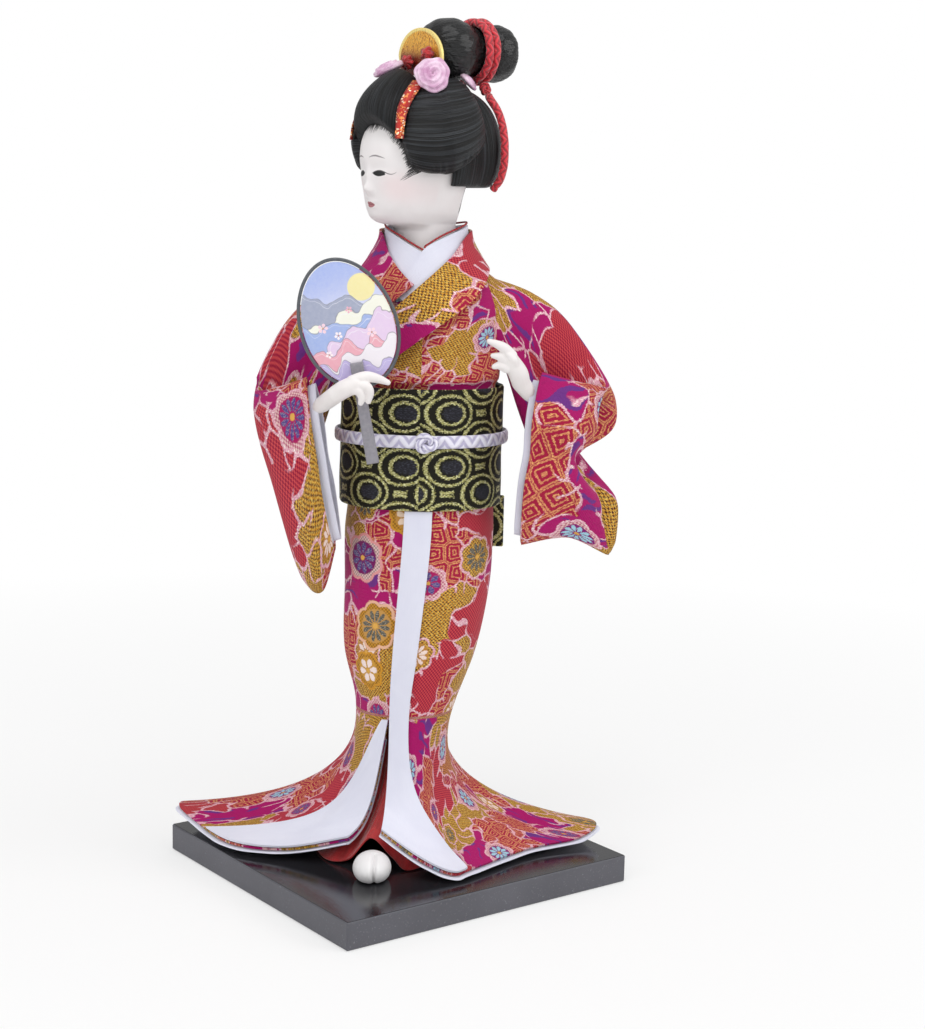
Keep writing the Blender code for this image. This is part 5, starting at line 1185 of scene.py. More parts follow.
rows = []
for i in range(61):
    z = between(OBI_TOP, OBI_BOTTOM, i / 60)
    rounding = 0.35 * MM * (1 - math.sqrt(max(0.0, 1 - max(0.0, abs(2 * i / 60 - 1) - 0.95) ** 2 / 0.0025)))
    rows.append([body_point(-math.tau * k / 240, z, obi_out - 0.15 * MM - rounding + obi_wave(math.tau * k / 240, z))
                 for k in range(240)])
obi_sash = cloth_piece("obi_sash_wrap", rows, lambda r, c: (-c * 0.165, (OBI_TOP - r * (OBI_TOP - OBI_BOTTOM))),
                       black_gold_silk, OBI_THICKNESS - 0.2 * MM, True)
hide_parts("obi_sash")


def soft_block(name, node, finish, places, round_by, levels=3, puff=0.0):
    """A soft-edged block in the box of a CAD node that stands square in the figure's frame."""
    corners = [figure_frame.inverted() @ vertex.co for vertex in nodes[node].data.vertices]
    low = Vector([min(corner[k] for corner in corners) for k in range(3)])
    high = Vector([max(corner[k] for corner in corners) for k in range(3)])
    bpy.ops.object.select_all(action="DESELECT")
    bpy.ops.mesh.primitive_cube_add(size=1.0)
    made = tidy_name(bpy.context.object, name)
    made.data.transform(Matrix.Translation((low + high) / 2) @ Matrix.Diagonal((*(high - low), 1.0)))
    edge = made.modifiers.new("rounded edges", "BEVEL")
    edge.width = round_by
    edge.segments = 6
    apply_modifiers(made)
    bpy.ops.object.select_all(action="DESELECT")
    made.select_set(True)
    bpy.context.view_layer.objects.active = made
    bpy.ops.object.mode_set(mode="EDIT")
    bpy.ops.mesh.select_all(action="SELECT")
    bpy.ops.mesh.subdivide(number_cuts=levels)
    bpy.ops.object.mode_set(mode="OBJECT")
    layer = made.data.uv_layers.new(name="cloth") if "cloth" not in made.data.uv_layers else None
    layer = made.data.uv_layers["cloth"]
    for loop in made.data.loops:
        point = made.data.vertices[loop.vertex_index].co
        layer.data[loop.index].uv = places(point)
    made.data.transform(figure_frame)
    settle(made, finish, 0)
    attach(made, "root")
    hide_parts(node)
    return made


obi_drum = soft_block("obi_drum_bow", "obi_drum", black_gold_silk, lambda p: (-p.x - 0.3, p.z + p.y), 4.2 * MM, 7)
obi_tail = soft_block("obi_tail_end", "obi_tail", black_gold_silk, lambda p: (-p.x - 0.3, p.z + p.y), 0.6 * MM, 7)


# Obi cord
# A white braided silk cord, flat and about 5 mm wide, holds the sash. It is tied at the front in a round
# knot that lies a little to the viewer's left of the middle.
OBI_CORD_HEIGHT = 165.5 * MM
OBI_CORD_WIDTH = 4.6 * MM
OBI_CORD_THICKNESS = 1.8 * MM
white_braid, tree, shader = new_finish("white_braided_silk", 0.5)
place = add(tree, "UVMap", uv_map="cloth").outputs[0]
strands = use_effect(tree, braid, {"Vector": place, "Round": 3.0, "Along": 330.0})
fuzz = add(tree, "TexNoise", {"Vector": add(tree, "TexCoord").outputs["Object"], "Scale": 2400.0}).outputs[0]
white = colour_mix(tree, strands["Shade"], srgb(176, 170, 200), srgb(236, 234, 246))
tree.links.new(colour_mix(tree, sum_of(tree, "MULTIPLY", fuzz, 0.3), white, srgb(210, 206, 228)),
               shader.inputs["Base Color"])
height = sum_of(tree, "ADD", strands["Height"], sum_of(tree, "MULTIPLY", fuzz, 0.3))
tree.links.new(add(tree, "Bump", {"Height": height, "Strength": 0.8, "Distance": 0.0004}).outputs[0],
               shader.inputs["Normal"])
shader.inputs["Sheen Weight"].default_value = 0.2

cord_in = obi_out + GAP
rows = []
for k in range(240):
    angle = -math.tau * k / 240
    ring = []
    for s in range(28):
        turn = math.tau * s / 28
        tall = OBI_CORD_WIDTH / 2 * math.cos(turn)
        groove = 0.14 * MM * math.exp(-(tall / (0.35 * MM)) ** 2)
        deep = OBI_CORD_THICKNESS / 2 * abs(math.sin(turn)) ** 0.8 * math.copysign(1, math.sin(turn))
        out = cord_in + OBI_CORD_THICKNESS / 2 + deep - (groove if deep > 0 else 0)
        ring.append(world_point(body_point(angle, OBI_CORD_HEIGHT + tall, out)))
    rows.append(ring)
rows.append(list(rows[0]))
obi_cord = grid_mesh("white_obi_cord", rows, lambda r, c: (c, r * 0.165), True)
join_edges(obi_cord)
settle(obi_cord, white_braid)
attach(obi_cord, "root")
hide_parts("obi_cord")

low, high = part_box("obi_cord_knot")
knot_middle = figure_frame.inverted() @ ((Vector(low) + Vector(high)) / 2)
route = []
for i in range(181):
    turn = math.tau * i / 180
    route.append(world_point(knot_middle + Vector((
        (2.05 + 0.85 * math.cos(3 * turn)) * math.cos(2 * turn) * 1.22 * MM,
        0.72 * MM * math.sin(3 * turn),
        (2.05 + 0.85 * math.cos(3 * turn)) * math.sin(2 * turn) * 1.02 * MM))))
knot = tube_mesh("white_cord_knot", route, [0.98 * MM] * len(route), 20)
settle(knot, white_braid)
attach(knot, "root")
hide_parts("obi_cord_knot")


# Kimono sleeves
# Each sleeve is a square brocade bag that hangs from the raised arm. Its upper half rolls over the
# forearm in one fold, and its corner hangs free below; a white inner sleeve shows along the wrist.
# Sections from the shoulder to the wrist, in mm: top, bottom, half thickness, shift at mid height, pinch
SLEEVE_RIGHT = [
    ((33.2, 1, 222.5), (37.4, 1, 190), (0, 8.5, 0), (0, 0, 0), 0.0),
    ((47, 1, 217.5), (46, 3, 166), (1, 8.0, 0), (0, 0, 0), 0.2),
    ((60, 0, 207.5), (58, 5, 141), (2, 7.0, 0), (-3, 0, 0), 0.5),
    ((74, -6, 186), (78, 1, 122.6), (5, 4.2, 0), (-15, 0, 0), 0.7),
    ((66, -16, 186), (62, -8, 130), (-1, 7.0, 0), (-3, -2, 0), 0.6),
    ((50, -22, 190), (44.5, -14, 128), (2, 7.0, 0), (0, -2, 0), 0.5),
]
SLEEVE_LEFT = [
    ((-17.6, 1, 222.5), (-22.2, 1, 190), (0, -8.5, 0), (0, 0, 0), 0.0),
    ((-31, 0, 216), (-30, 1, 165), (-1, -7.5, 0), (0, 0, 0), 0.2),
    ((-43, -3, 203), (-37, -2, 138), (-2, -6.5, 0), (0, 0, 0), 0.3),
    ((-51.5, -12, 183), (-33.5, -10, 112), (-4, -4, 0), (-1.5, 0, 0), 0.35),
    ((-43, -24, 184), (-27, -16, 109), (-1, -7, 0), (0, -2, 0), 0.35),
    ((-32.5, -29, 188), (-22.5, -19, 125), (-1, -7, 0), (0, -2, 0), 0.3),
]


INNER_SLEEVE_INSET = 3.2 * MM
INNER_SLEEVE_SHOWING = 3.0 * MM
SHOULDER_ROWS = 12


def sleeve_ring(sections, t, count, inset=0.0, narrower=1.0):
    """A ring of a hanging sleeve: t is 0 at the shoulder and 1 at the wrist."""
    top, bottom, thick, shift = (curve_through([s[k] for s in sections], t) * MM for k in range(4))
    pinch = curve_through([(s[4], 0, 0) for s in sections], t).x
    if inset:
        down = (bottom - top).normalized() * inset
        top, bottom, thick = top + down, bottom - down, thick * narrower
        pinch = 1.0 - (1.0 - pinch) * 0.85
    ring = []
    for k in range(count):
        turn = math.tau * k / count
        along = 0.5 - 0.5 * math.cos(turn)
        waist = math.exp(-((along - 0.46) / 0.13) ** 2)
        taper = 1.0 - 0.45 * pinch * ease((along - 0.5) / 0.5)
        width = math.sin(turn) * (1.0 - pinch * waist) * taper
        ring.append(between(top, bottom, along) + thick * width + shift * waist)
    return ring


def sleeve_creases(sections, grid, strength):
    """Soft creases that run down from the elbow and across the fold."""
    rows, cols = len(grid), len(grid[0])
    facing = grid_normals(grid, True)
    result = []
    for r in range(rows):
        t = r / (rows - 1)
        line = []
        for c in range(cols):
            turn = math.tau * c / cols
            along = 0.5 - 0.5 * math.cos(turn)
            fan = math.sin(9.0 * (t - 0.5) * (0.6 + along) + 5.0 * along + (0.8 if turn > math.pi else 0.0))
            fine = math.sin(23.0 * t + 9.0 * along + 2.0 * math.sin(7.0 * t))
            free = ease(t / 0.15) * ease((1 - t) / 0.08) * ease(along / 0.12) * ease((1 - along) / 0.06)
            line.append(grid[r][c] + facing[r][c] * strength * free * (0.75 * fan + 0.25 * fine))
        result.append(line)
    return result


for side, sections, offset in (
    ("right", SLEEVE_RIGHT, (31.0, 58.0, 0.0)),
    ("left", SLEEVE_LEFT, (83.0, 11.0, 0.0)),
):
    grid = [sleeve_ring(sections, r / 110, 160) for r in range(111)]
    inward = -1 if side == "right" else 1
    shoulder = []
    for r in range(SHOULDER_ROWS):
        reach = 1 - r / SHOULDER_ROWS
        shoulder.append([point + Vector((inward * 10.0, 0.0, 5.0 + 3.0 * (1 - reach))) * MM * reach
                         * (0.5 + 0.5 * math.cos(math.tau * k / 160)) ** 0.7 for k, point in enumerate(grid[0])])
    grid = shoulder + grid
    if side == "right":
        grid = [list(reversed(ring)) for ring in grid]
    grid = sleeve_creases(sections, grid, 0.8 * MM)
    cut = brocade_finish("sleeve_brocade_" + side, offset, 0.5 if side == "right" else -0.25)
    sleeve = cloth_piece("brocade_sleeve_" + side, grid, lambda r, c: (r * 0.075, 0.15 - c * 0.12), cut, CLOTH, True)
    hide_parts("kimono_sleeve_" + side)

    grid = [sleeve_ring(sections, between(9 / 11, 1.0, r / 45), 140, INNER_SLEEVE_INSET, 0.66) for r in range(46)]
    before = sleeve_ring(sections, 10 / 11, 140, INNER_SLEEVE_INSET, 0.66)[0]
    past = (grid[-1][0] - before).normalized() * INNER_SLEEVE_SHOWING
    wrist = grid[-1]
    grid += [[point + past * (r / 15) for point in wrist] for r in range(1, 16)]
    if side == "right":
        grid = [list(reversed(ring)) for ring in grid]
    inner = cloth_piece("white_inner_sleeve_" + side, grid, lambda r, c: (r * 0.025, c * 0.12), white_cotton,
                        0.6 * MM, True)
    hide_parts("inner_sleeve_" + side)


# Head
# The head is moulded with its neck in one piece and coated matt white. Brows, lids, black eyes, small dull
# red lips and the fine hair strokes round the face are painted by brush; the cheeks have a breath of pink.
HEAD_SECTIONS = [
    (-42, -9.3, 12.1, 10.7), (-27, -9.3, 12.1, 10.7), (-25.2, -12.0, 12.1, 10.7), (-24.3, -17.6, 12.1, 10.8),
    (-22.8, -20.8, 12.2, 11.6), (-20.5, -22.2, 12.4, 13.0), (-18, -22.9, 12.6, 14.1), (-13.5, -23.4, 13.2, 15.7),
    (-8, -24.2, 15.5, 16.9), (-1, -24.7, 20.0, 17.6), (6, -23.4, 22.0, 17.2), (13, -19.2, 18.4, 14.6),
    (18, -12.6, 13.4, 11.0), (21.5, -6, 7.5, 6.2), (23.2, -2, 3, 2.4),
]
HEAD_BOTTOM = -41.0
HEAD_TOP = 23.2


def bell(value, middle, width):
    """1 at the middle, falling smoothly to 0 on both sides."""
    return math.exp(-((value - middle) / width) ** 2)


def head_point(turn, z):
    """A point of the head at a turn round it and a height in mm, in the head's frame."""
    front, back, half_width = (value / MM for value in table_at(HEAD_SECTIONS, z * MM))
    side, ahead = math.sin(turn), math.cos(turn)
    x = half_width * math.copysign(abs(side) ** 0.92, side)
    y = (front if ahead > 0 else back) * abs(ahead) ** 0.92
    if ahead > 0:
        tip = 2.5 * bell(z, -12.4, 2.1) * bell(x, 0, 1.7)
        bridge = 1.0 * bell(z, -8.0, 3.4) * bell(x, 0, 1.5)
        wings = 0.7 * bell(z, -13.2, 1.1) * (bell(x, 1.5, 0.8) + bell(x, -1.5, 0.8))
        upper_lip = 0.75 * bell(z, -17.0, 0.9) * bell(x, 0, 2.2)
        lower_lip = 0.7 * bell(z, -18.6, 0.8) * bell(x, 0, 1.8)
        mouth = -0.35 * bell(z, -17.8, 0.35) * bell(x, 0, 2.0)
        groove = -0.25 * bell(z, -15.2, 0.9) * bell(x, 0, 0.6)
        chin = 0.6 * bell(z, -21.8, 1.8) * bell(x, 0, 3.5)
        sockets = -0.7 * bell(z, -5.4, 2.4) * (bell(x, 5.4, 3.4) + bell(x, -5.4, 3.4))
        lids = 0.45 * bell(z, -7.2, 1.3) * (bell(x, 5.4, 2.8) + bell(x, -5.4, 2.8))
        y -= tip + bridge + wings + upper_lip + lower_lip + mouth + groove + chin + sockets + lids
    return Vector((x, y, z)) * MM


def place_in_mm(tree, frame_matrix):
    """A point's place in a frame, in millimetres."""
    back = frame_matrix.inverted()
    return add(tree, "Mapping", {"Vector": add(tree, "TexCoord").outputs["Object"], "Scale": (1000, 1000, 1000),
                                 "Rotation": back.to_euler(), "Location": back.translation * 1000}).outputs[0]


def drawn_curve(tree, value, points, low, high):
    """The height, between low and high, of a smooth curve drawn through pairs of numbers."""
    start, end = points[0][0], points[-1][0]
    share = sum_of(tree, "DIVIDE", sum_of(tree, "SUBTRACT", value, start), end - start, clamp=True)
    made = add(tree, "FloatCurve", {"Value": share})
    line = made.mapping.curves[0]
    for index, (x, y) in enumerate(points):
        spot = ((x - start) / (end - start), (y - low) / (high - low))
        if index in (0, len(points) - 1):
            line.points[0 if index == 0 else -1].location = spot
        else:
            line.points.new(*spot)
    made.mapping.update()
    return sum_of(tree, "MULTIPLY_ADD", made.outputs[0], high - low, low)


def band(tree, value, low, high, soft):
    """1 between two numbers and 0 outside, with soft edges."""
    rise = step_at(tree, sum_of(tree, "SUBTRACT", value, low), -soft, soft)
    fall = step_at(tree, sum_of(tree, "SUBTRACT", high, value), -soft, soft)
    return sum_of(tree, "MULTIPLY", rise, fall)


def face_paint_effect():
    """Masks of the brush work on the face, from a place in the head's frame in millimetres."""
    tree, given, result = new_effect(
        "face_paint", (("Vector", "Vector"),),
        (("Brow", "Float"), ("Lid", "Float"), ("Eye", "Float"), ("Lips", "Float"), ("Mouth", "Float"),
         ("Blush", "Float"), ("Strokes", "Float")))
    x, y, z = add(tree, "SeparateXYZ", {0: given["Vector"]}).outputs
    ahead = step_at(tree, y, -4.0, -6.0)
    side = sum_of(tree, "ABSOLUTE", x)

    brow_side = sum_of(tree, "ABSOLUTE", sum_of(tree, "ADD", x, 1.0))
    brow = drawn_curve(tree, brow_side, [(1.6, -1.62), (4.6, -0.98), (6.6, -1.3), (8.8, -2.0)], -3.0, 0.0)
    brow_width = drawn_curve(tree, brow_side, [(1.6, 0.0), (2.6, 0.14), (5.5, 0.26), (8.8, 0.0)], 0.0, 1.0)
    off_brow = sum_of(tree, "ABSOLUTE", sum_of(tree, "SUBTRACT", z, brow))
    line = step_at(tree, sum_of(tree, "SUBTRACT", brow_width, off_brow), -0.14, 0.10)
    line = sum_of(tree, "MULTIPLY", line, band(tree, brow_side, 1.8, 8.7, 0.2))
    tree.links.new(sum_of(tree, "MULTIPLY", line, ahead), result["Brow"])

    upper = drawn_curve(tree, side, [(2.1, -7.05), (3.3, -6.45), (5.2, -6.15), (7.0, -6.6), (8.7, -7.3),
                                     (9.6, -7.3), (10.8, -6.4)], -10.0, -4.0)
    lower = drawn_curve(tree, side, [(2.3, -7.1), (3.6, -7.8), (5.2, -8.1), (6.8, -7.8), (8.2, -7.3)], -10.0, -4.0)
    lid_width = drawn_curve(tree, side, [(2.1, 0.05), (4.5, 0.2), (7.5, 0.17), (10.8, 0.02)], 0.0, 1.0)
    off_lid = sum_of(tree, "ABSOLUTE", sum_of(tree, "SUBTRACT", z, upper))
    lid = step_at(tree, sum_of(tree, "SUBTRACT", lid_width, off_lid), -0.12, 0.08)
    lid = sum_of(tree, "MULTIPLY", lid, band(tree, side, 2.1, 10.7, 0.15))
    tree.links.new(sum_of(tree, "MULTIPLY", lid, ahead), result["Lid"])
    iris = sum_of(tree, "MULTIPLY", band(tree, z, lower, upper, 0.12), band(tree, side, 2.5, 7.4, 0.2))
    tree.links.new(sum_of(tree, "MULTIPLY", iris, ahead), result["Eye"])

    level = sum_of(tree, "MULTIPLY_ADD", x, 0.12, sum_of(tree, "ADD", z, 17.75))
    reach = sum_of(tree, "DIVIDE", sum_of(tree, "SUBTRACT", x, 0.1), 2.05)
    bow = sum_of(tree, "SUBTRACT", 1.0, sum_of(tree, "MULTIPLY", reach, reach), clamp=True)
    dip = sum_of(tree, "MULTIPLY", step_at(tree, side, 0.6, 0.1), 0.18)
    top = sum_of(tree, "SUBTRACT", sum_of(tree, "MULTIPLY", bow, 0.95), dip)
    bottom = sum_of(tree, "MULTIPLY", sum_of(tree, "POWER", bow, 0.7), -1.15)
    lips = sum_of(tree, "MULTIPLY", band(tree, level, bottom, top, 0.14), step_at(tree, bow, 0.02, 0.12))
    tree.links.new(sum_of(tree, "MULTIPLY", lips, ahead), result["Lips"])
    parting = sum_of(tree, "MULTIPLY", band(tree, level, -0.16, 0.02, 0.1), step_at(tree, bow, 0.1, 0.4))
    tree.links.new(sum_of(tree, "MULTIPLY", parting, ahead), result["Mouth"])
    cheek = add(tree, "VectorMath", {0: add(tree, "CombineXYZ", {0: side, 2: z}).outputs[0], 1: (10.5, 0.0, -12.0)},
                operation="DISTANCE").outputs["Value"]
    tree.links.new(sum_of(tree, "MULTIPLY", step_at(tree, cheek, 8.0, 1.0), ahead), result["Blush"])

    flat_x = sum_of(tree, "DIVIDE", side, 19.0)
    flat_y = sum_of(tree, "DIVIDE", y, -24.2)
    azimuth = sum_of(tree, "MULTIPLY", sum_of(tree, "ARCTAN2", flat_x, flat_y), 180 / math.pi)
    level_out = sum_of(tree, "SQRT", sum_of(tree, "ADD", sum_of(tree, "MULTIPLY", flat_x, flat_x),
                                            sum_of(tree, "MULTIPLY", flat_y, flat_y)))
    elevation = sum_of(tree, "ARCTAN2", sum_of(tree, "DIVIDE", z, 24.6), level_out)
    above = sum_of(tree, "MULTIPLY_ADD", elevation, 180 / math.pi, 40.0)
    swing = sum_of(tree, "MULTIPLY", sum_of(tree, "ARCTAN2", azimuth, above), 180 / math.pi)
    far = sum_of(tree, "SQRT", sum_of(tree, "ADD", sum_of(tree, "MULTIPLY", azimuth, azimuth),
                                      sum_of(tree, "MULTIPLY", above, above)))
    edge = drawn_curve(tree, swing, [(0, 64.2), (6, 64.0), (18, 64.4), (31, 62.0), (41, 60.6), (50, 57.4), (61, 56.4),
                                     (65, 58.0), (68, 72.0), (80, 120.0)], 40.0, 120.0)
    depth = drawn_curve(tree, swing, [(0, 5.0), (4, 8.0), (9, 4.5), (30, 5.0), (55, 4.5), (60, 6.0), (62, 15.0),
                                      (65, 16.0), (67, 3.0), (80, 1.0)], 0.0, 20.0)
    jitter = add(tree, "CombineXYZ", {0: sum_of(tree, "MULTIPLY", swing, 1.5), 1: sum_of(tree, "MULTIPLY", far, 0.02)})
    hairs = add(tree, "TexNoise", {"Vector": jitter.outputs[0], "Scale": 1.0, "Detail": 1.0},
                noise_dimensions="2D").outputs[0]
    below = sum_of(tree, "DIVIDE", sum_of(tree, "SUBTRACT", edge, far), depth)
    limit = sum_of(tree, "MULTIPLY_ADD", below, 0.30, 0.34)
    brushed = step_at(tree, sum_of(tree, "SUBTRACT", hairs, limit), -0.02, 0.03)
    brushed = sum_of(tree, "MULTIPLY", brushed, step_at(tree, below, 1.0, 0.9))
    covered = step_at(tree, below, 0.02, -0.02)
    black = sum_of(tree, "MULTIPLY", sum_of(tree, "MAXIMUM", brushed, covered), step_at(tree, z, -21.0, -19.0))
    tree.links.new(black, result["Strokes"])
    return tree


matt_white_face, tree, shader = new_finish("matt_white_face", 0.5)
place = place_in_mm(tree, head_frame)
paint = use_effect(tree, face_paint_effect(), {"Vector": place})
grain = add(tree, "TexNoise", {"Vector": place, "Scale": 3.0, "Detail": 3.0}).outputs[0]
wash = add(tree, "TexNoise", {"Vector": place, "Scale": 0.12, "Detail": 2.0}).outputs[0]
colour = colour_mix(tree, wash, srgb(228, 222, 222), srgb(240, 237, 237))
colour = colour_mix(tree, sum_of(tree, "MULTIPLY", paint["Blush"], 0.4), colour, srgb(236, 206, 208))
for mask, share, tint in (
    ("Brow", 0.75, srgb(86, 74, 80)),
    ("Strokes", 0.96, srgb(24, 22, 24)),
    ("Eye", 1.0, srgb(14, 13, 14)),
    ("Lid", 0.85, srgb(44, 38, 42)),
    ("Lips", 0.9, srgb(164, 84, 92)),
    ("Mouth", 0.8, srgb(112, 44, 56)),
):
    colour = colour_mix(tree, sum_of(tree, "MULTIPLY", paint[mask], share), colour, tint)
tree.links.new(colour, shader.inputs["Base Color"])
tree.links.new(sum_of(tree, "MULTIPLY_ADD", grain, 0.2, 0.42), shader.inputs["Roughness"])
tree.links.new(add(tree, "Bump", {"Height": grain, "Strength": 0.05, "Distance": 0.0002}).outputs[0],
               shader.inputs["Normal"])

heights = [between(HEAD_TOP, HEAD_BOTTOM, i / 240) for i in range(241)]
rows = [[head_frame @ head_point(-math.tau * k / 220, z) for k in range(220)] for z in heights]
head = grid_mesh("painted_head", rows, lambda r, c: (c * 0.1, r * 0.064), True, True)
turn_outwards(head)
settle(head, matt_white_face, 60)
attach(head, "root")
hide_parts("head")


# Hair
# The hair is black silk combed over pads: a forelock over the brow, a wing over each ear, a roll at the nape
# and a bun with a second roll behind it. The wings' lower edges and the buns are stiffened with lacquer.
SKULL = Vector((19.0, 24.2, 24.6)) * MM
HAIR_THICKNESS = 4.4 * MM
HAIR_EDGE = 1.6 * MM
HAIR_TOP = 84.0
WING_EDGE = 2.6 * MM
HAIR_LOBES = {
    "hair_forelock": (-39.0, 39.0, lambda a: 24.0 - 0.0105 * a * a, HAIR_THICKNESS + 1.9 * MM, 0.30),
    "hair_wing_left": (40.2, 118.0, lambda a: 0.0086 * (abs(a) - 62.0) ** 2 - 16.0, HAIR_THICKNESS + 1.9 * MM, 0.45),
    "hair_wing_right": (-118.0, -40.2, lambda a: 0.0086 * (abs(a) - 62.0) ** 2 - 16.0,
                        HAIR_THICKNESS + 1.9 * MM, 0.45),
    "hair_nape": (88.0, 272.0, lambda a: -26.0, HAIR_THICKNESS + 0.2 * MM, 0.5),
}


def hair_point(azimuth, elevation, out):
    """A point on or outside the skull. Azimuth 0 is the face, positive to the doll's left."""
    a, e = math.radians(azimuth), math.radians(elevation)
    size = SKULL + Vector((out, out, out))
    return Vector((size.x * math.cos(e) * math.sin(a), -size.y * math.cos(e) * math.cos(a), size.z * math.sin(e)))


def lobe_out(name, azimuth, elevation):
    """How far a lock stands off the skull in a direction."""
    left, right, low, swell, rise = HAIR_LOBES[name]
    u = min(max((azimuth - left) / (right - left), 0.0), 1.0)
    t = min(max((HAIR_TOP - elevation) / (HAIR_TOP - low(azimuth)), 0.0), 1.0)
    puff = (1 - abs(2 * u - 1) ** 2.6) ** 0.55 * (1 - abs(2 * t - 1) ** 3.4) ** 0.55
    out = HAIR_EDGE + swell * puff * ease(t / rise)
    if name == "hair_nape":
        out = between(WING_EDGE - 2 * GAP, out, ease((59.5 - abs(azimuth - 180.0)) / 12.0))
    if "wing" in name:
        out += (WING_EDGE - GAP) * ease((abs(azimuth) - 70.0) / 8.0) * 0.45
    return out


def hair_out(azimuth, elevation):
    """The hair's height above the skull in any direction."""
    outs = [0.0]
    for name, lobe in HAIR_LOBES.items():
        for turn in (azimuth, azimuth + 360):
            if lobe[0] - 2 <= turn <= lobe[1] + 2 and elevation > lobe[2](turn) - 2:
                outs.append(lobe_out(name, turn, elevation))
    return max(outs)


def hair_strands_effect():
    """Combed strands on a map in metres whose X runs along them: their height, sheen and lumps."""
    tree, given, result = new_effect(
        "combed_strands", (("Vector", "Vector"),), (("Height", "Float"), ("Sheen", "Float"), ("Lumps", "Float")))
    parts = []
    for along, across, detail in ((34.0, 5200.0, 2.0), (22.0, 1500.0, 2.0), (14.0, 420.0, 1.0)):
        spot = add(tree, "Mapping", {"Vector": given["Vector"], "Scale": (along, across, 1.0)}).outputs[0]
        parts.append(add(tree, "TexNoise", {"Vector": spot, "Scale": 1.0, "Detail": detail, "Distortion": 0.15},
                         noise_dimensions="2D").outputs[0])
    locks = sum_of(tree, "MULTIPLY", parts[2], 0.25)
    height = sum_of(tree, "MULTIPLY_ADD", parts[0], 0.7, sum_of(tree, "MULTIPLY_ADD", parts[1], 0.45, locks))
    tree.links.new(height, result["Height"])
    tree.links.new(step_at(tree, sum_of(tree, "MULTIPLY_ADD", parts[0], 0.6, parts[1]), 0.72, 1.04), result["Sheen"])
    lumps = add(tree, "TexNoise", {"Vector": given["Vector"], "Scale": 520.0, "Detail": 3.0, "Distortion": 1.0},
                noise_dimensions="2D").outputs[0]
    tree.links.new(lumps, result["Lumps"])
    return tree


combed_strands = hair_strands_effect()


def hair_finish(name, stiff_from, stiff_to):
    """Combed black silk, lacquered where its map's second place lies between two places."""
    made, tree, shader = new_finish(name, 0.4)
    place = add(tree, "UVMap", uv_map="cloth").outputs[0]
    strands = use_effect(tree, combed_strands, {"Vector": place})
    across = add(tree, "SeparateXYZ", {0: place}).outputs[1]
    stiff = step_at(tree, across, stiff_from, stiff_to)
    black = colour_mix(tree, strands["Sheen"], srgb(4, 4, 5), srgb(44, 47, 51))
    shader.inputs["Specular IOR Level"].default_value = 0.3
    black = colour_mix(tree, sum_of(tree, "MULTIPLY", stiff, 0.8), black, srgb(4, 4, 5))
    tree.links.new(black, shader.inputs["Base Color"])
    rough = sum_of(tree, "MULTIPLY_ADD", strands["Sheen"], -0.1, 0.46)
    tree.links.new(add(tree, "Mix", {0: stiff, 2: rough, 3: 0.24}, data_type="FLOAT").outputs[0],
                   shader.inputs["Roughness"])
    tree.links.new(sum_of(tree, "MULTIPLY", stiff, 0.3), shader.inputs["Coat Weight"])
    lumps = sum_of(tree, "MULTIPLY", sum_of(tree, "MULTIPLY", strands["Lumps"], stiff), 3.2)
    height = sum_of(tree, "ADD", strands["Height"], lumps)
    tree.links.new(add(tree, "Bump", {"Height": height, "Strength": 0.7, "Distance": 0.0005}).outputs[0],
                   shader.inputs["Normal"])
    return made


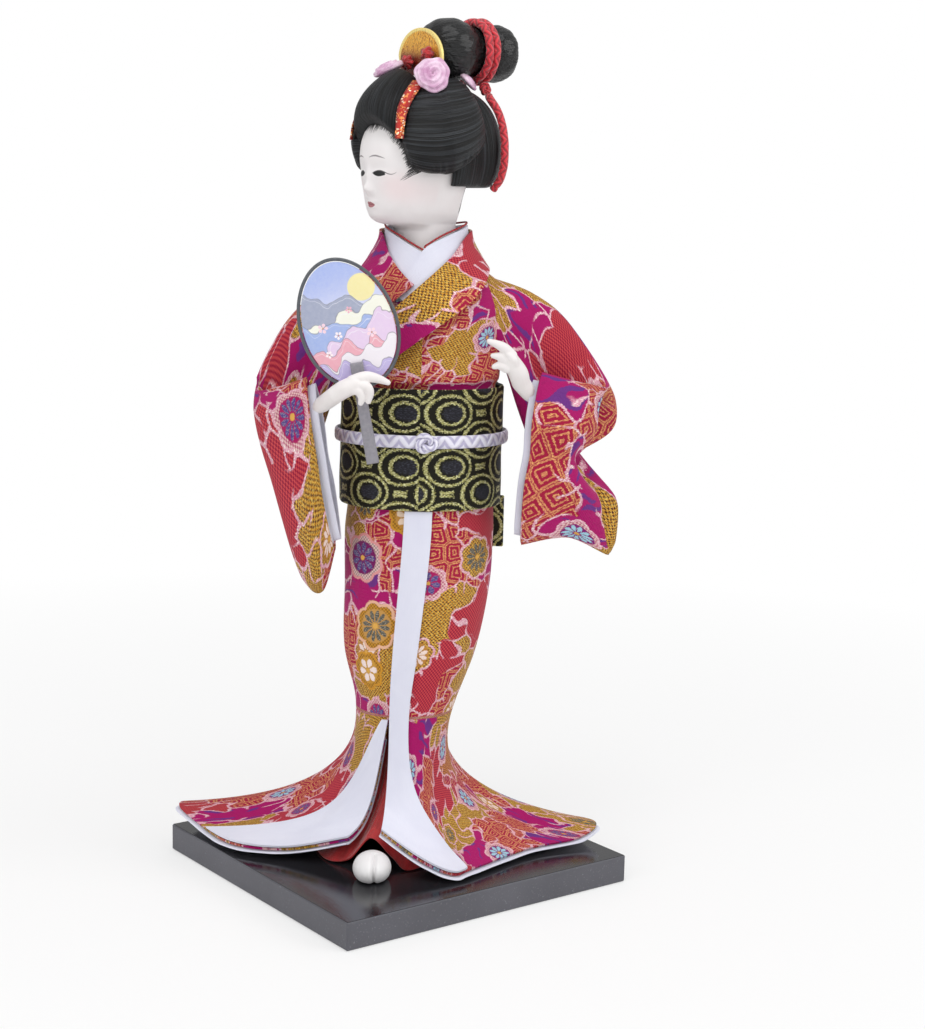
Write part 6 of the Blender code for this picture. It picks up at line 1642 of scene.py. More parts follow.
wing_hair = hair_finish("combed_black_hair_with_stiff_edge", 0.0445, 0.0470)
combed_hair = hair_finish("combed_black_hair", 0.9, 1.0)
for name, node, finish, rows_of_lock, columns_of_lock in (
    ("combed_forelock", "hair_forelock", combed_hair, 90, 150),
    ("combed_wing_left", "hair_wing_left", wing_hair, 150, 120),
    ("combed_wing_right", "hair_wing_right", wing_hair, 150, 120),
    ("combed_nape_roll", "hair_nape", combed_hair, 100, 190),
):
    first, last, low, swell, rise = HAIR_LOBES[node]
    lock = []
    for r in range(rows_of_lock):
        share = 0.5 - 0.5 * math.cos(math.pi * r / (rows_of_lock - 1))
        t = between(share, r / (rows_of_lock - 1), 0.4)
        outside, inside = [], []
        for c in range(columns_of_lock):
            share = 0.5 - 0.5 * math.cos(math.pi * c / (columns_of_lock - 1))
            u = between(share, c / (columns_of_lock - 1), 0.5)
            azimuth = between(first, last, u)
            elevation = between(HAIR_TOP, low(azimuth), t)
            leaned = azimuth
            raised = 0.0
            if "wing" in node:
                lean = 9.5 * min(max((8.0 - elevation) / 22.0, 0.0), 1.0) * (118.0 - abs(azimuth)) / 77.8
                leaned = azimuth + math.copysign(lean, azimuth)
                raised = WING_EDGE * ease((abs(azimuth) - 66.0) / 8.0)
            full = lobe_out(node, azimuth, elevation)
            rim = min(1.0, min(u, 1 - u) * abs(last - first) / 4.5, (1 - t) * (HAIR_TOP - low(azimuth)) / 4.0)
            rounding = math.sqrt(max(1 - (1 - rim) ** 2, 0.0))
            across = r / (rows_of_lock - 1) if "wing" in node else c / (columns_of_lock - 1)
            combed = 0.022 * MM * (math.sin(across * 163 + 2 * math.sin(across * 31)) + 0.6 * math.sin(across * 71 + 1))
            edge_lumps = 0.0
            if "wing" in node:
                edge_lumps = 0.35 * MM * ease((t - 0.88) / 0.06) * math.sin(u * 47 + 3 * math.sin(u * 19))
            height = raised + (full - raised) * rounding + (combed + edge_lumps) * rounding * ease(rim * 0.7)
            outside.append(head_frame @ hair_point(leaned, elevation, max(height, raised + 0.02 * MM)))
            inside.append(head_frame @ hair_point(leaned, elevation, raised))
        lock.append(outside + list(reversed(inside)))
    closing = [[between(line[k], line[-1 - k], 0.5) for k in range(len(line))] for line in (lock[0], lock[-1])]
    lock = [closing[0]] + lock + [closing[1]]
    around_lock = 2 * columns_of_lock
    if "wing" in node:
        made = grid_mesh(name, lock, lambda r, c: (abs(1 - 2 * c) * 0.04, r * 0.048), True)
    else:
        made = grid_mesh(name, lock, lambda r, c: (r * 0.05, abs(1 - 2 * c) * 0.06), True)
    join_edges(made)
    settle(made, finish, 70)
    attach(made, "root")
    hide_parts(node)


# Bun
# The bun is a ball of combed hair at the crown with a smaller roll behind it, joined by a bound waist. Both
# are lacquered and a little lumpy.
BUN_RADIUS = 11.3 * MM
BUN_WAIST = 8.8 * MM
REAR_BUN_RADIUS = 10.2 * MM
BUN_PLACE = Vector((0.0, 9.5, 37.6)) * MM
BUN_PROFILE = [(0.0, -11.3), (2.2, -11.2), (5.4, -10.0), (8.2, -7.8), (10.3, -4.6), (11.3, 0.0), (11.0, 3.6),
               (10.0, 6.6), (9.0, 8.8), (8.7, 10.4), (8.7, 15.4), (8.9, 16.4), (9.9, 18.4), (10.3, 21.4), (9.9, 24.2),
               (8.5, 26.4), (6.0, 27.7), (3.0, 28.1), (0.0, 28.2)]
rows = []
for r in range(141):
    spot = curve_through([(x, y, 0) for x, y in BUN_PROFILE], r / 140) * MM
    radius = max(spot.x, 0.0)
    ring = []
    for k in range(180):
        turn = math.tau * k / 180
        comb_line = 0.06 * MM * math.sin(turn * 41 + 4 * math.sin(turn * 3)) * ease(radius / (6 * MM))
        lump = 0.22 * MM * math.sin(turn * 7 + r * 0.11) * math.sin(r * 0.21 + turn * 2) * ease(radius / (6 * MM))
        out = radius + comb_line + lump
        ring.append(head_frame @ (BUN_PLACE + Vector((out * math.sin(turn), spot.y, out * math.cos(turn)))))
    rows.append(ring)
bun = grid_mesh("combed_bun", rows, lambda r, c: (r * 0.05, c * 0.065), True)
join_edges(bun)
lacquered_hair = hair_finish("lacquered_black_hair", -1.0, -0.5)
settle(bun, lacquered_hair, 70)
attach(bun, "root")
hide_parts("hair_bun")


# Bun cords and their knot
# A soft red braided cord goes twice round the bun's waist and is knotted under it.
BUN_CORD_RADIUS = 1.45 * MM
BUN_CORDS = (11.45 * MM, 14.6 * MM)
turn_radius = BUN_WAIST + GAP + BUN_CORD_RADIUS
for name, node, along in (("red_bun_cord_front", "bun_cord_front", BUN_CORDS[0]),
                          ("red_bun_cord_rear", "bun_cord_rear", BUN_CORDS[1])):
    rows = []
    for k in range(241):
        turn = math.tau * k / 240
        wobble = 0.12 * MM * math.sin(turn * 5 + along * 900)
        ring = []
        for s in range(22):
            roll = math.tau * s / 22
            out = turn_radius + wobble + BUN_CORD_RADIUS * math.cos(roll)
            ring.append(head_frame @ (BUN_PLACE + Vector((
                out * math.sin(turn), along + BUN_CORD_RADIUS * math.sin(roll), out * math.cos(turn)))))
        rows.append(ring)
    bun_cord = grid_mesh(name, rows, lambda r, c: (c, r * math.tau * turn_radius), True)
    join_edges(bun_cord)
    settle(bun_cord, red_braid)
    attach(bun_cord, "root")
    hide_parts(node)

low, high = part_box("bun_cord_knot")
knot_middle = (Vector(low) + Vector(high)) / 2
route = []
for i in range(161):
    turn = math.tau * i / 160
    wide = 1.25 + 0.5 * math.cos(3 * turn)
    route.append(knot_middle + Vector((wide * math.cos(2 * turn), 0.62 * math.sin(3 * turn),
                                       wide * math.sin(2 * turn))) * MM)
bun_knot = tube_mesh("red_bun_knot", route, [0.78 * MM] * len(route), 18)
settle(bun_knot, red_braid)
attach(bun_knot, "root")
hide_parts("bun_cord_knot")


# Comb and satin flowers
# A half-moon comb stands before the bun, gold with red-brown brush strokes inside a cream rim. Two crumpled
# flowers of red satin sit at its foot.
COMB_HALF_WIDTH = 13.0 * MM
COMB_HEIGHT = 10.4 * MM
COMB_FOOT = 6.4 * MM
COMB_THICKNESS = 1.0 * MM
COMB_BASE_HEIGHT = 34.0 * MM
comb_front = BUN_PLACE.y - BUN_RADIUS - GAP - COMB_THICKNESS / 2
comb_frame = head_frame @ Matrix.Translation((0.6 * MM, comb_front, COMB_BASE_HEIGHT)) @ Matrix.Rotation(
    math.radians(6), 4, "Y")
painted_gold, tree, shader = new_finish("painted_gold_comb", 0.3)
place = place_in_mm(tree, comb_frame)
x, y, z = add(tree, "SeparateXYZ", {0: place}).outputs
wide = sum_of(tree, "DIVIDE", x, 13.0)
tall = sum_of(tree, "DIVIDE", sum_of(tree, "MAXIMUM", z, 0.0), 10.4)
reach = sum_of(tree, "SQRT", sum_of(tree, "ADD", sum_of(tree, "MULTIPLY", wide, wide),
                                    sum_of(tree, "MULTIPLY", tall, tall)))
rim = step_at(tree, reach, 0.86, 0.92)
stroke_spot = add(tree, "Mapping", {"Vector": place, "Scale": (1.3, 1.0, 0.42)}).outputs[0]
scribble = add(tree, "TexNoise", {"Vector": stroke_spot, "Scale": 1.0, "Detail": 3.0, "Distortion": 1.6}).outputs[0]
marks = sum_of(tree, "ABSOLUTE", sum_of(tree, "SUBTRACT", scribble, 0.5))
glitter = add(tree, "TexNoise", {"Vector": place, "Scale": 4.5, "Detail": 2.0}).outputs[0]
gold = colour_mix(tree, glitter, srgb(232, 148, 34), srgb(255, 214, 92))
# Painted shade: towards its foot, behind the satin flowers, the comb is darkened to a deep red.
gold = colour_mix(tree, step_at(tree, z, 4.0, -1.0), gold, srgb(120, 24, 20))
gold = colour_mix(tree, step_at(tree, marks, 0.035, 0.015), gold, srgb(140, 44, 20))
gold = colour_mix(tree, step_at(tree, glitter, 0.62, 0.7), gold, srgb(255, 236, 170))
tree.links.new(colour_mix(tree, rim, gold, srgb(250, 226, 140)), shader.inputs["Base Color"])
tree.links.new(sum_of(tree, "MULTIPLY", glitter, 0.5), shader.inputs["Metallic"])
tree.links.new(sum_of(tree, "MULTIPLY_ADD", marks, 1.2, 0.22), shader.inputs["Roughness"])
height = sum_of(tree, "MULTIPLY_ADD", rim, 2.0, glitter)
tree.links.new(add(tree, "Bump", {"Height": height, "Strength": 0.4, "Distance": 0.0003}).outputs[0],
               shader.inputs["Normal"])
bpy.ops.mesh.primitive_cylinder_add(vertices=160, radius=1.0, depth=1.0, end_fill_type="TRIFAN",
                                    rotation=(math.radians(90), 0, 0))
comb = tidy_name(bpy.context.object, "half_moon_comb")
bpy.ops.object.transform_apply(location=False, rotation=True, scale=False)
for vertex in comb.data.vertices:
    x, z = vertex.co.x, vertex.co.z
    vertex.co.y *= COMB_THICKNESS
    if z >= 0:
        vertex.co.x, vertex.co.z = x * COMB_HALF_WIDTH, z * COMB_HEIGHT
    else:
        narrow = between(1.0, 0.8, min(-z / 0.6, 1.0))
        flat = min(1.0, abs(x) * 1.6) if z < -0.6 else 1.0
        vertex.co.x = math.copysign(flat if z < -0.6 else 1.0, x) * COMB_HALF_WIDTH * narrow if abs(x) > 0.001 else 0
        vertex.co.z = max(z / 0.6, -1.0) * COMB_FOOT
comb.data.transform(comb_frame)
join_edges(comb)
edge = comb.modifiers.new("rounded edges", "BEVEL")
edge.width = 0.22 * MM
edge.segments = 3
edge.limit_method = "ANGLE"
edge.angle_limit = math.radians(50)
apply_modifiers(comb)
settle(comb, painted_gold, 40)
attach(comb, "root")
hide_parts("comb")


def satin_finish(name, dark, light, crumple):
    """Satin ribbon: shiny threads along it, and crumpled shading."""
    made, tree, shader = new_finish(name, 0.32)
    place = add(tree, "UVMap", uv_map="cloth").outputs[0]
    threads = add(tree, "Mapping", {"Vector": place, "Scale": (900.0, 9000.0, 1.0)}).outputs[0]
    thread = add(tree, "TexNoise", {"Vector": threads, "Scale": 1.0}, noise_dimensions="2D").outputs[0]
    fold = add(tree, "TexNoise", {"Vector": add(tree, "TexCoord").outputs["Object"], "Scale": crumple,
                                  "Detail": 3.0}).outputs[0]
    tint = colour_mix(tree, step_at(tree, sum_of(tree, "MULTIPLY_ADD", thread, 0.3, fold), 0.45, 0.85), dark, light)
    tree.links.new(tint, shader.inputs["Base Color"])
    tree.links.new(sum_of(tree, "MULTIPLY_ADD", thread, 0.2, 0.25), shader.inputs["Roughness"])
    height = sum_of(tree, "MULTIPLY_ADD", thread, 0.25, sum_of(tree, "MULTIPLY", fold, 2.0))
    tree.links.new(add(tree, "Bump", {"Height": height, "Strength": 0.6, "Distance": 0.0004}).outputs[0],
                   shader.inputs["Normal"])
    shader.inputs["Sheen Weight"].default_value = 0.3
    return made


def petalled(name, node, middle, size, petals, finish):
    """A crumpled flower of gathered satin about a point of the head's frame."""
    rows = []
    for r in range(49):
        tip = math.pi * r / 48
        ring = []
        for k in range(120):
            turn = math.tau * k / 120
            wave = 1.0 + 0.16 * math.cos(petals * turn) + 0.07 * math.sin(2 * petals * turn + 3 * tip)
            puff = 1.0 + 0.12 * math.sin(5 * tip + 2 * math.sin(3 * turn))
            ring.append(head_frame @ (middle + Vector((
                size[0] * math.sin(tip) * math.cos(turn) * wave, -size[1] * math.cos(tip) * puff,
                size[2] * math.sin(tip) * math.sin(turn) * wave))))
        rows.append(ring)
    made = grid_mesh(name, rows, lambda r, c: (c * 0.02, r * 0.008), True)
    join_edges(made)
    settle(made, finish, 60)
    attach(made, "root")
    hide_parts(node)


crumpled_red = satin_finish("crumpled_red_satin", srgb(120, 8, 14), srgb(214, 34, 40), 420.0)
flower_front = comb_front - COMB_THICKNESS / 2 - GAP - 1.5 * MM
petalled("red_satin_flower_left", "comb_flower_left", Vector((7.4 * MM, flower_front, 34.8 * MM)),
         (3.3 * MM, 1.45 * MM, 2.5 * MM), 5, crumpled_red)
petalled("red_satin_flower_right", "comb_flower_right", Vector((-4.6 * MM, flower_front, 32.4 * MM)),
         (3.3 * MM, 1.45 * MM, 2.5 * MM), 6, crumpled_red)


# Rosettes
# Three rosettes of lilac-pink satin ribbon, rolled in a spiral: one over each side ribbon and a small one
# behind.
ROSETTE_RADIUS = 6.2 * MM
rolled_pink = satin_finish("rolled_pink_satin", srgb(202, 148, 186), srgb(242, 214, 234), 260.0)
for name, node, radius, azimuth, elevation, tilt, outward_by, lower_by in (
    ("pink_rosette_near", "rosette_near", ROSETTE_RADIUS, 64, 57, 34.0, 2.2, 3.4),
    ("pink_rosette_far", "rosette_far", ROSETTE_RADIUS * 0.9, -34, 66, 0.0, 0.0, 1.6),
    ("pink_rosette_back", "rosette_back", ROSETTE_RADIUS * 0.62, 141, 58, 10.0, 0.3, 0.0),
):
    low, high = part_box(node)
    seat = (Vector(low) + Vector(high)) / 2
    outward = hair_point(azimuth, elevation, MM) - hair_point(azimuth, elevation, 0.0)
    outward = (head_frame.to_3x3() @ outward).normalized()
    level = Vector((outward.x, outward.y, 0)).normalized()
    facing = outward.lerp(level, tilt / 45.0).normalized()
    side_way = facing.cross(Vector((0, 0, 1))).normalized()
    up_way = side_way.cross(facing)
    seat = seat + facing * outward_by * MM - Vector((0, 0, lower_by * MM))
    rows = []
    for r in range(101):
        share = r / 100
        ring = []
        for k in range(160):
            turn = math.tau * k / 160
            if share <= 0.8:
                reach = share / 0.8
                phase = (reach * 3.3 - k / 160 + 0.15 * math.sin(turn * 2)) % 1.0
                roll = ease(phase / 0.75) * (1 - ease((phase - 0.82) / 0.18))
                height = radius * (0.40 * math.sqrt(max(1 - reach ** 2, 0.0)) + 0.14 * roll * (1 - 0.3 * reach))
                height -= radius * 0.16 * math.exp(-(reach / 0.14) ** 2)
                out = radius * reach * (1.0 + 0.05 * math.sin(3 * turn + 1) * reach + 0.03 * math.sin(7 * turn) * reach)
            else:
                under = (share - 0.8) / 0.2
                height = -radius * 0.22 * math.sin(min(under * 1.2, 1.0) * math.pi / 2)
                out = radius * (1.0 + 0.05 * math.sin(3 * turn + 1) + 0.03 * math.sin(7 * turn)) * (1 - under ** 2)
            ring.append(seat + side_way * out * math.cos(turn) + up_way * out * math.sin(turn) + facing * height)
        rows.append(ring)
    rosette = grid_mesh(name, rows, lambda r, c: (c * 0.03, r * 0.012), True)
    join_edges(rosette)
    settle(rosette, rolled_pink, 70)
    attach(rosette, "root")
    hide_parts(node)


# Side ribbons
# A red ribbon woven with gold hangs from each rosette in the parting before the wing, a little gathered.
RIBBON_WIDTH = 3.6 * MM
red_gold_ribbon, tree, shader = new_finish("red_gold_ribbon", 0.4)
place = add(tree, "UVMap", uv_map="cloth").outputs[0]
spot = add(tree, "VectorMath", {0: place, "Scale": 1000.0}, operation="SCALE").outputs[0]
cell = add(tree, "VectorMath", {0: spot, 1: (0.5, 0.3, 1.0)}, operation="SNAP").outputs[0]
speck = add(tree, "TexWhiteNoise", {"Vector": cell}, noise_dimensions="2D").outputs["Value"]
patch = add(tree, "TexNoise", {"Vector": spot, "Scale": 0.5, "Detail": 2.0}, noise_dimensions="2D").outputs[0]
golden = step_at(tree, sum_of(tree, "MULTIPLY_ADD", speck, 0.55, patch), 0.82, 0.9)
across = add(tree, "SeparateXYZ", {0: spot}).outputs[0]
middle_shade = sum_of(tree, "SINE", sum_of(tree, "MULTIPLY", across, math.pi / 3.6))
red = colour_mix(tree, middle_shade, srgb(122, 12, 20), srgb(196, 44, 30))
red = colour_mix(tree, golden, red, srgb(240, 150, 84))
red = colour_mix(tree, step_at(tree, speck, 0.9, 0.95), red, srgb(255, 236, 206))
tree.links.new(red, shader.inputs["Base Color"])
tree.links.new(sum_of(tree, "MULTIPLY", golden, 0.6), shader.inputs["Metallic"])
tree.links.new(sum_of(tree, "MULTIPLY_ADD", golden, -0.15, 0.45), shader.inputs["Roughness"])
height = sum_of(tree, "ADD", speck, golden)
tree.links.new(add(tree, "Bump", {"Height": height, "Strength": 0.6, "Distance": 0.0002}).outputs[0],
               shader.inputs["Normal"])
for name, node, middle in (("red_gold_ribbon_left", "side_ribbon_left", 39.6),
                           ("red_gold_ribbon_right", "side_ribbon_right", -39.6)):
    rows = []
    for r in range(81):
        elevation = between(55.0, 9.5, r / 80)
        lean = math.copysign(11.0 * (1 - ease(r / 50)), middle)
        half = RIBBON_WIDTH / 2 / (SKULL.x * math.cos(math.radians(elevation))) * 180 / math.pi
        half *= between(0.84, 0.62, ease((r - 20) / 60))
        out = max(hair_out(middle + lean + side * half, elevation) for side in (-1, -0.5, 0, 0.5, 1)) + GAP + 0.5 * MM
        line = []
        for c in range(25):
            side = c / 12 - 1
            fold = 0.22 * MM * math.cos(side * math.pi * 1.5) * math.sin(r * 0.16 + 1)
            line.append(hair_point(middle + lean + half * side, elevation, out + fold + 0.15 * MM * (1 - side * side)))
        rows.append(list(reversed(line)))
    ribbon = cloth_piece(name, rows, lambda r, c: (c * 0.0036, r * 0.0165), red_gold_ribbon, 0.45 * MM,
                         frame_matrix=head_frame)
    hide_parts(node)


# Hands
# Both hands are moulded plaster, coated white like the head: a full wrist, a smooth back and a few stubby
# fingers. The viewer's left one closes on the fan, the other is raised with its first finger out.
HANDS = [
    ("white_hand_with_fan", "hand_right", [
        ([(-35, -25.2, 173.6), (-30, -27.8, 176.6), (-26.4, -32.0, 179.0), (-21.0, -42.4, 183.6)], [1.5, 2.1, 2.9, 3.1]),
        ([(-21.0, -42.4, 183.6), (-18, -44.5, 185.6), (-14.5, -44.9, 187.2)], [3.1, 3.2, 3.1]),
        ([(-15.5, -45.2, 188.2), (-11, -44.8, 189.8), (-7, -43.6, 189.2), (-3.5, -42.4, 187.8)], [2.2, 2.0, 1.6, 1.0]),
        ([(-14, -45.2, 187.0), (-10.6, -46.0, 186.6), (-9.4, -45.6, 184.5), (-10.0, -44.6, 181.4)], [2.3, 1.7, 1.4, 1.0]),
        ([(-16, -45.4, 185.6), (-13.5, -46.2, 185.2), (-12.2, -45.6, 183.0), (-12.6, -44.8, 180.8)], [2.2, 1.7, 1.4, 1.0]),
    ]),
    ("white_raised_hand", "hand_left", [
        ([(54, -19.6, 177.5), (49.5, -20.9, 180.4), (46.0, -22.0, 183.0), (42.6, -26.4, 187.4)], [1.5, 2.0, 2.8, 3.3]),
        ([(42.6, -26.4, 187.4), (41.4, -29.6, 191), (38.6, -32, 195.4)], [3.3, 3.5, 3.1]),
        ([(38.8, -33, 197.2), (35.8, -34.4, 200.2), (31.0, -35, 202.2)], [2.2, 1.8, 0.95]),
        ([(37.5, -33, 195.0), (35, -34.2, 196.8), (32.4, -34.8, 197.2)], [2.1, 1.6, 0.9]),
        ([(37.2, -33, 193), (34.8, -34.0, 193.8), (33.0, -34.4, 193.4)], [1.9, 1.5, 1.0]),
        ([(40.2, -32, 193.4), (39.6, -34.4, 196.0), (37.8, -35, 197.8)], [2.0, 1.6, 1.1]),
    ]),
]
matt_white_hand, tree, shader = new_finish("matt_white_hand", 0.5)
place = add(tree, "TexCoord").outputs["Object"]
grain = add(tree, "TexNoise", {"Vector": place, "Scale": 3000.0, "Detail": 3.0}).outputs[0]
wash = add(tree, "TexNoise", {"Vector": place, "Scale": 130.0, "Detail": 2.0}).outputs[0]
tree.links.new(colour_mix(tree, wash, srgb(228, 221, 220), srgb(241, 238, 236)), shader.inputs["Base Color"])
tree.links.new(sum_of(tree, "MULTIPLY_ADD", grain, 0.2, 0.42), shader.inputs["Roughness"])
tree.links.new(add(tree, "Bump", {"Height": grain, "Strength": 0.05, "Distance": 0.0002}).outputs[0],
               shader.inputs["Normal"])
for name, node, limbs in HANDS:
    pieces = []
    for limb, (points, radii) in enumerate(limbs):
        route = [world_point(curve_through(points, i / 30) * MM) for i in range(31)]
        widths = [curve_through([(radius, 0, 0) for radius in radii], i / 30).x * MM for i in range(31)]
        pieces.append(tube_mesh(name + "_" + str(limb), route, widths, 20))
        for end in (0, 30):
            bpy.ops.mesh.primitive_uv_sphere_add(segments=20, ring_count=12, radius=widths[end], location=route[end])
            pieces.append(bpy.context.object)
            bpy.ops.object.transform_apply(location=True, rotation=False, scale=False)
    bpy.ops.object.select_all(action="DESELECT")
    for piece in pieces:
        piece.select_set(True)
    bpy.context.view_layer.objects.active = pieces[0]
    bpy.ops.object.join()
    hand = tidy_name(bpy.context.object, name)
    merged = hand.modifiers.new("one skin", "REMESH")
    merged.mode = "VOXEL"
    merged.voxel_size = 0.22 * MM
    soft = hand.modifiers.new("soft skin", "SMOOTH")
    soft.factor = 0.5
    soft.iterations = 9
    apply_modifiers(hand)
    settle(hand, matt_white_hand, 0)
    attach(hand, "root")
    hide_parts(node)


# Fan
# The fan is an egg-shaped card printed with a moon, hills, clouds and waves, in a thin grey rim. A grey clip
# holds it to a flat grey handle.
FAN_HALF_HEIGHT = 22.6 * MM
FAN_HALF_WIDTH = 16.4 * MM
FAN_THICKNESS = 0.9 * MM
FAN_RIM_RADIUS = 0.6 * MM
FAN_HANDLE_WIDTH = 4.0 * MM
FAN_HANDLE_LENGTH = 46.0 * MM
FAN_HANDLE_THICKNESS = 1.4 * MM
FAN_PLACE = Vector((-17.6, -40.8, 207.6)) * MM


def fan_edge(turn, margin):
    """A point of the fan's egg-shaped edge in its own plane, X across and Z up."""
    wide = (FAN_HALF_WIDTH + margin) * (1 - 0.06 * math.cos(turn))
    return Vector((wide * math.sin(turn), 0, (FAN_HALF_HEIGHT + margin) * math.cos(turn)))


def fan_print_effect():
    """The print on the card, from a place on it in millimetres."""
    tree, given, result = new_effect("fan_print", (("Vector", "Vector"),), (("Color", "Color"),))
    x, _, z = add(tree, "SeparateXYZ", {0: given["Vector"]}).outputs
    drift = add(tree, "TexNoise", {"Vector": given["Vector"], "Scale": 0.13, "Detail": 2.0}).outputs[0]
    fibre = add(tree, "TexNoise", {"Vector": given["Vector"], "Scale": 1.1, "Detail": 3.0}).outputs[0]
    sway = sum_of(tree, "MULTIPLY_ADD", drift, 9.0, -4.5)

    def band_of(height, slope, wave, pitch, phase):
        line = sum_of(tree, "SINE", sum_of(tree, "MULTIPLY_ADD", x, math.tau / pitch, phase))
        line = sum_of(tree, "MULTIPLY_ADD", line, wave, sum_of(tree, "MULTIPLY_ADD", x, slope, height))
        return sum_of(tree, "SUBTRACT", z, sum_of(tree, "ADD", line, sway))

    colour = colour_mix(tree, step_at(tree, z, -4.0, 20.0), srgb(226, 226, 246), srgb(158, 176, 232))
    moon = add(tree, "VectorMath", {0: given["Vector"], 1: (8.6, 0.0, 10.4)}, operation="DISTANCE").outputs["Value"]
    colour = colour_mix(tree, step_at(tree, moon, 4.9, 4.6), colour, srgb(240, 228, 160))
    ink = srgb(92, 92, 108)
    for height, slope, wave, pitch, phase, tint in (
        (8.5, -0.42, 1.7, 15.0, 0.6, srgb(150, 158, 186)),
        (3.8, 0.12, 1.3, 11.0, 2.0, srgb(240, 240, 226)),
        (0.4, -0.20, 1.6, 12.5, 4.0, srgb(150, 172, 226)),
        (-3.6, 0.26, 1.2, 9.0, 1.0, srgb(226, 200, 232)),
        (-7.6, -0.10, 1.5, 10.0, 3.1, srgb(232, 160, 178)),
        (-10.6, 0.18, 1.3, 8.0, 5.0, srgb(238, 232, 240)),
        (-14.6, -0.16, 1.1, 7.0, 0.2, srgb(186, 172, 224)),
    ):
        below = band_of(height, slope, wave, pitch, phase)
        colour = colour_mix(tree, step_at(tree, below, 0.12, -0.12), colour, tint)
        line = step_at(tree, sum_of(tree, "ABSOLUTE", below), 0.24, 0.08)
        colour = colour_mix(tree, sum_of(tree, "MULTIPLY", line, 0.6), colour, ink)
        inner = sum_of(tree, "ABSOLUTE", sum_of(tree, "ADD", below, 1.3))
        colour = colour_mix(tree, sum_of(tree, "MULTIPLY", step_at(tree, inner, 0.16, 0.04), 0.5), colour,
                            srgb(246, 246, 252))
    for cx, cz, size, petals, petal in (
        (-8.6, 1.2, 2.5, 5.0, srgb(244, 206, 220)), (-4.4, -2.8, 2.0, 5.0, srgb(250, 236, 240)),
        (6.8, -5.4, 2.4, 5.0, srgb(248, 214, 226)), (-9.6, -8.0, 1.8, 5.0, srgb(250, 236, 240)),
        (2.0, 4.4, 1.7, 5.0, srgb(236, 170, 190)),
    ):
        flat = add(tree, "CombineXYZ", {0: x, 1: z}).outputs[0]
        bloom = use_effect(tree, woven_flower, {"Vector": flat, "Centre": (cx, cz, 0.0), "Size": size,
                                                "Petals": petals, "Turn": cx})
        colour = colour_mix(tree, bloom["Petal"], colour, petal)
        colour = colour_mix(tree, bloom["Eye"], colour, srgb(196, 120, 70))
    tree.links.new(colour_mix(tree, sum_of(tree, "MULTIPLY", fibre, 0.22), colour, srgb(250, 248, 240)),
                   result["Color"])
    return tree


fan_frame = figure_frame @ Matrix.Translation(FAN_PLACE) @ Matrix.Rotation(math.radians(-20.5), 4, "Y") @ \
    Matrix.Rotation(math.radians(4), 4, "X")
grip_frame = figure_frame @ Matrix.Translation(FAN_PLACE) @ Matrix.Rotation(math.radians(-10.5), 4, "Y") @ \
    Matrix.Rotation(math.radians(4), 4, "X")
printed_card, tree, shader = new_finish("printed_card", 0.42)
place = place_in_mm(tree, fan_frame)
printed = use_effect(tree, fan_print_effect(), {"Vector": place})
tree.links.new(printed["Color"], shader.inputs["Base Color"])
fibres = add(tree, "TexNoise", {"Vector": place, "Scale": 3.0, "Detail": 3.0}).outputs[0]
tree.links.new(sum_of(tree, "MULTIPLY_ADD", fibres, 0.2, 0.32), shader.inputs["Roughness"])
tree.links.new(add(tree, "Bump", {"Height": fibres, "Strength": 0.06, "Distance": 0.0002}).outputs[0],
               shader.inputs["Normal"])
rows = []
for depth, share in ((-0.5, 0.0), (-0.5, 0.35), (-0.5, 0.7), (-0.5, 0.97), (-0.32, 1.0), (0.32, 1.0), (0.5, 0.97),
                     (0.5, 0.7), (0.5, 0.35), (0.5, 0.0)):
    ring = []
    for k in range(160):
        edge_point = fan_edge(math.tau * k / 160, -FAN_RIM_RADIUS - GAP)
        ring.append(fan_frame @ (edge_point * share + Vector((0, depth * FAN_THICKNESS, 0))))
    rows.append(ring)
fan_card = grid_mesh("printed_fan_card", rows, lambda r, c: (c * 0.12, r * 0.02), True)
join_edges(fan_card)
settle(fan_card, printed_card, 40)
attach(fan_card, "root")
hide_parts("fan_leaf")

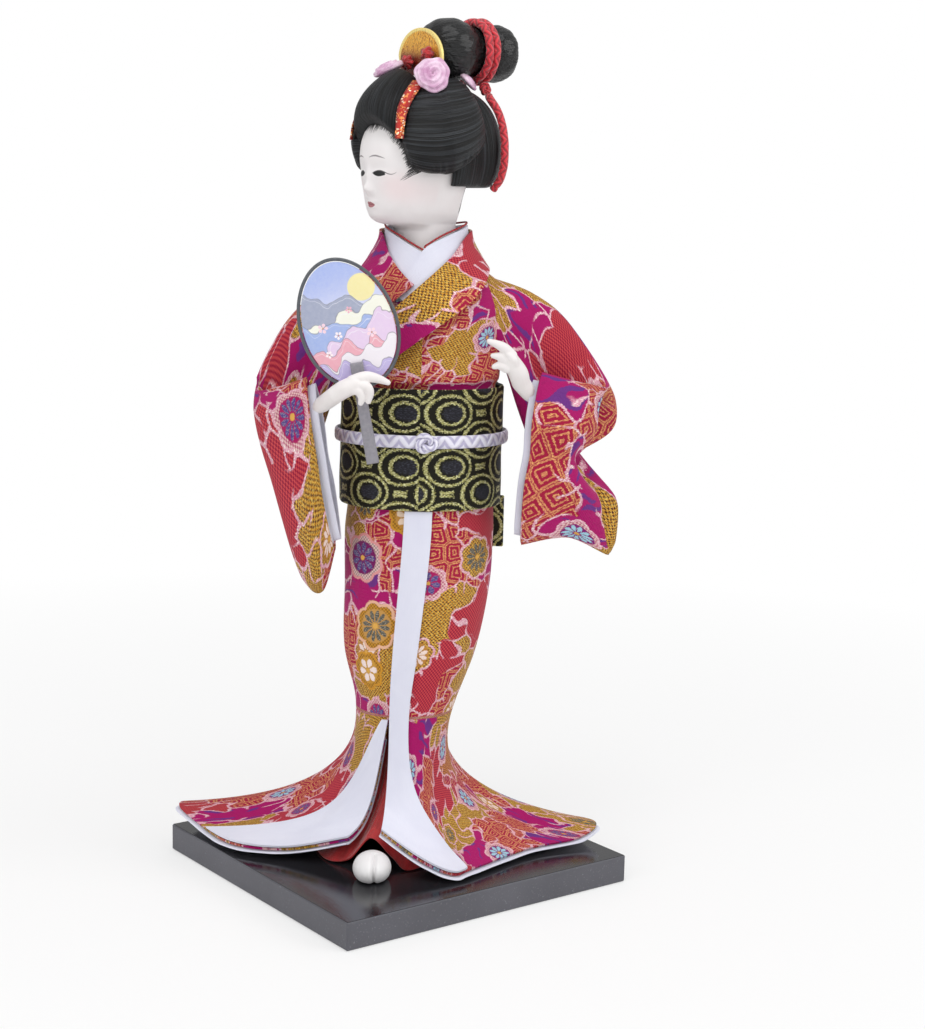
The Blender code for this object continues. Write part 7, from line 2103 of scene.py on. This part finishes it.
def grey_finish(name, dark, light):
    """Smooth grey plastic with a faint mottle."""
    made, tree, shader = new_finish(name, 0.35)
    place = add(tree, "TexCoord").outputs["Object"]
    mottle = add(tree, "TexNoise", {"Vector": place, "Scale": 900.0, "Detail": 3.0}).outputs[0]
    tree.links.new(colour_mix(tree, mottle, dark, light), shader.inputs["Base Color"])
    tree.links.new(sum_of(tree, "MULTIPLY_ADD", mottle, 0.25, 0.22), shader.inputs["Roughness"])
    tree.links.new(add(tree, "Bump", {"Height": mottle, "Strength": 0.1, "Distance": 0.0002}).outputs[0],
                   shader.inputs["Normal"])
    return made


dark_grey_rim = grey_finish("dark_grey_rim", srgb(66, 70, 74), srgb(96, 100, 106))
mid_grey_handle = grey_finish("mid_grey_handle", srgb(122, 120, 128), srgb(158, 155, 162))
route = [fan_frame @ fan_edge(math.tau * k / 200, 0.0) for k in range(201)]
rows = []
for k in range(201):
    ahead = (route[(k + 1) % 200] - route[(k - 1) % 200]).normalized()
    across = fan_frame.to_3x3() @ Vector((0, 1, 0))
    out = ahead.cross(across)
    rows.append([route[k] + (out * math.cos(math.tau * s / 16) + across * math.sin(math.tau * s / 16)) * FAN_RIM_RADIUS
                 for s in range(16)])
fan_rim = grid_mesh("grey_fan_rim", rows, lambda r, c: (c, r * 0.12), True)
join_edges(fan_rim)
settle(fan_rim, dark_grey_rim, 60)
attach(fan_rim, "root")
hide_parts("fan_rim")

handle_back = FAN_THICKNESS / 2 + FAN_HANDLE_THICKNESS / 2 + GAP + FAN_RIM_RADIUS
for name, node, size, middle, widen, round_by in (
    ("grey_fan_handle", "fan_handle", (FAN_HANDLE_WIDTH, FAN_HANDLE_THICKNESS, FAN_HANDLE_LENGTH),
     (0.0, handle_back, -4 * MM - FAN_HANDLE_LENGTH / 2), True, 0.55 * MM),
    ("grey_fan_clip", "fan_clip", (4.6 * MM, 1.0 * MM, 5.4 * MM),
     (0.6 * MM, -FAN_THICKNESS / 2 - 0.5 * MM - GAP, -16.2 * MM), False, 0.45 * MM),
):
    bpy.ops.object.select_all(action="DESELECT")
    bpy.ops.mesh.primitive_cube_add(size=1.0)
    made = tidy_name(bpy.context.object, name)
    made.data.transform(Matrix.Diagonal((*size, 1.0)))
    if widen:
        for vertex in made.data.vertices:
            vertex.co.x *= 1.12 if vertex.co.z < 0 else 0.8
    made.data.transform(grip_frame @ Matrix.Translation(middle))
    edge = made.modifiers.new("rounded edges", "BEVEL")
    edge.width = round_by
    edge.segments = 5
    apply_modifiers(made)
    settle(made, mid_grey_handle, 40)
    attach(made, "root")
    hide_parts(node)
